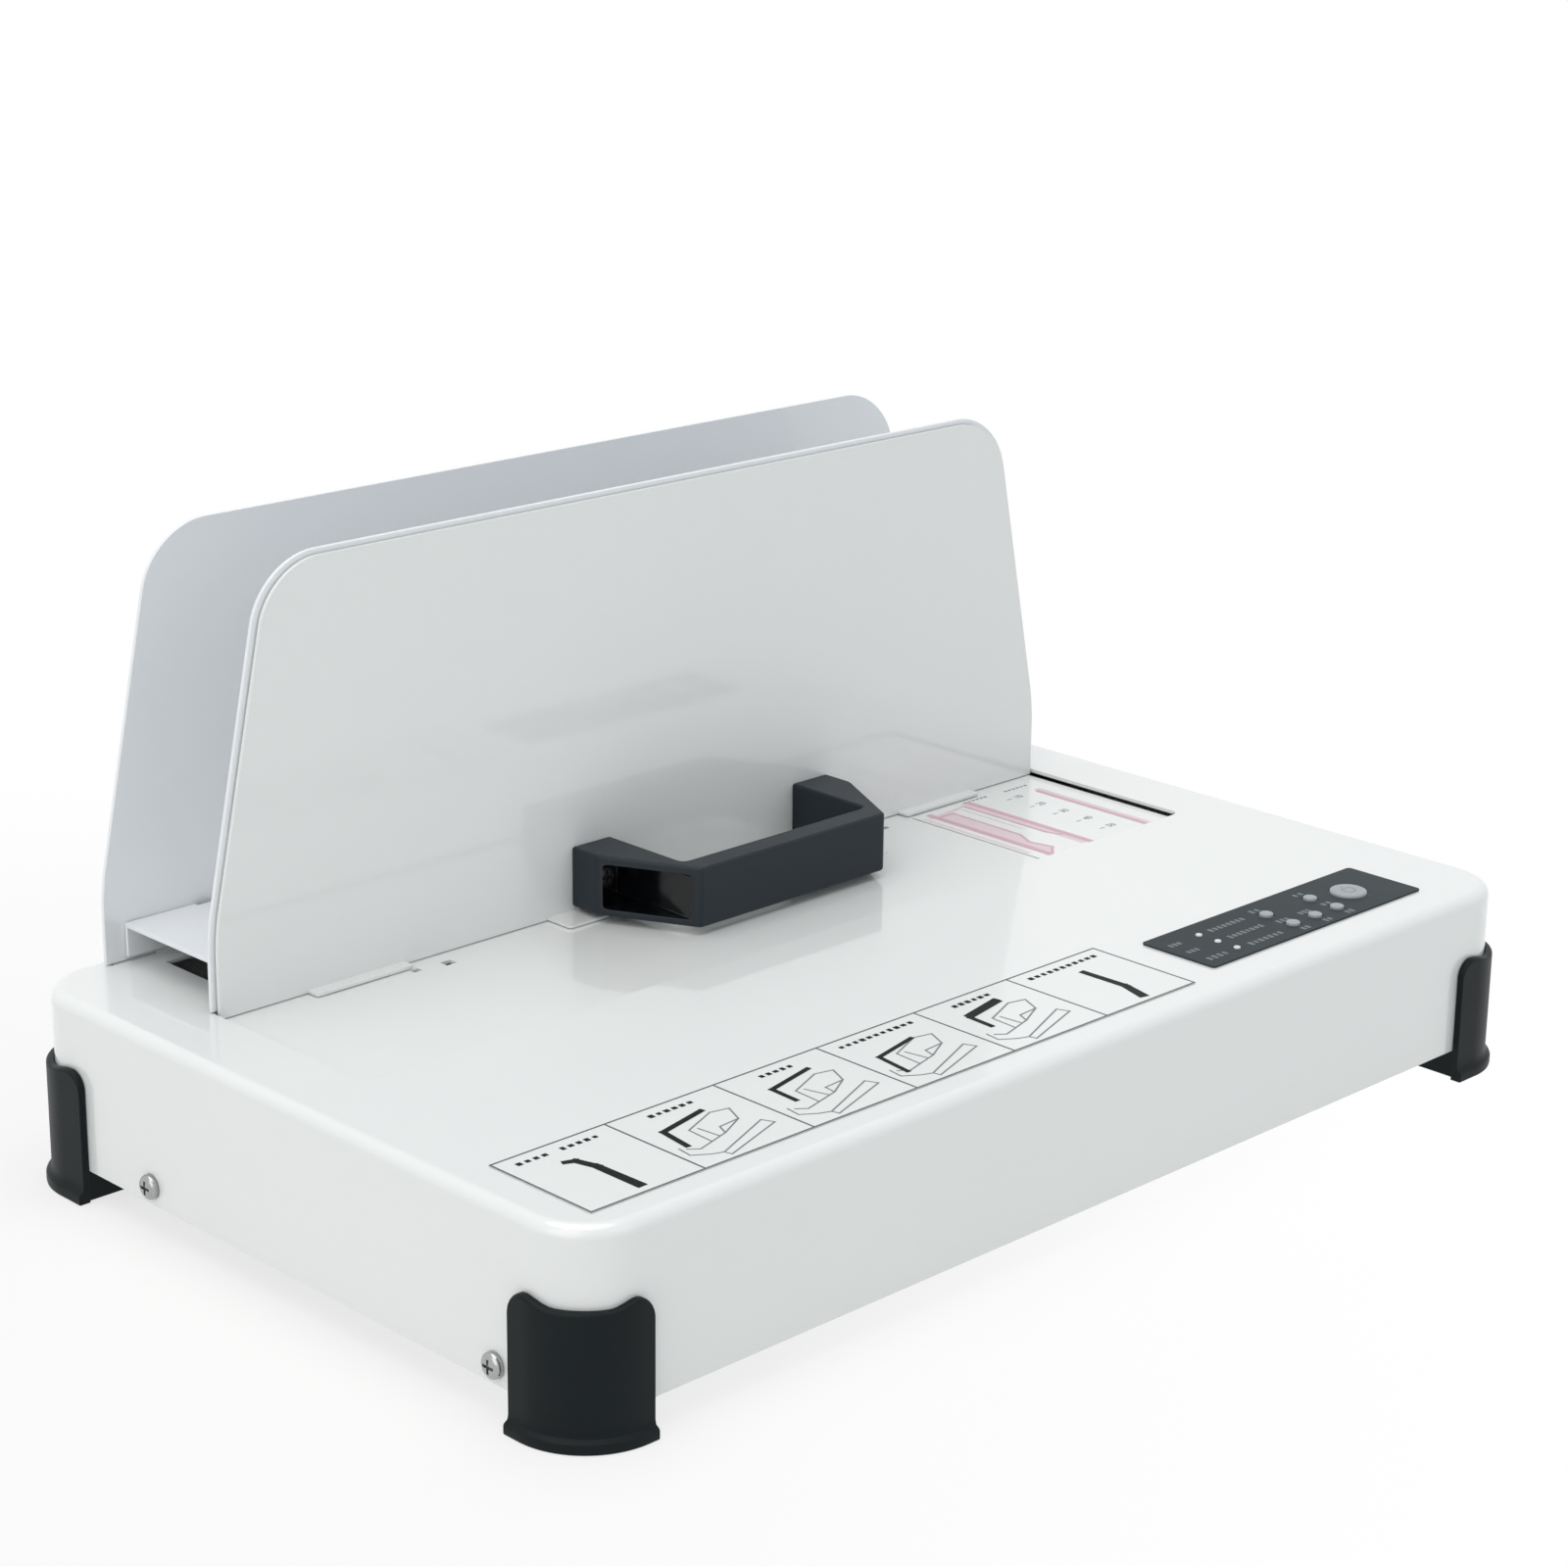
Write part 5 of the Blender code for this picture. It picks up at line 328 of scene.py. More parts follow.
ACETAL = Finish(
    "slide_block_acetal", "slide_plastic", (0.72, 0.72, 0.68), 0.45, wear_and_sheen=0.2,
    wear_and_sheen_colour=(0.6, 0.6, 0.56))
ALUMINIUM = Metal(
    "heating_plate_aluminium", "aluminium", (0.74, 0.75, 0.76), 0.3, grain=Grain.BRUSHED,
    relief=6, drift=0.05, wear_and_sheen=0.4, wear_and_sheen_colour=(0.85, 0.86, 0.87))
SILICONE = Finish("heater_silicone", "silicone", (0.52, 0.15, 0.05), 0.6, relief=30)
MINERAL_BOARD = Finish(
    "mineral_board", "mineral_board", (0.6, 0.56, 0.47), 0.9, grain_pitch=0.0009, relief=60,
    drift=0.12, patch=0.004, wear_and_sheen=0.4, wear_and_sheen_colour=(0.72, 0.69, 0.6))
CERAMIC = Finish("thermostat_ceramic", "ceramic", (0.74, 0.68, 0.58), 0.4)
BOARD_GREEN = Finish("board_resist_green", "circuit_board", (0.015, 0.14, 0.06), 0.3, coat=0.3)
COIL = Finish(
    "transformer_coil", "coil", (0.45, 0.27, 0.1), 0.5, grain=Grain.BRUSHED, grain_pitch=0.001,
    relief=40)
RELAY_BLUE = Finish(
    "relay_blue", "relay_blue", (0.04, 0.12, 0.38), 0.35, wear_and_sheen=0.3, wear_and_sheen_colour=(0.15, 0.25, 0.5))
ROCKER_RED = Finish(
    "rocker_red", "rocker_red", (0.46, 0.012, 0.012), 0.25, relief=2, wear_and_sheen=0.25,
    wear_and_sheen_colour=(0.6, 0.1, 0.08))
ROCKER_MARK = Print("rocker_mark_white", "rocker_red", (0.8, 0.8, 0.8), 0.4, specular=0.5)
LEAD_BROWN = Finish("lead_brown", "lead_brown", (0.16, 0.06, 0.025), 0.45)
LEAD_RED = Finish("lead_red", "lead_red", (0.46, 0.022, 0.018), 0.45)
RIBBON_GREY = Finish(
    "ribbon_grey", "ribbon_grey", (0.4, 0.4, 0.42), 0.45, grain=Grain.BRUSHED,
    grain_pitch=0.0012, relief=50)
PIN_NICKEL = Metal("socket_pin_nickel", "black_plastic", (0.62, 0.6, 0.55), 0.25)


def along(axis: Vector, at: Callable[[Vector], bool] = lambda spot: True) -> Pick:
    """Make a test for edges that run along an axis."""
    return lambda edge: at(edge.verts[0].co) and abs(
        (edge.verts[1].co - edge.verts[0].co).normalized().dot(axis)) > PARALLEL


def beyond(axis: Vector, level: float) -> Pick:
    """Make a test for edges that lie wholly at a level along an axis, or past it."""
    return lambda edge: all(vert.co.dot(axis) > level - NEAR for vert in edge.verts)


def quarter(radius: float, height: float, edge: float) -> list[Pair]:
    """Work out the profile of a rounded upper edge."""
    angles = [QUARTER * step / EDGE_STEPS for step in range(EDGE_STEPS + 1)]
    return [(radius - edge * (1 - math.cos(angle)), height - edge * (1 - math.sin(angle)))
            for angle in angles]


def disc(radius: float, height: float, edge: float = 0.0) -> list[Pair]:
    """Work out the profile of a round block."""
    rim = quarter(radius, height, edge) if edge else [(radius, height)]
    return [(0.0, 0.0), (radius, 0.0), *rim, (0.0, height)]


def mirrored(inner: float, outer: float) -> list[Pair]:
    """Return a span along X on the left, and the same on the right."""
    return [(-outer, -inner), (inner, outer)]


def standing(place: Point, direction: Vector) -> Matrix:
    """Return the matrix that puts a shape on a place, its Z along a direction."""
    return Matrix.Translation(place) @ direction.to_track_quat("Z", "Y").to_matrix().to_4x4()


def linked(name: str, data: bpy.types.ID) -> bpy.types.Object:
    """Make an object and link it to the scene.

    Args:
        name: The object's name.
        data: Its mesh, text, light or camera.

    Returns:
        The object.
    """
    made = bpy.data.objects.new(name, data)
    bpy.context.scene.collection.objects.link(made)
    return made


def settled(holder: bpy.types.Object) -> bpy.types.Mesh:
    """Return a new mesh of an object as it looks with its modifiers."""
    bpy.context.view_layer.update()
    graph = bpy.context.evaluated_depsgraph_get()
    return bpy.data.meshes.new_from_object(holder.evaluated_get(graph))


class Shape:
    """A piece under construction, in the machine's own frame."""

    def __init__(self) -> None:
        """Start with nothing."""
        self.mesh = bmesh.new()

    def block(self, low: Point, high: Point) -> "Shape":
        """Add a block.

        Args:
            low: Its lowest corner.
            high: Its highest corner.

        Returns:
            The shape.
        """
        low, high = Vector(low), Vector(high)
        matrix = Matrix.Translation((low + high) / 2) @ Matrix.Diagonal((*(high - low), 1.0))
        bmesh.ops.create_cube(self.mesh, size=1.0, matrix=matrix)
        return self

    def slab(self, outline: Iterable[Point], travel: Point) -> "Shape":
        """Add a flat outline, extruded.

        Args:
            outline: The corners of the first face, in order.
            travel: How far and where the face is extruded.

        Returns:
            The shape.
        """
        face = self.mesh.faces.new([self.mesh.verts.new(spot) for spot in outline])
        grown = bmesh.ops.extrude_face_region(self.mesh, geom=[face], use_keep_orig=True)["geom"]
        moved = [part for part in grown if isinstance(part, bmesh.types.BMVert)]
        bmesh.ops.translate(self.mesh, vec=Vector(travel), verts=moved)
        bmesh.ops.recalc_face_normals(self.mesh, faces=self.mesh.faces)
        return self

    def turned(self, profile: Sequence[Pair], place: Point, direction: Vector,
               steps: int = 40) -> "Shape":
        """Add a solid of revolution.

        Args:
            profile: Pairs of radius and height. It starts and ends on the axis, or closes
                on itself.
            place: Where height zero lies.
            direction: The axis.
            steps: How many sides the solid has.

        Returns:
            The shape.
        """
        part = bmesh.new()
        spots = [part.verts.new((radius, 0, height)) for radius, height in profile]
        chain = list(zip(spots, spots[1:]))
        if profile[0][0] > 0:
            chain.append((spots[-1], spots[0]))
        edges = [part.edges.new(pair) for pair in chain]
        bmesh.ops.spin(part, geom=spots + edges, cent=(0, 0, 0), axis=UP, angle=2 * math.pi,
                       steps=steps, use_merge=True)
        bmesh.ops.remove_doubles(part, verts=part.verts, dist=MERGE)
        bmesh.ops.recalc_face_normals(part, faces=part.faces)
        bmesh.ops.transform(part, matrix=standing(place, direction), verts=part.verts)
        holder = bpy.data.meshes.new("part")
        part.to_mesh(holder)
        part.free()
        self.mesh.from_mesh(holder)
        bpy.data.meshes.remove(holder)
        return self

    def text(self, words: str, size: float, centre: Point, travel: float) -> "Shape":
        """Add upright numerals that lie flat.

        Args:
            words: The numerals.
            size: Their size.
            centre: Where their middle lies.
            travel: How thick they are.

        Returns:
            The shape.
        """
        curve = bpy.data.curves.new("numerals", "FONT")
        curve.body, curve.size, curve.extrude = words, size, travel / 2
        curve.offset, curve.resolution_u = size * NUMERAL_WEIGHT, NUMERAL_STEPS
        curve.align_x, curve.align_y = "CENTER", "CENTER"
        holder = linked("numerals", curve)
        mesh = settled(holder)
        mesh.transform(Matrix.Translation(Vector(centre) + UP * travel / 2))
        self.mesh.from_mesh(mesh)
        bpy.data.objects.remove(holder)
        bpy.data.meshes.remove(mesh)
        return self

    def round(self, pick: Pick, radius: float, steps: int = EDGE_STEPS) -> "Shape":
        """Round the picked edges.

        Args:
            pick: Says whether an edge is rounded.
            radius: How far the round reaches along each face.
            steps: Segments of the round.

        Returns:
            The shape.
        """
        edges = [edge for edge in self.mesh.edges if pick(edge)]
        bmesh.ops.bevel(self.mesh, geom=edges, offset=radius, offset_type="OFFSET", affect="EDGES",
                        segments=steps, profile=0.5, material=-1, clamp_overlap=True)
        return self

    def moved(self, matrix: Matrix) -> "Shape":
        """Move, turn or mirror the whole shape.

        Args:
            matrix: Where it goes.

        Returns:
            The shape, its faces outwards.
        """
        bmesh.ops.transform(self.mesh, matrix=matrix, verts=self.mesh.verts)
        bmesh.ops.recalc_face_normals(self.mesh, faces=self.mesh.faces)
        return self

    def _object(self, name: str) -> bpy.types.Object:
        """Turn the mesh into a linked object.

        Args:
            name: The object's name.

        Returns:
            The object.
        """
        bmesh.ops.recalc_face_normals(self.mesh, faces=self.mesh.faces)
        mesh = bpy.data.meshes.new(name)
        self.mesh.to_mesh(mesh)
        self.mesh.free()
        return linked(name, mesh)

    def combined(self, tool: "Shape", way: Join) -> "Shape":
        """Cut another shape out of this one, or join it on.

        Args:
            tool: The other shape, which is used up.
            way: How the two are combined.

        Returns:
            The shape that results.
        """
        body, other = self._object("body"), tool._object("tool")
        modifier = body.modifiers.new("combine", "BOOLEAN")
        modifier.object, modifier.operation, modifier.solver = other, way.value, "EXACT"
        mesh = settled(body)
        result = Shape()
        result.mesh.from_mesh(mesh)
        for holder in (body, other):
            spare = holder.data
            bpy.data.objects.remove(holder)
            bpy.data.meshes.remove(spare)
        bpy.data.meshes.remove(mesh)
        return result

    def minus(self, *tools: "Shape") -> "Shape":
        """Cut shapes out, one after the other.

        Args:
            tools: The shapes, which are used up.

        Returns:
            What is left.
        """
        result = self
        for tool in tools:
            result = result.combined(tool, Join.CUT)
        return result

    def plus(self, tool: "Shape") -> "Shape":
        """Return this shape with another joined on, which is used up."""
        return self.combined(tool, Join.ADD)

    def piece(self, name: str, finish: Finish, body: str, nodes: Sequence[str] = (),
              soften: float = 0.0, steps: int = 2) -> bpy.types.Object:
        """Finish the shape as a piece of the machine.

        Args:
            name: The piece's name.
            finish: Its finish.
            body: The moving body that it belongs to.
            nodes: The plain solids that it stands for.
            soften: The width of the small bevel along its sharp edges.
            steps: Segments of that bevel.

        Returns:
            The finished piece.
        """
        bmesh.ops.remove_doubles(self.mesh, verts=self.mesh.verts, dist=MERGE)
        made = self._object(name)
        normals = made.data.attributes.get("custom_normal")
        if normals:
            made.data.attributes.remove(normals)
        made.data.materials.clear()
        made.data.materials.append(finish.material())
        made.data.shade_smooth()
        made.data.set_sharp_from_angle(angle=SHARP_ANGLE)
        if soften:
            bevel = made.modifiers.new("soft_edges", "BEVEL")
            bevel.width, bevel.segments, bevel.limit_method = soften, steps, "ANGLE"
            bevel.angle_limit, bevel.profile = SHARP_ANGLE, 0.5
        even = made.modifiers.new("even_shading", "WEIGHTED_NORMAL")
        even.keep_sharp = not soften
        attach(made, body)
        if nodes:
            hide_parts(*nodes)
        LOG.info("%s rides on %s", name, body)
        return made


def centre_of(node: str) -> Vector:
    """Return the middle of a node's box."""
    low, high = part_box(node)
    return (low + high) / 2


def rear_block(node: str, size: Pair, near: float, far: float) -> Shape:
    """Make a block about the centre of a fitting on the rear wall."""
    centre, half_x, half_z = centre_of(node), size[0] / 2, size[1] / 2
    return Shape().block((centre.x - half_x, near, centre.z - half_z),
                         (centre.x + half_x, far, centre.z + half_z))


def copied(node: str) -> Shape:
    """Copy a node's own form, its triangles merged into whole faces.

    Args:
        node: The node's name.

    Returns:
        The copy.
    """
    shape = Shape()
    mesh = shape.mesh
    mesh.from_mesh(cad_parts[node].data)
    bmesh.ops.remove_doubles(mesh, verts=mesh.verts, dist=CAD_MERGE)
    bmesh.ops.dissolve_limit(mesh, angle_limit=FLAT_ANGLE, verts=mesh.verts, edges=mesh.edges)
    return shape


def dress(node: str, finish: Finish) -> None:
    """Give a node that shows as it is a finish of its own.

    Args:
        node: The node's name.
        finish: Its finish.
    """
    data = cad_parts[node].data
    data.materials.clear()
    data.materials.append(finish.material())
    LOG.info("%s dressed", node)


@dataclass
class Cover:
    """The painted cover: four walls and the deck, with its window and holes."""

    sheet: float = 0.0012
    corner: float = 0.0184
    corner_steps: int = 14
    edge: float = 0.0035
    edge_steps: int = 8
    foot_drop: float = 0.002
    window: Triple = (0.1645, -0.0047, 0.0615)
    window_corner: float = 0.003
    window_steps: int = 5
    rack_half: float = 0.1508
    rack_rear: float = 0.102
    leg_slot: tuple[float, float, float, float] = (0.1484, 0.1636, 0.1094, 0.1112)
    key_gap: float = 0.0003
    lamp_hole: float = 0.0012
    lamp_sides: int = 20
    deck_cut: Pair = (0.053, 0.063)
    rear_cut: Pair = (0.112, 0.120)
    rear_holes: tuple[tuple[str, Pair], ...] = (
        ("power_inlet", (0.0278, 0.0203)), ("rocker_switch", (0.0136, 0.0196)))
    soft: float = 0.0003

    def hull(self, inset: float, drop: float) -> Shape:
        """Make the cover's rounded box.

        Args:
            inset: How far it is drawn in all round.
            drop: How far its foot is lowered.

        Returns:
            The box.
        """
        low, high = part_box("top_housing")
        low = Vector((low.x + inset, low.y + inset, low.z - drop))
        high = high - Vector((inset, inset, inset))
        shape = Shape().block(low, high)
        shape.round(along(UP), self.corner - inset, self.corner_steps)
        return shape.round(beyond(UP, high.z), self.edge - inset, self.edge_steps)

    def openings(self) -> list[Shape]:
        """Make the cutters of the deck and the rear wall.

        Returns:
            The cutters.
        """
        half, front, rear = self.window
        low, high = self.deck_cut
        window = Shape().block((-half, front, low), (half, rear, high))
        window.round(along(UP, lambda spot: spot.y < 0), self.window_corner, self.window_steps)
        rack = Shape().block((-self.rack_half, front, low), (self.rack_half, self.rack_rear, high))
        inner, outer, near, far = self.leg_slot
        slots = [Shape().block((left, near, low), (right, far, high))
                 for left, right in mirrored(inner, outer)]
        keys = Shape()
        for node in KEYS:
            keys_low, keys_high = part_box(node)
            centre, radius = centre_of(node), (keys_high.x - keys_low.x) / 2 + self.key_gap
            keys.turned(disc(radius, high - low), (centre.x, centre.y, low), UP)
        for spot in Panel().lamp_spots():
            keys.turned(disc(self.lamp_hole, high - low), (spot.x, spot.y, low), UP,
                        self.lamp_sides)
        holes = [rear_block(node, size, *self.rear_cut) for node, size in self.rear_holes]
        return [window, rack, *slots, keys, *holes]

    def build(self) -> None:
        """Build the painted cover."""
        shape = self.hull(0, 0).minus(self.hull(self.sheet, self.foot_drop), *self.openings())
        shape.piece("painted_cover", WHITE_PAINT, "base", ["top_housing"], self.soft)


@dataclass
class Boot:
    """A rubber boot round one corner: a wall with a lip below and an ear at each end."""

    node: str
    side_x: int
    side_y: int
    corner: float = 0.0184
    gap: float = 0.0003
    wall: float = 0.0021
    lip: float = 0.0016
    lip_height: float = 0.0032
    lip_foot: tuple[Pair, ...] = ((0.0005, 0.0), (0.0001, 0.0002), (0.0, 0.0007))
    lip_rim: tuple[Pair, ...] = ((0.0, 0.0007), (0.0002, 0.0002), (0.0005, 0.0))
    blend: float = 0.0018
    blend_shares: Pair = (0.18, 0.3)
    ear_height: float = 0.0382
    saddle: float = 0.0364
    ear_side: float = 0.0083
    ear_front: float = 0.006
    ear_radius: float = 0.0052
    ear_rise: Pair = (0.34, 0.8)
    rim_round: float = 0.0011
    pad_height: float = 0.0089
    pad_side: float = 0.0083
    pad_front: float = 0.006
    pad_overlap: float = 0.001
    pad_steps: int = 16
    half_width: float = 0.188
    half_depth: float = 0.116
    arc_steps: int = 32
    straight_steps: int = 4
    end_steps: int = 12
    soft: float = 0.0004

    def centre(self) -> Vector:
        """Return the centre of the cover's corner."""
        return Vector((self.half_width - self.corner, self.half_depth - self.corner, 0))

    def profile(self) -> list[Pair]:
        """Work out the wall's profile: a lip, a blend, the wall and its rounded rim.

        Returns:
            Pairs of radius and height, round the profile.
        """
        inner, top = self.corner + self.gap, self.lip_height
        outer, full = inner + self.wall, inner + self.wall + self.lip
        foot = [(full - inward, rise) for inward, rise in self.lip_foot]
        rim = [(full - inward, top - fall) for inward, fall in self.lip_rim]
        out, rise = self.blend_shares
        blend = [(outer + self.lip * out, top + self.blend * rise), (outer, top + self.blend)]
        wall = quarter(outer, self.saddle, self.rim_round)
        return [(inner, 0.0), *foot, *rim, *blend, *wall, (inner, self.saddle)]

    def wall_shape(self) -> Shape:
        """Sweep the wall round the corner, draw it out straight at both ends, raise its rim.

        Returns:
            The wall.
        """
        shape, centre = Shape(), self.centre()
        mesh = shape.mesh
        ring = [mesh.verts.new(centre + Vector((r, 0, z))) for r, z in self.profile()]
        face = mesh.faces.new(ring)
        spun = bmesh.ops.spin(mesh, geom=[face, *face.edges, *face.verts], cent=centre, axis=UP,
                              angle=QUARTER, steps=self.arc_steps, use_merge=False)
        last = next(part for part in spun["geom_last"] if isinstance(part, bmesh.types.BMFace))
        first = next(face for face in mesh.faces
                     if all(abs(vert.co.y - centre.y) < MERGE for vert in face.verts))
        self.draw_out(mesh, first, Vector((0, -1, 0)), self.ear_side)
        self.draw_out(mesh, last, Vector((-1, 0, 0)), self.ear_front)
        self.raise_rim(mesh)
        return shape

    def draw_out(self, mesh: bmesh.types.BMesh, face: bmesh.types.BMFace, heading: Vector,
                 length: float) -> None:
        """Extrude an end face, in steps that get finer towards the rounded end.

        Args:
            mesh: The wall's mesh.
            face: The end face.
            heading: The way that it goes.
            length: How far it goes.
        """
        straight = max(0.0, length - self.ear_radius)
        turns = [QUARTER * step / self.end_steps for step in range(1, self.end_steps + 1)]
        stops = [straight * step / self.straight_steps
                 for step in range(1, self.straight_steps + 1) if straight]
        stops += [straight + (length - straight) * math.sin(turn) for turn in turns]
        for start, stop in zip([0.0, *stops], stops):
            geometry = [face, *face.edges, *face.verts]
            grown = bmesh.ops.extrude_face_region(mesh, geom=geometry)["geom"]
            face = next(part for part in grown if isinstance(part, bmesh.types.BMFace))
            bmesh.ops.translate(mesh, vec=heading * (stop - start), verts=face.verts[:])

    def raise_rim(self, mesh: bmesh.types.BMesh) -> None:
        """Lift the rim into a level saddle with a round ear at each end.

        Args:
            mesh: The wall's mesh.
        """
        centre, arc = self.centre(), (self.corner + self.gap + self.wall) * QUARTER
        low, high, middle = -self.ear_side, arc + self.ear_front, arc / 2
        foot = self.saddle - self.rim_round - NEAR
        for vert in mesh.verts:
            if vert.co.z < foot:
                continue
            offset = vert.co - centre
            run = arc * math.atan2(offset.y, offset.x) / QUARTER
            if offset.y < 0:
                run = offset.y
            elif offset.x < 0:
                run = arc - offset.x
            end = low if run < middle else high
            share = abs(run - middle) / abs(end - middle)
            start, full = self.ear_rise
            rise = min(1.0, max(0.0, (share - start) / (full - start)))
            past = max(0.0, self.ear_radius - abs(run - end))
            vert.co.z += (self.ear_height - self.saddle) * (1 - math.cos(math.pi * rise)) / 2
            vert.co.z -= self.ear_radius - math.sqrt(max(0.0, self.ear_radius ** 2 - past ** 2))

    def pad_shape(self) -> Shape:
        """Make the pad under the cover's corner.

        Returns:
            The pad.
        """
        centre, out = self.centre(), self.gap + self.pad_overlap
        corner = Vector((self.half_width + out, self.half_depth + out))
        inner = Vector((centre.x - self.pad_front, centre.y - self.pad_side, 0))
        shape = Shape().block(inner, (*corner, self.pad_height))
        outermost = along(UP, lambda spot: (spot.xy - corner).length < NEAR)
        return shape.round(outermost, self.corner + out, self.pad_steps)

    def build(self) -> None:
        """Build the boot at its own corner."""
        shape = self.wall_shape().plus(self.pad_shape())
        shape.moved(Matrix.Diagonal((self.side_x, self.side_y, 1, 1)))
        name = self.node.replace("foot", "boot")
        shape.piece(name, BLACK_RUBBER, "base", [self.node], self.soft, SMALL_STEPS)


@dataclass
class Screw:
    """A pan-head screw with a cross recess.

    The shares give the head's rim and crown, and the recess's arm, width and depth.
    """

    name: str
    node: str
    body: str
    seat: Vector
    drive: Vector
    head_radius: float
    head_height: float
    shank_radius: float
    shank_length: float
    finish: Finish = SHADED_NICKEL
    rim_share: float = 0.35
    crown_share: float = 0.3
    arm_share: float = 0.56
    slot_share: float = 0.12
    depth_share: float = 0.55
    overrun_share: float = 1.5
    dome_steps: int = 6
    sides: int = 36
    soft: float = 0.0001

    def build(self) -> None:
        """Build the screw, its head standing on the seat."""
        radius, height, rim, crown = (self.head_radius, self.head_height, self.rim_share,
                                      self.crown_share)
        profile = [(0.0, -self.shank_length), (self.shank_radius, -self.shank_length),
                   (self.shank_radius, 0.0), (radius, 0.0), (radius, height * rim)]
        for step in range(1, self.dome_steps):
            angle = QUARTER * step / self.dome_steps
            profile.append((radius * (crown + (1 - crown) * math.cos(angle)),
                            height * (rim + (1 - rim) * math.sin(angle))))
        profile.append((0.0, height))
        shape = Shape().turned(profile, self.seat, -self.drive, self.sides)
        matrix = standing(self.seat, -self.drive)
        arm, half = radius * self.arm_share, radius * self.slot_share
        low, high = height - height * self.depth_share, height * self.overrun_share
        for reach_x, reach_y in ((half, arm), (arm, half)):
            cross = Shape().block((-reach_x, -reach_y, low), (reach_x, reach_y, high))
            shape = shape.minus(cross.moved(matrix))
        shape.piece(self.name, self.finish, self.body, [self.node], self.soft)


@dataclass
class CoverScrews:
    """The four bright screws low on the side walls."""

    head_radius: float = 0.00355
    head_height: float = 0.0022
    shank_radius: float = 0.0019

    def build(self) -> None:
        """Build each screw against its wall."""
        for side, name in ((-1, "left"), (1, "right")):
            for end in ("front", "rear"):
                node = f"side_screw_{name}_{end}"
                low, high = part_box(node)
                face = high.x - self.head_height if side > 0 else low.x + self.head_height
                seat = Vector((face, (low.y + high.y) / 2, (low.z + high.z) / 2))
                Screw(f"cover_screw_{name}_{end}", node, "base", seat, Vector((-side, 0, 0)),
                      self.head_radius, self.head_height, self.shank_radius,
                      high.x - low.x - self.head_height).build()


@dataclass
class Upright:
    """One of the upright plates: straight at the foot, then leaning in to a round corner."""

    inset: float = 0.0
    half: float = 0.1653
    foot: float = 0.0579
    shoulder: float = 0.0800
    taper: float = 0.0212
    top: float = 0.1805
    corner: float = 0.022
    shoulder_round: float = 0.060
    bend_steps: int = 14
    front: float = 0.06
    sheet: float = 0.0012

    def plate(self) -> Shape:
        """Make the plate itself.

        Returns:
            The plate.
        """
        half, top = self.half - self.inset, self.top - self.inset
        right = [(half, self.foot), (half, self.shoulder), (half - self.taper, top)]
        outline = right + [(-x, z) for x, z in reversed(right)]
        shape = Shape().slab([(x, self.front, z) for x, z in outline], BACK * self.sheet)
        lean = math.atan2(self.taper, top - self.shoulder)
        for level, radius, inside in ((top, self.corner - self.inset, QUARTER + lean),
                                      (self.shoulder, self.shoulder_round, math.pi - lean)):
            bend = along(BACK, lambda spot: abs(spot.z - level) < NEAR and abs(spot.x) > half / 2)
            shape.round(bend, radius / math.tan(inside / 2), self.bend_steps)
        return shape


@dataclass
class Rack:
    """The fixed middle plate, the rear plate and the raised floor between them."""

    middle_front: float = 0.06
    rear_front: float = 0.1097
    lower_half: float = 0.1485
    lower_foot: float = 0.0410
    leg: Triple = (0.149, 0.163, 0.0278)
    leg_round: float = 0.003
    overlap: float = 0.067
    soft: float = 0.0003
    floor_soft: float = 0.00025

    def build(self) -> None:
        """Build both plates and the floor."""
        # Each piece takes the bluish paint that paints the shade between the plates.
        middle = Upright(front=self.middle_front)
        tail = Shape().block((-self.lower_half, self.middle_front, self.lower_foot),
                             (self.lower_half, self.middle_front + middle.sheet, self.overlap))
        shape = middle.plate().plus(tail)
        shape.piece("middle_plate_painted", SHADED_RACK_PAINT, "base", ["middle_plate"], self.soft)
        rear = Upright(front=self.rear_front)
        shape = rear.plate()
        inner, outer, foot = self.leg
        for left, right in mirrored(inner, outer):
            leg = Shape().block((left, self.rear_front, foot),
                                (right, self.rear_front + rear.sheet, self.overlap))
            leg.round(along(BACK, lambda spot: spot.z < foot + NEAR), self.leg_round)
            shape = shape.plus(leg)
        shape.piece("rear_plate_painted", SHADED_RACK_PAINT, "base", ["rear_plate"], self.soft)
        floor = copied("rack_floor")
        floor.piece("rack_floor_painted", SHADED_RACK_PAINT, "base", ["rack_floor"], self.floor_soft)


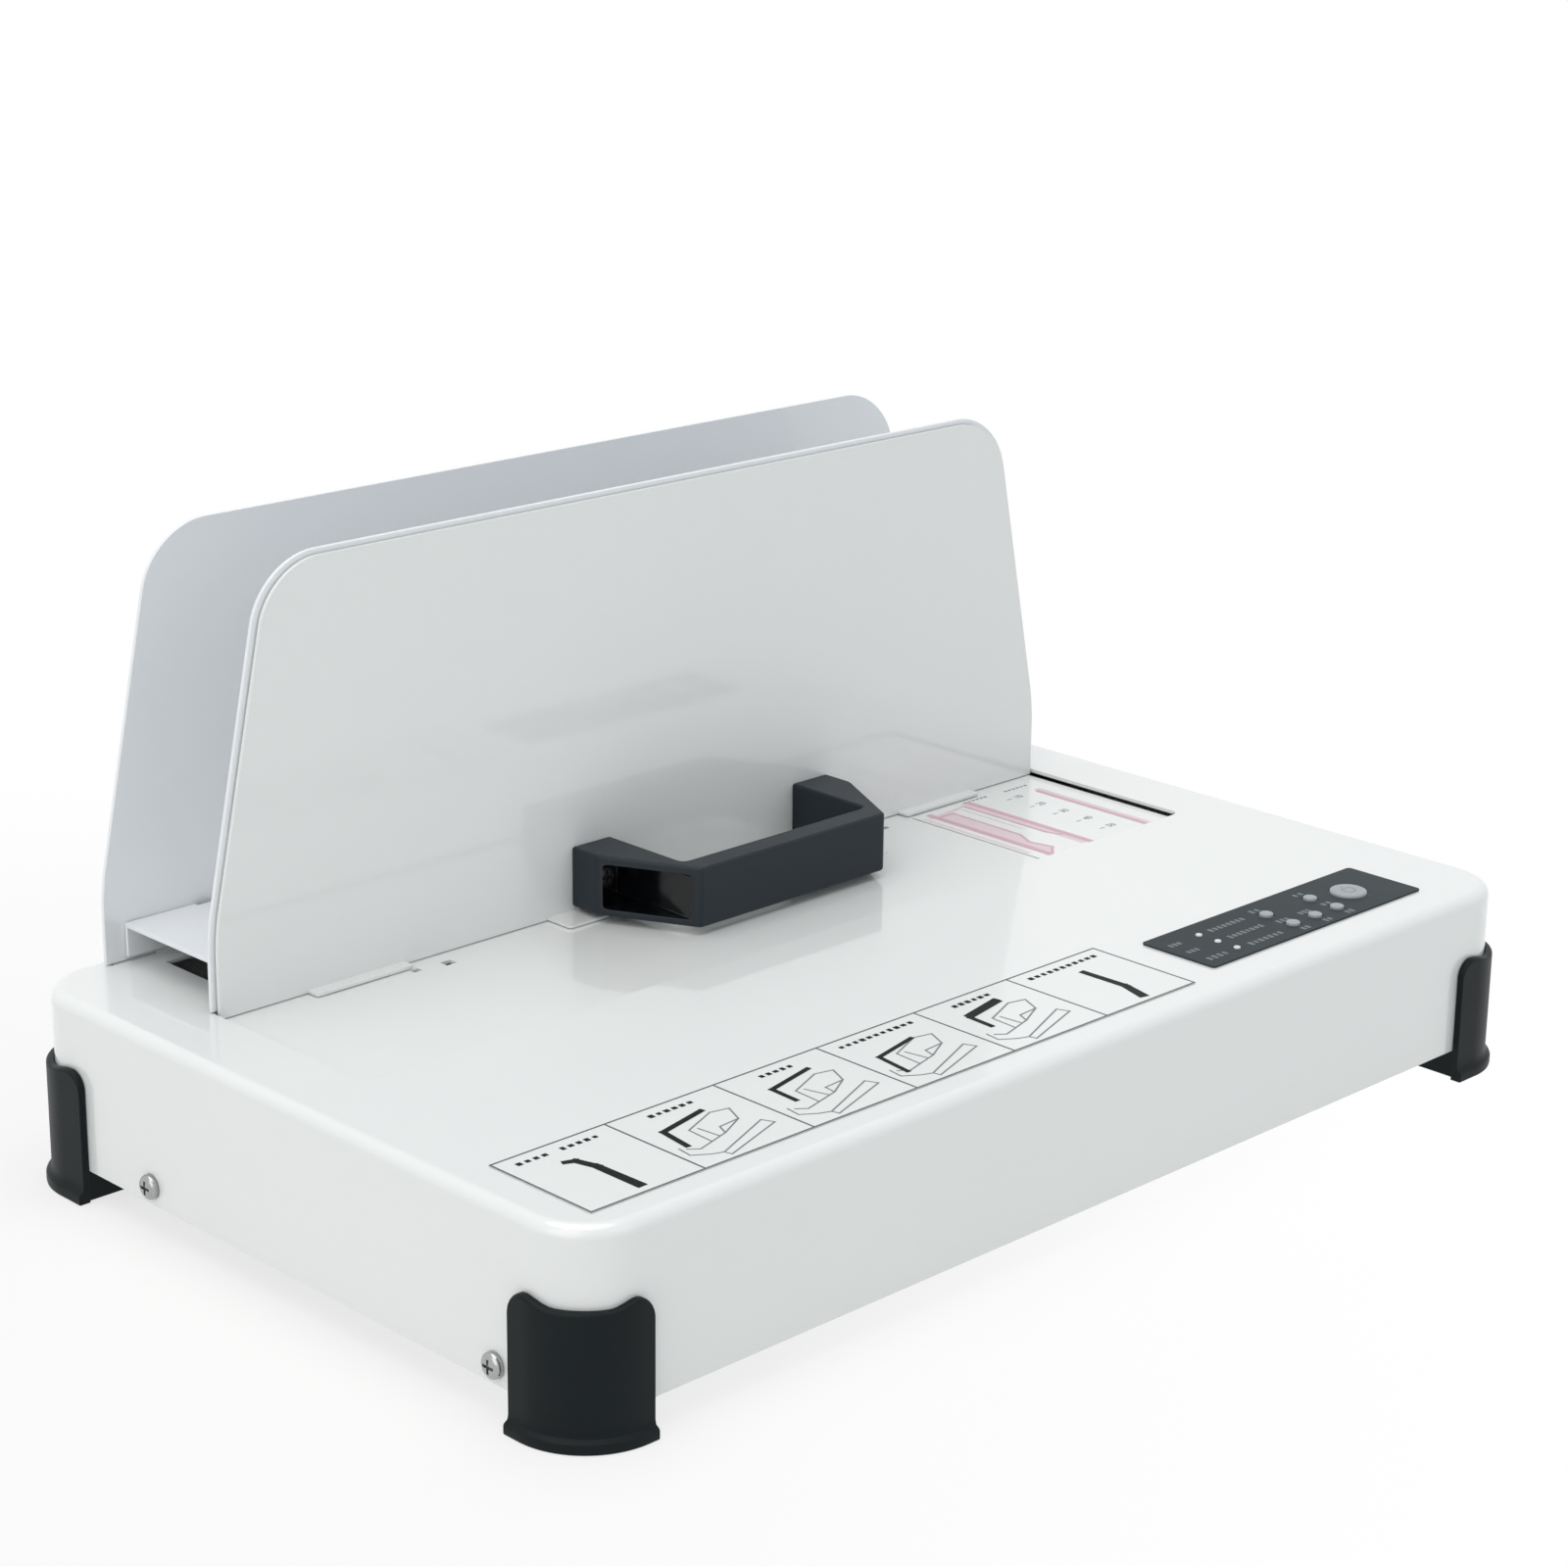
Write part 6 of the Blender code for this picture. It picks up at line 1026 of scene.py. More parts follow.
@dataclass
class Clamp:
    """What slides forward: the clamp plate, the sheet at its foot and the slide blocks."""

    foot: float = 0.0561
    front: float = 0.0583
    inset: float = 0.0016
    end_tab: Triple = (0.1004, 0.1342, 0.0043)
    middle_tab: Triple = (-0.0472, 0.0768, 0.010)
    tab_sheet: float = 0.0008
    tab_round: float = 0.001
    slots: tuple[tuple[float, float, float, float], ...] = (
        (-0.1022, -0.0994, 0.0516, 0.0537), (-0.0920, -0.0884, 0.0498, 0.0530),
        (0.0860, 0.0892, 0.0510, 0.0528))
    slot_cut: Pair = (-0.003, 0.002)
    soft: float = 0.0003
    sheet_soft: float = 0.0002
    block_soft: float = 0.0004

    def build(self) -> None:
        """Build the plate with its tabs, the slide sheet and the blocks."""
        plate = Upright(inset=self.inset, foot=self.foot, front=self.front).plate()
        inner, outer, reach = self.end_tab
        end_tabs = [(left, right, reach) for left, right in mirrored(inner, outer)]
        for left, right, depth in (*end_tabs, self.middle_tab):
            tab = Shape().block((left, self.front - depth, self.foot),
                                (right, self.front + self.tab_sheet / 2,
                                 self.foot + self.tab_sheet))
            free = along(UP, lambda spot: spot.y < self.front)
            tab.round(free, self.tab_round, SMALL_STEPS)
            plate = plate.plus(tab)
        plate.piece("clamp_plate_painted", WHITE_PAINT, "clamp", ["clamp_plate"], self.soft)
        sheet, top = copied("slide_deck"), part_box("slide_deck")[1].z
        below, above = self.slot_cut
        for left, right, near, far in self.slots:
            sheet = sheet.minus(Shape().block((left, near, top + below), (right, far, top + above)))
        sheet.piece("slide_sheet_painted", WHITE_PAINT, "clamp", ["slide_deck"], self.sheet_soft)
        for node in ("slide_block_left", "slide_block_right"):
            copied(node).piece(f"{node}_moulded", ACETAL, "clamp", [node], self.block_soft)


@dataclass
class Handle:
    """The black bridge handle; each slanted end has a glossy pocket, a darker black painting its
    shade.
    """

    centre: float = 0.0148
    half: float = 0.0527
    inner: float = 0.0376
    back: float = 0.058
    front: float = 0.0185
    bar: float = 0.0082
    bar_half: float = 0.038
    side_depth: float = 0.0104
    low: float = 0.0582
    high: float = 0.0766
    outer_round: float = 0.0013
    inner_round: float = 0.002
    rim_round: float = 0.0009
    pocket: tuple[float, float, float, float] = (0.0392, 0.0517, 0.0604, 0.0741)
    pocket_round: float = 0.001
    pocket_floor: float = 0.0536
    pocket_overrun: float = 0.002
    screw_head: Pair = (0.0037, 0.0024)
    screw_shank: Pair = (0.0019, 0.005)
    screw_sink: float = 0.0003
    soft: float = 0.00025
    margin: float = 1e-5
    level: float = 0.05

    def bar_shape(self) -> Shape:
        """Make the handle's body with its rounded edges.

        Returns:
            The body, without its pockets.
        """
        inner_y, slant_y = self.front + self.bar, self.back - self.side_depth
        inside = [(self.inner, self.back), (self.inner, inner_y)]
        outside = [(self.bar_half, self.front), (self.half, slant_y), (self.half, self.back)]
        outline = [(-x, y) for x, y in inside] + inside[::-1]
        outline += outside[::-1] + [(-x, y) for x, y in outside]
        shape = Shape().slab([(self.centre + x, y, self.low) for x, y in outline],
                             UP * (self.high - self.low))
        shape.round(along(UP, lambda spot: abs(spot.y - inner_y) < NEAR), self.inner_round)
        outer = along(UP, lambda spot: spot.y < self.front + NEAR or abs(spot.y - slant_y) < NEAR)
        shape.round(outer, self.outer_round)
        rear = beyond(BACK, self.back)
        return shape.round(lambda edge: self.is_rim(edge) and not rear(edge),
                           self.rim_round, SMALL_STEPS)

    def is_rim(self, edge: bmesh.types.BMEdge) -> bool:
        """Return whether an edge lies in the handle's underside or its top."""
        return any(all(abs(vert.co.z - level) < NEAR for vert in edge.verts)
                   for level in (self.low, self.high))

    def build(self) -> None:
        """Build the handle and the screws in its pockets."""
        shape = self.bar_shape()
        near, far, low, high = self.pocket
        spans = [(self.centre + left, self.centre + right) for left, right in mirrored(near, far)]
        for left, right in spans:
            cutter = Shape().block((left, self.front - self.pocket_overrun, low),
                                   (right, self.pocket_floor, high))
            shape = shape.minus(cutter.round(along(BACK), self.pocket_round, SMALL_STEPS))
        made = shape.piece("bridge_handle", BLACK_PLASTIC, "clamp", ["handle"], self.soft)
        # The pockets' walls and floor take the darker black that paints their shade.
        made.data.materials.append(POCKET_SHADE_BLACK.material())
        for face in made.data.polygons:
            if any(left - self.margin < face.center.x < right + self.margin
                   for left, right in spans):
                face.material_index = int(self.is_pocket(face, spans))
        for name in ("left", "right"):
            node = f"handle_screw_{name}"
            seat = Vector((centre_of(node).x, self.pocket_floor - self.screw_sink,
                           (low + high) / 2))
            Screw(f"pocket_screw_{name}", node, "clamp", seat, BACK, *self.screw_head,
                  *self.screw_shank, DARK_SCREW).build()

    def is_pocket(self, face: bpy.types.MeshPolygon, spans: list[Pair]) -> bool:
        """Say whether a face is a wall or the floor of a pocket.

        Args:
            face: The face.
            spans: How far each pocket reaches along X.

        Returns:
            True on a wall or floor.
        """
        low, high = self.pocket[2:]
        spot, near = face.center, self.pocket_round
        if not low - self.margin < spot.z < high + self.margin:
            return False
        if abs(spot.y - self.pocket_floor) < self.margin:
            return True
        near_wall = any(abs(spot.x - wall) < near for span in spans for wall in span)
        near_end = min(spot.z - low, high - spot.z) < near
        return abs(face.normal.y) < self.level and (near_wall or near_end)


class Ink:
    """Flat printed marks, a hair's breadth thick, that lie on a film."""

    def __init__(self, origin: Point, level: float) -> None:
        """Start a print.

        Args:
            origin: The X and Y that the marks are measured from.
            level: The height of the film.
        """
        self.origin = Vector((origin[0], origin[1], level))
        self.thickness = INK
        self.shape = Shape()

    def area(self, corners: Iterable[Point]) -> "Ink":
        """Add a filled area, a hair above the one before, so that no two tops coincide.

        Args:
            corners: Its corners, in millimetres.

        Returns:
            The print.
        """
        outline = [self.origin + Vector((x, y, 0)) / PER_METRE for x, y in corners]
        self.shape.slab(outline, UP * self.thickness)
        self.thickness += INK_STEP
        return self

    def stroke(self, points: Iterable[Point], *widths: float, shift: float = 0.0) -> "Ink":
        """Add a line through points.

        Args:
            points: The points, in millimetres.
            widths: One width for the whole line, or one at each point, in millimetres.
            shift: How far the line is moved along X.

        Returns:
            The print.
        """
        spots = [Vector((shift + x, y)) for x, y in points]
        sizes = widths if len(widths) > 1 else widths * len(spots)
        for start, end, first, second in zip(spots, spots[1:], sizes, sizes[1:]):
            run = (end - start).normalized() / 2
            side = Vector((-run.y, run.x))
            tail, head = start - run * first, end + run * second
            self.area((tail + side * first, tail - side * first,
                       head - side * second, head + side * second))
        return self

    def words(self, start: Point, end: Point, height: float, pitch: float, seed: int) -> "Ink":
        """Add a row of small plain blocks where a line of words would stand.

        Args:
            start: Where the row starts, in millimetres.
            end: Where it ends.
            height: How tall a block is.
            pitch: How far the blocks stand apart.
            seed: What the small differences between the blocks come from.

        Returns:
            The print.
        """
        dice = random.Random(seed)
        begin, run = Vector(start), Vector(end) - Vector(start)
        count = max(1, round(run.length / pitch))
        for step in range(count):
            spot = begin + run * (step + 0.5) / count
            half, size = pitch * dice.uniform(*WORD_WIDTHS), height * dice.uniform(*WORD_HEIGHTS)
            self.area((spot.x + x * half, spot.y + y * size)
                      for x, y in ((-1, -1), (1, -1), (1, 1), (-1, 1)))
        return self

    def piece(self, name: str, finish: Finish, body: str) -> None:
        """Finish the print as a piece."""
        self.shape.piece(name, finish, body)


@dataclass
class Panel:
    """The control panel: a grey film, its marks, the keys and the lamps' lenses.

    Lengths are in metres. The marks and the power sign are in millimetres.
    """

    centre: Pair = (0.1105, -0.0889)
    face: float = 0.0581
    soft: float = 0.00012
    cap: float = 0.0029
    stem: float = 0.0013
    small_edge: float = 0.0005
    power_edge: float = 0.0007
    lamp_x: float = 0.0785
    lamp_steps: Triple = (0.006, -0.001, -0.008)
    lens_radius: float = 0.00105
    lens_height: float = 0.00055
    lens_edge: float = 0.0004
    lens_sides: int = 24
    word_height: float = 2.4
    word_pitch: float = 2.1
    rows: tuple[Triple, ...] = (
        (-27.4, -11.0, 6.2), (-27.4, -11.4, -1.1), (-27.4, -11.8, -8.6), (-46.0, -40.6, 5.6),
        (-46.0, -40.6, -1.0), (-46.0, -36.8, -8.4), (-6.4, -1.6, 8.0), (14.5, 19.5, 8.2),
        (-6.8, -1.2, -2.6), (3.8, 9.2, -2.4), (14.8, 19.4, -2.2), (-6.0, -2.0, -11.0),
        (4.6, 8.4, -11.0), (15.0, 18.9, -11.0))
    sign_line: float = 0.45
    sign_radius: float = 2.1
    sign_bar: Pair = (0.8, 2.6)
    sign_angles: tuple[int, ...] = tuple(range(40, 321, 14))

    def lamp_spots(self) -> list[Vector]:
        """Return the places of the three lamps, at the film's face."""
        return [Vector((self.lamp_x, self.centre[1] + step, self.face))
                for step in self.lamp_steps]

    def build(self) -> None:
        """Build the film, keys, lenses and marks."""
        film = copied("panel_overlay")
        film.piece("panel_film", PANEL_FILM, "base", ["panel_overlay"], self.soft)
        for node in KEYS:
            self.build_key(node)
        for spot, name in zip(self.lamp_spots(), ("upper", "middle", "lower")):
            profile = disc(self.lens_radius, self.lens_height, self.lens_edge)
            lens = Shape().turned(profile, spot, UP, self.lens_sides)
            lens.piece(f"lamp_lens_{name}", LENS_WHITE, "base")
        marks = Ink(self.centre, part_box("panel_overlay")[1].z)
        for seed, (start, end, y) in enumerate(self.rows):
            marks.words((start, y), (end, y), self.word_height, self.word_pitch, seed)
        marks.piece("panel_marks", MARK_GREY, "base")
        key = centre_of("power_key")
        sign = Ink((key.x, key.y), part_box("power_key")[1].z)
        angles = [math.radians(angle) for angle in self.sign_angles]
        sign.stroke([(self.sign_radius * math.sin(angle), self.sign_radius * math.cos(angle))
                     for angle in angles], self.sign_line)
        sign.stroke([(0.0, height) for height in self.sign_bar], self.sign_line)
        sign.piece("power_sign", SIGN_GREY, "power_key")

    def build_key(self, node: str) -> None:
        """Build one key with a rounded cap.

        Args:
            node: The key's node.
        """
        low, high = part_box(node)
        middle, base = centre_of(node), high.z - low.z - self.cap
        edge = self.power_edge if node == "power_key" else self.small_edge
        rim = disc((high.x - low.x) / 2, self.cap, edge)[1:]
        profile = [(0.0, 0.0), (self.stem, 0.0), (self.stem, base)]
        profile += [(radius, height + base) for radius, height in rim]
        shape = Shape().turned(profile, (middle.x, middle.y, low.z), UP)
        shape.piece(f"{node}_cap", KEY_GREY, node, [node])


@dataclass
class InstructionLabel:
    """The clear label of six outlined cells with line drawings of the machine and a book.

    Prints are in millimetres from the label's left front corner, or from that of a cell.
    """

    cells: int = 6
    cell: float = 37.4
    line: float = 0.6
    divider_share: float = 1.5
    thin: float = 0.5
    word_height: float = 1.75
    word_pitch: float = 2.55
    word_line: float = 33.0
    word_rows: tuple[Pair, ...] = (
        (4.5, 15.4), (18.6, 31.8), (48.0, 63.9), (86.8, 99.4), (116.2, 145.0), (160.1, 175.6),
        (191.3, 220.4))
    drawings: tuple[tuple[int, float], ...] = ((1, 0.0), (2, 1.2), (3, 0.6), (4, 0.0))
    strokes: tuple[tuple[int, tuple[Pair, ...], tuple[float, ...]], ...] = (
        (0, ((14.8, 26.2), (17.2, 25.2), (18.9, 19.4), (19.2, 4.4)), (1.9, 2.3, 2.6, 3.1)),
        (5, ((20.4, 26.4), (20.9, 11.6), (18.8, 4.0)), (2.2, 2.5, 3.2)),
        (1, ((23.6, 27.2), (7.4, 23.6), (6.0, 13.4)), (1.8,)),
        (2, ((25.7, 28.7), (9.1, 24.9), (8.7, 15.8)), (1.6,)),
        (3, ((23.6, 25.1), (7.7, 21.5), (6.2, 9.8)), (1.5,)),
        (4, ((23.6, 27.6), (8.9, 24.6), (8.5, 16.5)), (1.7,)),
        (4, ((9.6, 25.8), (23.4, 28.8)), (2.2,)))
    soft: float = 0.00005

    def build(self) -> None:
        """Build the film and print it."""
        low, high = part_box("instruction_label")
        film = copied("instruction_label")
        film.piece("instruction_film", LABEL_WHITE, "base", ["instruction_label"],
                   self.soft, 1)
        lines = self.outline(Ink(low, high.z), (high - low) * PER_METRE)
        lines.piece("instruction_lines", LABEL_LINE, "base")
        self.sketches(Ink(low, high.z)).piece("instruction_sketches", LABEL_SKETCH, "base")
        bold = self.bold(Ink(low, high.z + INK_LAYER))
        bold.piece("instruction_bold", LABEL_INK, "base")

    def outline(self, ink: Ink, size: Vector) -> Ink:
        """Print the frame and its dividers.

        Args:
            ink: The print.
            size: The label's size, in millimetres.

        Returns:
            The print.
        """
        edge = self.line / 2
        width, depth = size.x - edge, size.y - edge
        corners = [(edge, edge), (width, edge), (width, depth), (edge, depth), (edge, edge)]
        ink.stroke(corners, self.line)
        for step in range(1, self.cells):
            divider = ((0.0, self.line * self.divider_share), (0.0, depth - self.line))
            ink.stroke(divider, self.line, shift=self.cell * step)
        return ink

    def sketches(self, ink: Ink) -> Ink:
        """Print the thin lines of the four machine drawings.

        Args:
            ink: The print.

        Returns:
            The print.
        """
        for step, opening in self.drawings:
            lines = (
                ((10.2, 4.4), (30.8, 12.8), (32.4, 9.4), (10.8, 2.2), (10.2, 4.4)),
                ((7.2, 9.7), (18.6 + opening, 12.9), (27.2, 17.2), (30.0, 23.6)),
                ((12.9, 20.1), (24.5, 24.9), (30.0, 23.6)),
                ((12.9, 20.1), (12.4, 11.2)),
                ((15.4, 19.4), (16.2 + opening, 12.4)),
                ((3.2, 13.2), (2.6, 8.6), (7.0, 5.6), (10.2, 4.4)),
                ((18.6 + opening, 12.9), (20.2, 16.6), (27.2, 17.2)),
                ((4.6, 11.8), (7.2, 9.7)),
            )
            for points in lines:
                ink.stroke(points, self.thin, shift=self.cell * step)
        return ink

    def bold(self, ink: Ink) -> Ink:
        """Print the bold strokes and the rows where words would stand.

        Args:
            ink: The print.

        Returns:
            The print.
        """
        for step, points, widths in self.strokes:
            ink.stroke(points, *widths, shift=self.cell * step)
        for seed, (start, end) in enumerate(self.word_rows):
            ink.words((start, self.word_line), (end, self.word_line), self.word_height,
                      self.word_pitch, seed)
        return ink


@dataclass
class RulerLabel:
    """The ruler of book thickness, numbered 10 to 50, that slides with the clamp.

    Prints are in millimetres from the machine's middle. Each line has its width first.
    """

    numeral: float = 0.0034
    numeral_x: float = 142.2
    tick: Pair = (137.0, 138.8)
    tick_line: float = 0.4
    lines: tuple[tuple[int, float], ...] = (
        (10, 44.2), (20, 34.3), (30, 24.4), (40, 14.4), (50, 4.6))
    word_height: float = 1.1
    word_pitch: float = 1.9
    word_rows: tuple[Triple, ...] = ((123.7, 135.0, 51.4), (142.4, 153.8, 50.8))
    blush_patch: tuple[Pair, ...] = (
        (107.0, 46.6), (113.8, 46.6), (113.6, 17.7), (110.4, 11.0), (112.2, 3.0), (106.6, -1.4))
    blush_lines: tuple[tuple[float, tuple[Pair, ...]], ...] = (
        (1.0, ((102.4, 48.0), (102.4, 4.0))),
        (3.0, ((123.4, 49.6), (123.4, 0.6))),
        (2.6, ((153.0, 44.6), (153.0, -1.8))),
        (0.8, ((118.6, 46.5), (118.6, 22.0))),
        (1.5, ((105.0, 47.4), (123.5, 49.4))))
    pink_lines: tuple[tuple[float, tuple[Pair, ...]], ...] = (
        (2.2, ((106.6, 49.6), (106.4, -1.6))),
        (0.9, ((107.6, 46.6), (113.8, 46.6), (113.6, 17.7), (110.4, 11.0), (112.2, 3.0),
               (107.4, -1.2))),
        (2.2, ((125.4, 50.2), (125.2, -1.6))),
        (0.8, ((121.6, 48.6), (121.6, 14.0), (123.4, 9.0))),
        (1.7, ((151.6, 43.8), (151.6, -2.0))))
    soft: float = 0.00005

    def build(self) -> None:
        """Build the film and print its stripes and numerals."""
        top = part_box("ruler_label")[1].z
        origin = (0.0, 0.0)
        film = copied("ruler_label")
        film.piece("ruler_film", LABEL_WHITE, "clamp", ["ruler_label"], self.soft, 1)
        blush = Ink(origin, top).area(self.blush_patch)
        for width, points in self.blush_lines:
            blush.stroke(points, width)
        blush.piece("ruler_blush_print", RULER_BLUSH, "clamp")
        pink = Ink(origin, top + INK_LAYER)
        for width, points in self.pink_lines:
            pink.stroke(points, width)
        pink.piece("ruler_pink_print", RULER_PINK, "clamp")
        grey = Ink(origin, top)
        for number, y in self.lines:
            place = (self.numeral_x / PER_METRE, y / PER_METRE, top)
            grey.shape.text(str(number), self.numeral, place, grey.thickness)
            grey.stroke([(x, y) for x in self.tick], self.tick_line)
        for seed, (start, end, y) in enumerate(self.word_rows):
            grey.words((start, y), (end, y), self.word_height, self.word_pitch, seed)
        grey.piece("ruler_numerals", RULER_GREY, "clamp")


@dataclass
class MainsInlet:
    """The mains inlet on the rear wall: a flange, a socket and three metal pins."""

    flange: Pair = (0.031, 0.0225)
    body: Pair = (0.027, 0.0195)
    socket: Pair = (0.0225, 0.015)
    corner: float = 0.004
    corner_steps: int = 6
    body_corner: float = 0.003
    body_steps: int = 5
    rim_round: float = 0.0006
    face: float = 0.1189
    seat: float = 0.1163
    back: float = 0.095
    floor: float = 0.1004
    overlap: float = 0.001
    overrun: float = 0.002
    pin_tip: float = 0.1129
    pin: Pair = (0.002, 0.004)
    pin_pitch: float = 0.007
    pin_drop: float = 0.0018
    soft: float = 0.0003

    def build(self) -> None:
        """Build the housing of the inlet and its pins."""
        node = "power_inlet"
        flange = rear_block(node, self.flange, self.seat, self.face)
        flange.round(along(BACK), self.corner, self.corner_steps)
        flange.round(beyond(BACK, self.face), self.rim_round, SMALL_STEPS)
        body = rear_block(node, self.body, self.back, self.seat + self.overlap)
        body.round(along(BACK), self.body_corner, self.body_steps)
        socket = rear_block(node, self.socket, self.floor, self.face + self.overrun)
        socket.round(along(BACK), self.corner, self.corner_steps)
        moulding = flange.plus(body).minus(socket)
        moulding.piece("inlet_moulding", BLACK_PLASTIC, "base", [node], self.soft)
        centre = centre_of(node)
        half_x, half_z = self.pin[0] / 2, self.pin[1] / 2
        for step, name in ((-1, "left"), (0, "middle"), (1, "right")):
            x = centre.x + step * self.pin_pitch
            z = centre.z + (-self.pin_drop if step else self.pin_drop)
            pin = Shape().block((x - half_x, self.floor - self.overlap, z - half_z),
                                (x + half_x, self.pin_tip, z + half_z))
            pin.round(beyond(BACK, self.pin_tip), self.rim_round, SMALL_STEPS)
            pin.piece(f"inlet_pin_{name}", PIN_NICKEL, "base")


@dataclass
class MainsSwitch:
    """The rocker switch beside the inlet, with its on and off signs."""

    axle: Triple = (-0.062, 0.1158, 0.0332)
    face: float = 0.0029
    slope: float = 7.9
    tilt: float = 8.0
    reach: float = 0.0036
    bar: Pair = (0.0003, 0.0013)
    ring: Pair = (0.0008, 0.0013)
    ring_sides: int = 32
    sign_lift: float = 0.00005
    sign_gap: float = 0.00002
    frame_soft: float = 0.0003
    rocker_soft: float = 0.0004

    def build(self) -> None:
        """Build the switch's frame, the rocker and its signs."""
        frame_shape, rocker = copied("rocker_switch"), copied("rocker")
        frame_shape.piece("switch_frame", BLACK_PLASTIC, "base", ["rocker_switch"],
                          self.frame_soft)
        rocker.piece("switch_rocker", ROCKER_RED, "rocker", ["rocker"], self.rocker_soft,
                     SMALL_STEPS)
        (half_x, half_y), (inner, outer), lift = self.bar, self.ring, self.sign_lift
        bar = Shape().block((-half_x, -half_y, 0), (half_x, half_y, lift))
        profile = [(inner, 0.0), (outer, 0.0), (outer, lift), (inner, lift)]
        ring = Shape().turned(profile, (0, 0, 0), UP, self.ring_sides)
        turn = Matrix.Translation(self.axle) @ Matrix.Rotation(math.radians(self.tilt), 4, "X")
        for name, half, sign in (("on", 1, bar), ("off", -1, ring)):
            lean = Matrix.Rotation(math.radians(-90 + half * self.slope), 4, "X")
            place = Matrix.Translation((0, self.face + self.sign_gap, half * self.reach))
            sign.moved(turn @ place @ lean).piece(f"switch_sign_{name}", ROCKER_MARK, "rocker")


@dataclass
class Inside:
    """What the cover hides, and what shows through the window once the clamp is drawn forward.

    A screw has its head's radius and height, and then its shank's radius.
    """

    softened: tuple[tuple[Finish, float, tuple[str, ...]], ...] = (
        (ZINC, 0.00025, ("bottom_pan", "side_bracket_left", "side_bracket_right", "heater_tray")),
        (ALUMINIUM, 0.0004, ("heating_plate",)),
        (SILICONE, 0.0004, ("heater_strip_front", "heater_strip_rear")),
        (MINERAL_BOARD, 0.0004, ("insulation_board",)),
        (CERAMIC, 0.0003, ("thermostat",)),
        (GROUND_STEEL, 0.0002, ("temperature_probe", "guide_rod_left", "guide_rod_right")),
        (BOARD_GREEN, 0.0001, ("control_board", "power_board")),
        (BLACK_PLASTIC, 0.0003, ("buzzer",)),
        (COIL, 0.0005, ("transformer",)),
        (RELAY_BLUE, 0.0004, ("relay",)))
    wires: tuple[tuple[Finish, tuple[str, ...]], ...] = (
        (SPRING_STEEL, ("return_spring_left", "return_spring_right")),
        (LEAD_BROWN, ("live_lead", "neutral_lead")),
        (LEAD_RED, ("heater_lead_front", "heater_lead_rear")),
        (RIBBON_GREY, ("ribbon_cable",)))
    leg_screw: Triple = (0.00355, 0.0022, 0.0019)
    tray_screw: Triple = (0.0026, 0.0016, 0.0014)

    def build(self) -> None:
        """Build the softened copies, dress the wires and set the inner screws."""
        for finish, width, nodes in self.softened:
            for node in nodes:
                copied(node).piece(f"{node}_finished", finish, "base", [node], width)
        for finish, nodes in self.wires:
            for node in nodes:
                dress(node, finish)
        for side in ("left", "right"):
            for node, sizes, out in ((f"leg_screw_{side}", self.leg_screw, BACK),
                                     (f"tray_screw_{side}", self.tray_screw, UP)):
                low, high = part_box(node)
                length, height = (high - low).dot(out), sizes[1]
                seat = (low + high) / 2 + out * (length / 2 - height)
                Screw(f"{node}_finished", node, "base", seat, -out, *sizes, length - height,
                      ZINC).build()


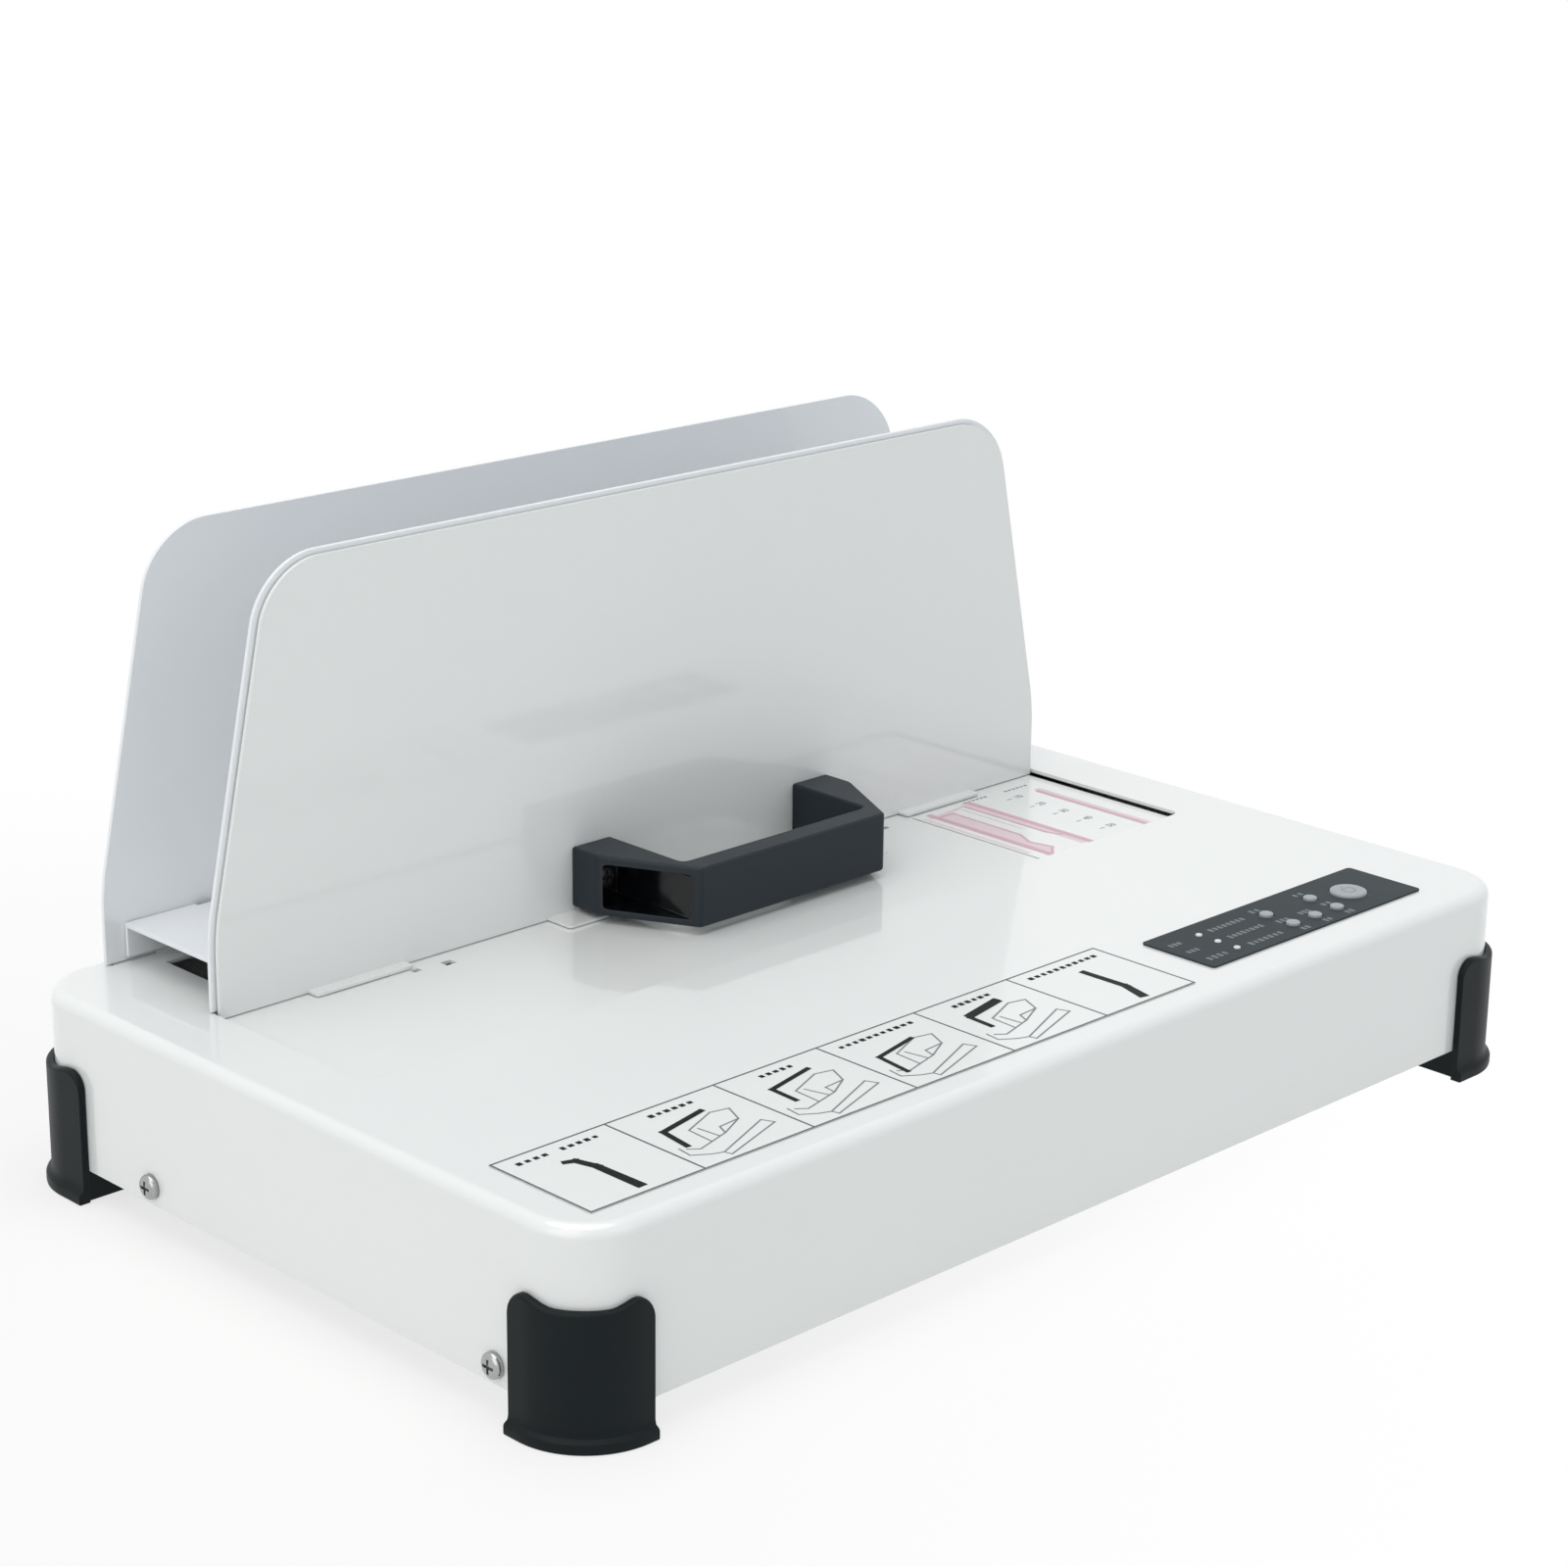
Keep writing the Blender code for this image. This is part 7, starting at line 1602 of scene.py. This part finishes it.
@dataclass
class Stage:
    """The pale floor, the soft lights and the camera.

    A lamp has its name, place, width and power. The camera's angles are in degrees, and its
    focal length is in pixels of the photograph's width.
    """

    place: Triple = (-0.6821, -0.6820, 0.4083)
    yaw: float = 44.642
    pitch: float = 17.638
    roll: float = 0.666
    focal_pixels: float = 3613.5
    image_width: float = 1600.0
    sensor: float = 36.0
    clip: Pair = (0.01, 100.0)
    ambient: float = 0.6
    sky: Triple = (0.87, 0.94, 1.0)
    lamp_colour: Triple = (1.0, 0.975, 0.935)
    lamp_aim: Triple = (0.0, 0.0, 0.06)
    lamps: tuple[tuple[str, Triple, float, float], ...] = (
        ("soft_top", (-0.3, 0.1, 2.4), 2.4, 26.5),
        ("soft_left", (-2.2, -0.6, 1.3), 2.4, 15.5),
        ("soft_front", (0.6, -2.4, 1.4), 2.0, 3.9))
    floor_radius: float = 30.0
    floor_sides: int = 96
    floor_drop: float = 0.0001
    floor_colour: Triple = (0.82, 0.815, 0.79)
    floor_roughness: float = 0.9
    floor_white: Pair = (0.68, 1.0)
    floor_shade: Triple = (-0.3, 0.1, 0.0)
    floor_reach: Pair = (0.14, 0.5)

    def build(self) -> None:
        """Build the floor, the world, the lamps and the camera."""
        self.build_floor()
        self.build_world()
        for name, place, size, power in self.lamps:
            light = bpy.data.lights.new(name, "AREA")
            light.shape, light.size, light.energy = "DISK", size, power
            light.color = self.lamp_colour
            aim = Vector(self.lamp_aim) - Vector(place)
            holder = linked(name, light)
            holder.location = place
            holder.rotation_euler = aim.to_track_quat("-Z", "Y").to_euler()
        self.build_camera()
        bpy.context.scene.view_settings.view_transform = "Standard"

    def build_floor(self) -> None:
        """Build the floor: white far off, and with the machine's soft shadow near it."""
        mesh = bmesh.new()
        bmesh.ops.create_circle(mesh, cap_ends=True, radius=self.floor_radius,
                                segments=self.floor_sides)
        bmesh.ops.translate(mesh, vec=-UP * self.floor_drop, verts=mesh.verts)
        data = bpy.data.meshes.new("pale_floor")
        mesh.to_mesh(data)
        mesh.free()
        made = bpy.data.materials.new("pale_floor")
        made.use_nodes = True
        data.materials.append(made)
        nodes, named = Nodes(made.node_tree), made.node_tree.nodes
        shader = named["Principled BSDF"]
        nodes.wire(shader, {"Base Color": (*self.floor_colour, 1.0),
                            "Roughness": self.floor_roughness, "Specular IOR Level": 0.0})
        place = nodes.add("TexCoord", {}, "Object")
        away = nodes.add("VectorMath", {0: place, 1: self.floor_shade}, "Value",
                         operation="DISTANCE")
        white = nodes.spread(away, self.floor_reach, self.floor_white, "SMOOTHSTEP")
        share = nodes.add("Math", {0: white, 1: nodes.background_ray()}, operation="MULTIPLY")
        glow = nodes.add("Emission", {})
        both = nodes.add("MixShader", {"Fac": share, 1: shader.outputs["BSDF"], 2: glow})
        nodes.wire(named["Material Output"], {"Surface": both})
        floor = linked("pale_floor", data)

    def build_world(self) -> None:
        """Build a world that lights softly, and shows as white where it is seen or mirrored."""
        world = bpy.data.worlds.new("soft_room")
        bpy.context.scene.world = world
        world.use_nodes = True
        nodes, named = Nodes(world.node_tree), world.node_tree.nodes
        soft = named["Background"]
        nodes.wire(soft, {"Color": (*self.sky, 1.0), "Strength": self.ambient})
        white = nodes.add("Background", {"Color": (1.0, 1.0, 1.0, 1.0)})
        both = nodes.add("MixShader", {"Fac": nodes.background_ray(),
                                       1: soft.outputs["Background"], 2: white})
        nodes.wire(named["World Output"], {"Surface": both})

    def build_camera(self) -> None:
        """Set the camera where the photograph was taken from."""
        yaw, pitch, roll = (math.radians(angle) for angle in (self.yaw, self.pitch, self.roll))
        ahead = Vector((math.sin(yaw) * math.cos(pitch), math.cos(yaw) * math.cos(pitch),
                        -math.sin(pitch)))
        level = Vector((math.cos(yaw), -math.sin(yaw), 0))
        rise = level.cross(ahead)
        right = level * math.cos(roll) + rise * math.sin(roll)
        above = -level * math.sin(roll) + rise * math.cos(roll)
        data = bpy.data.cameras.new("studio_camera")
        data.sensor_width = self.sensor
        data.lens = self.focal_pixels / self.image_width * self.sensor
        data.clip_start, data.clip_end = self.clip
        camera = linked("studio_camera", data)
        turn = Matrix((right, above, -ahead)).transposed().to_4x4()
        camera.matrix_world = Matrix.Translation(self.place) @ turn
        bpy.context.scene.camera = camera


def main() -> None:
    """Build the stage and the machine, from the outside in."""
    logging.basicConfig(level=logging.INFO, format="%(message)s")
    boots = [
        Boot("foot_front_left", -1, -1, ear_side=0.0054, ear_front=0.0033, pad_side=0.0052,
             pad_front=0.0031),
        Boot("foot_front_right", 1, -1, ear_front=0.008),
        Boot("foot_rear_left", -1, 1, ear_side=0.0094),
        Boot("foot_rear_right", 1, 1),
    ]
    for part in (Stage(), Cover(), *boots, CoverScrews(), Rack(), Clamp(), Handle(), Panel(),
                 InstructionLabel(), RulerLabel(), MainsInlet(), MainsSwitch(), Inside()):
        part.build()
        LOG.info("%s is built", type(part).__name__)


if __name__ == "__main__":
    main()
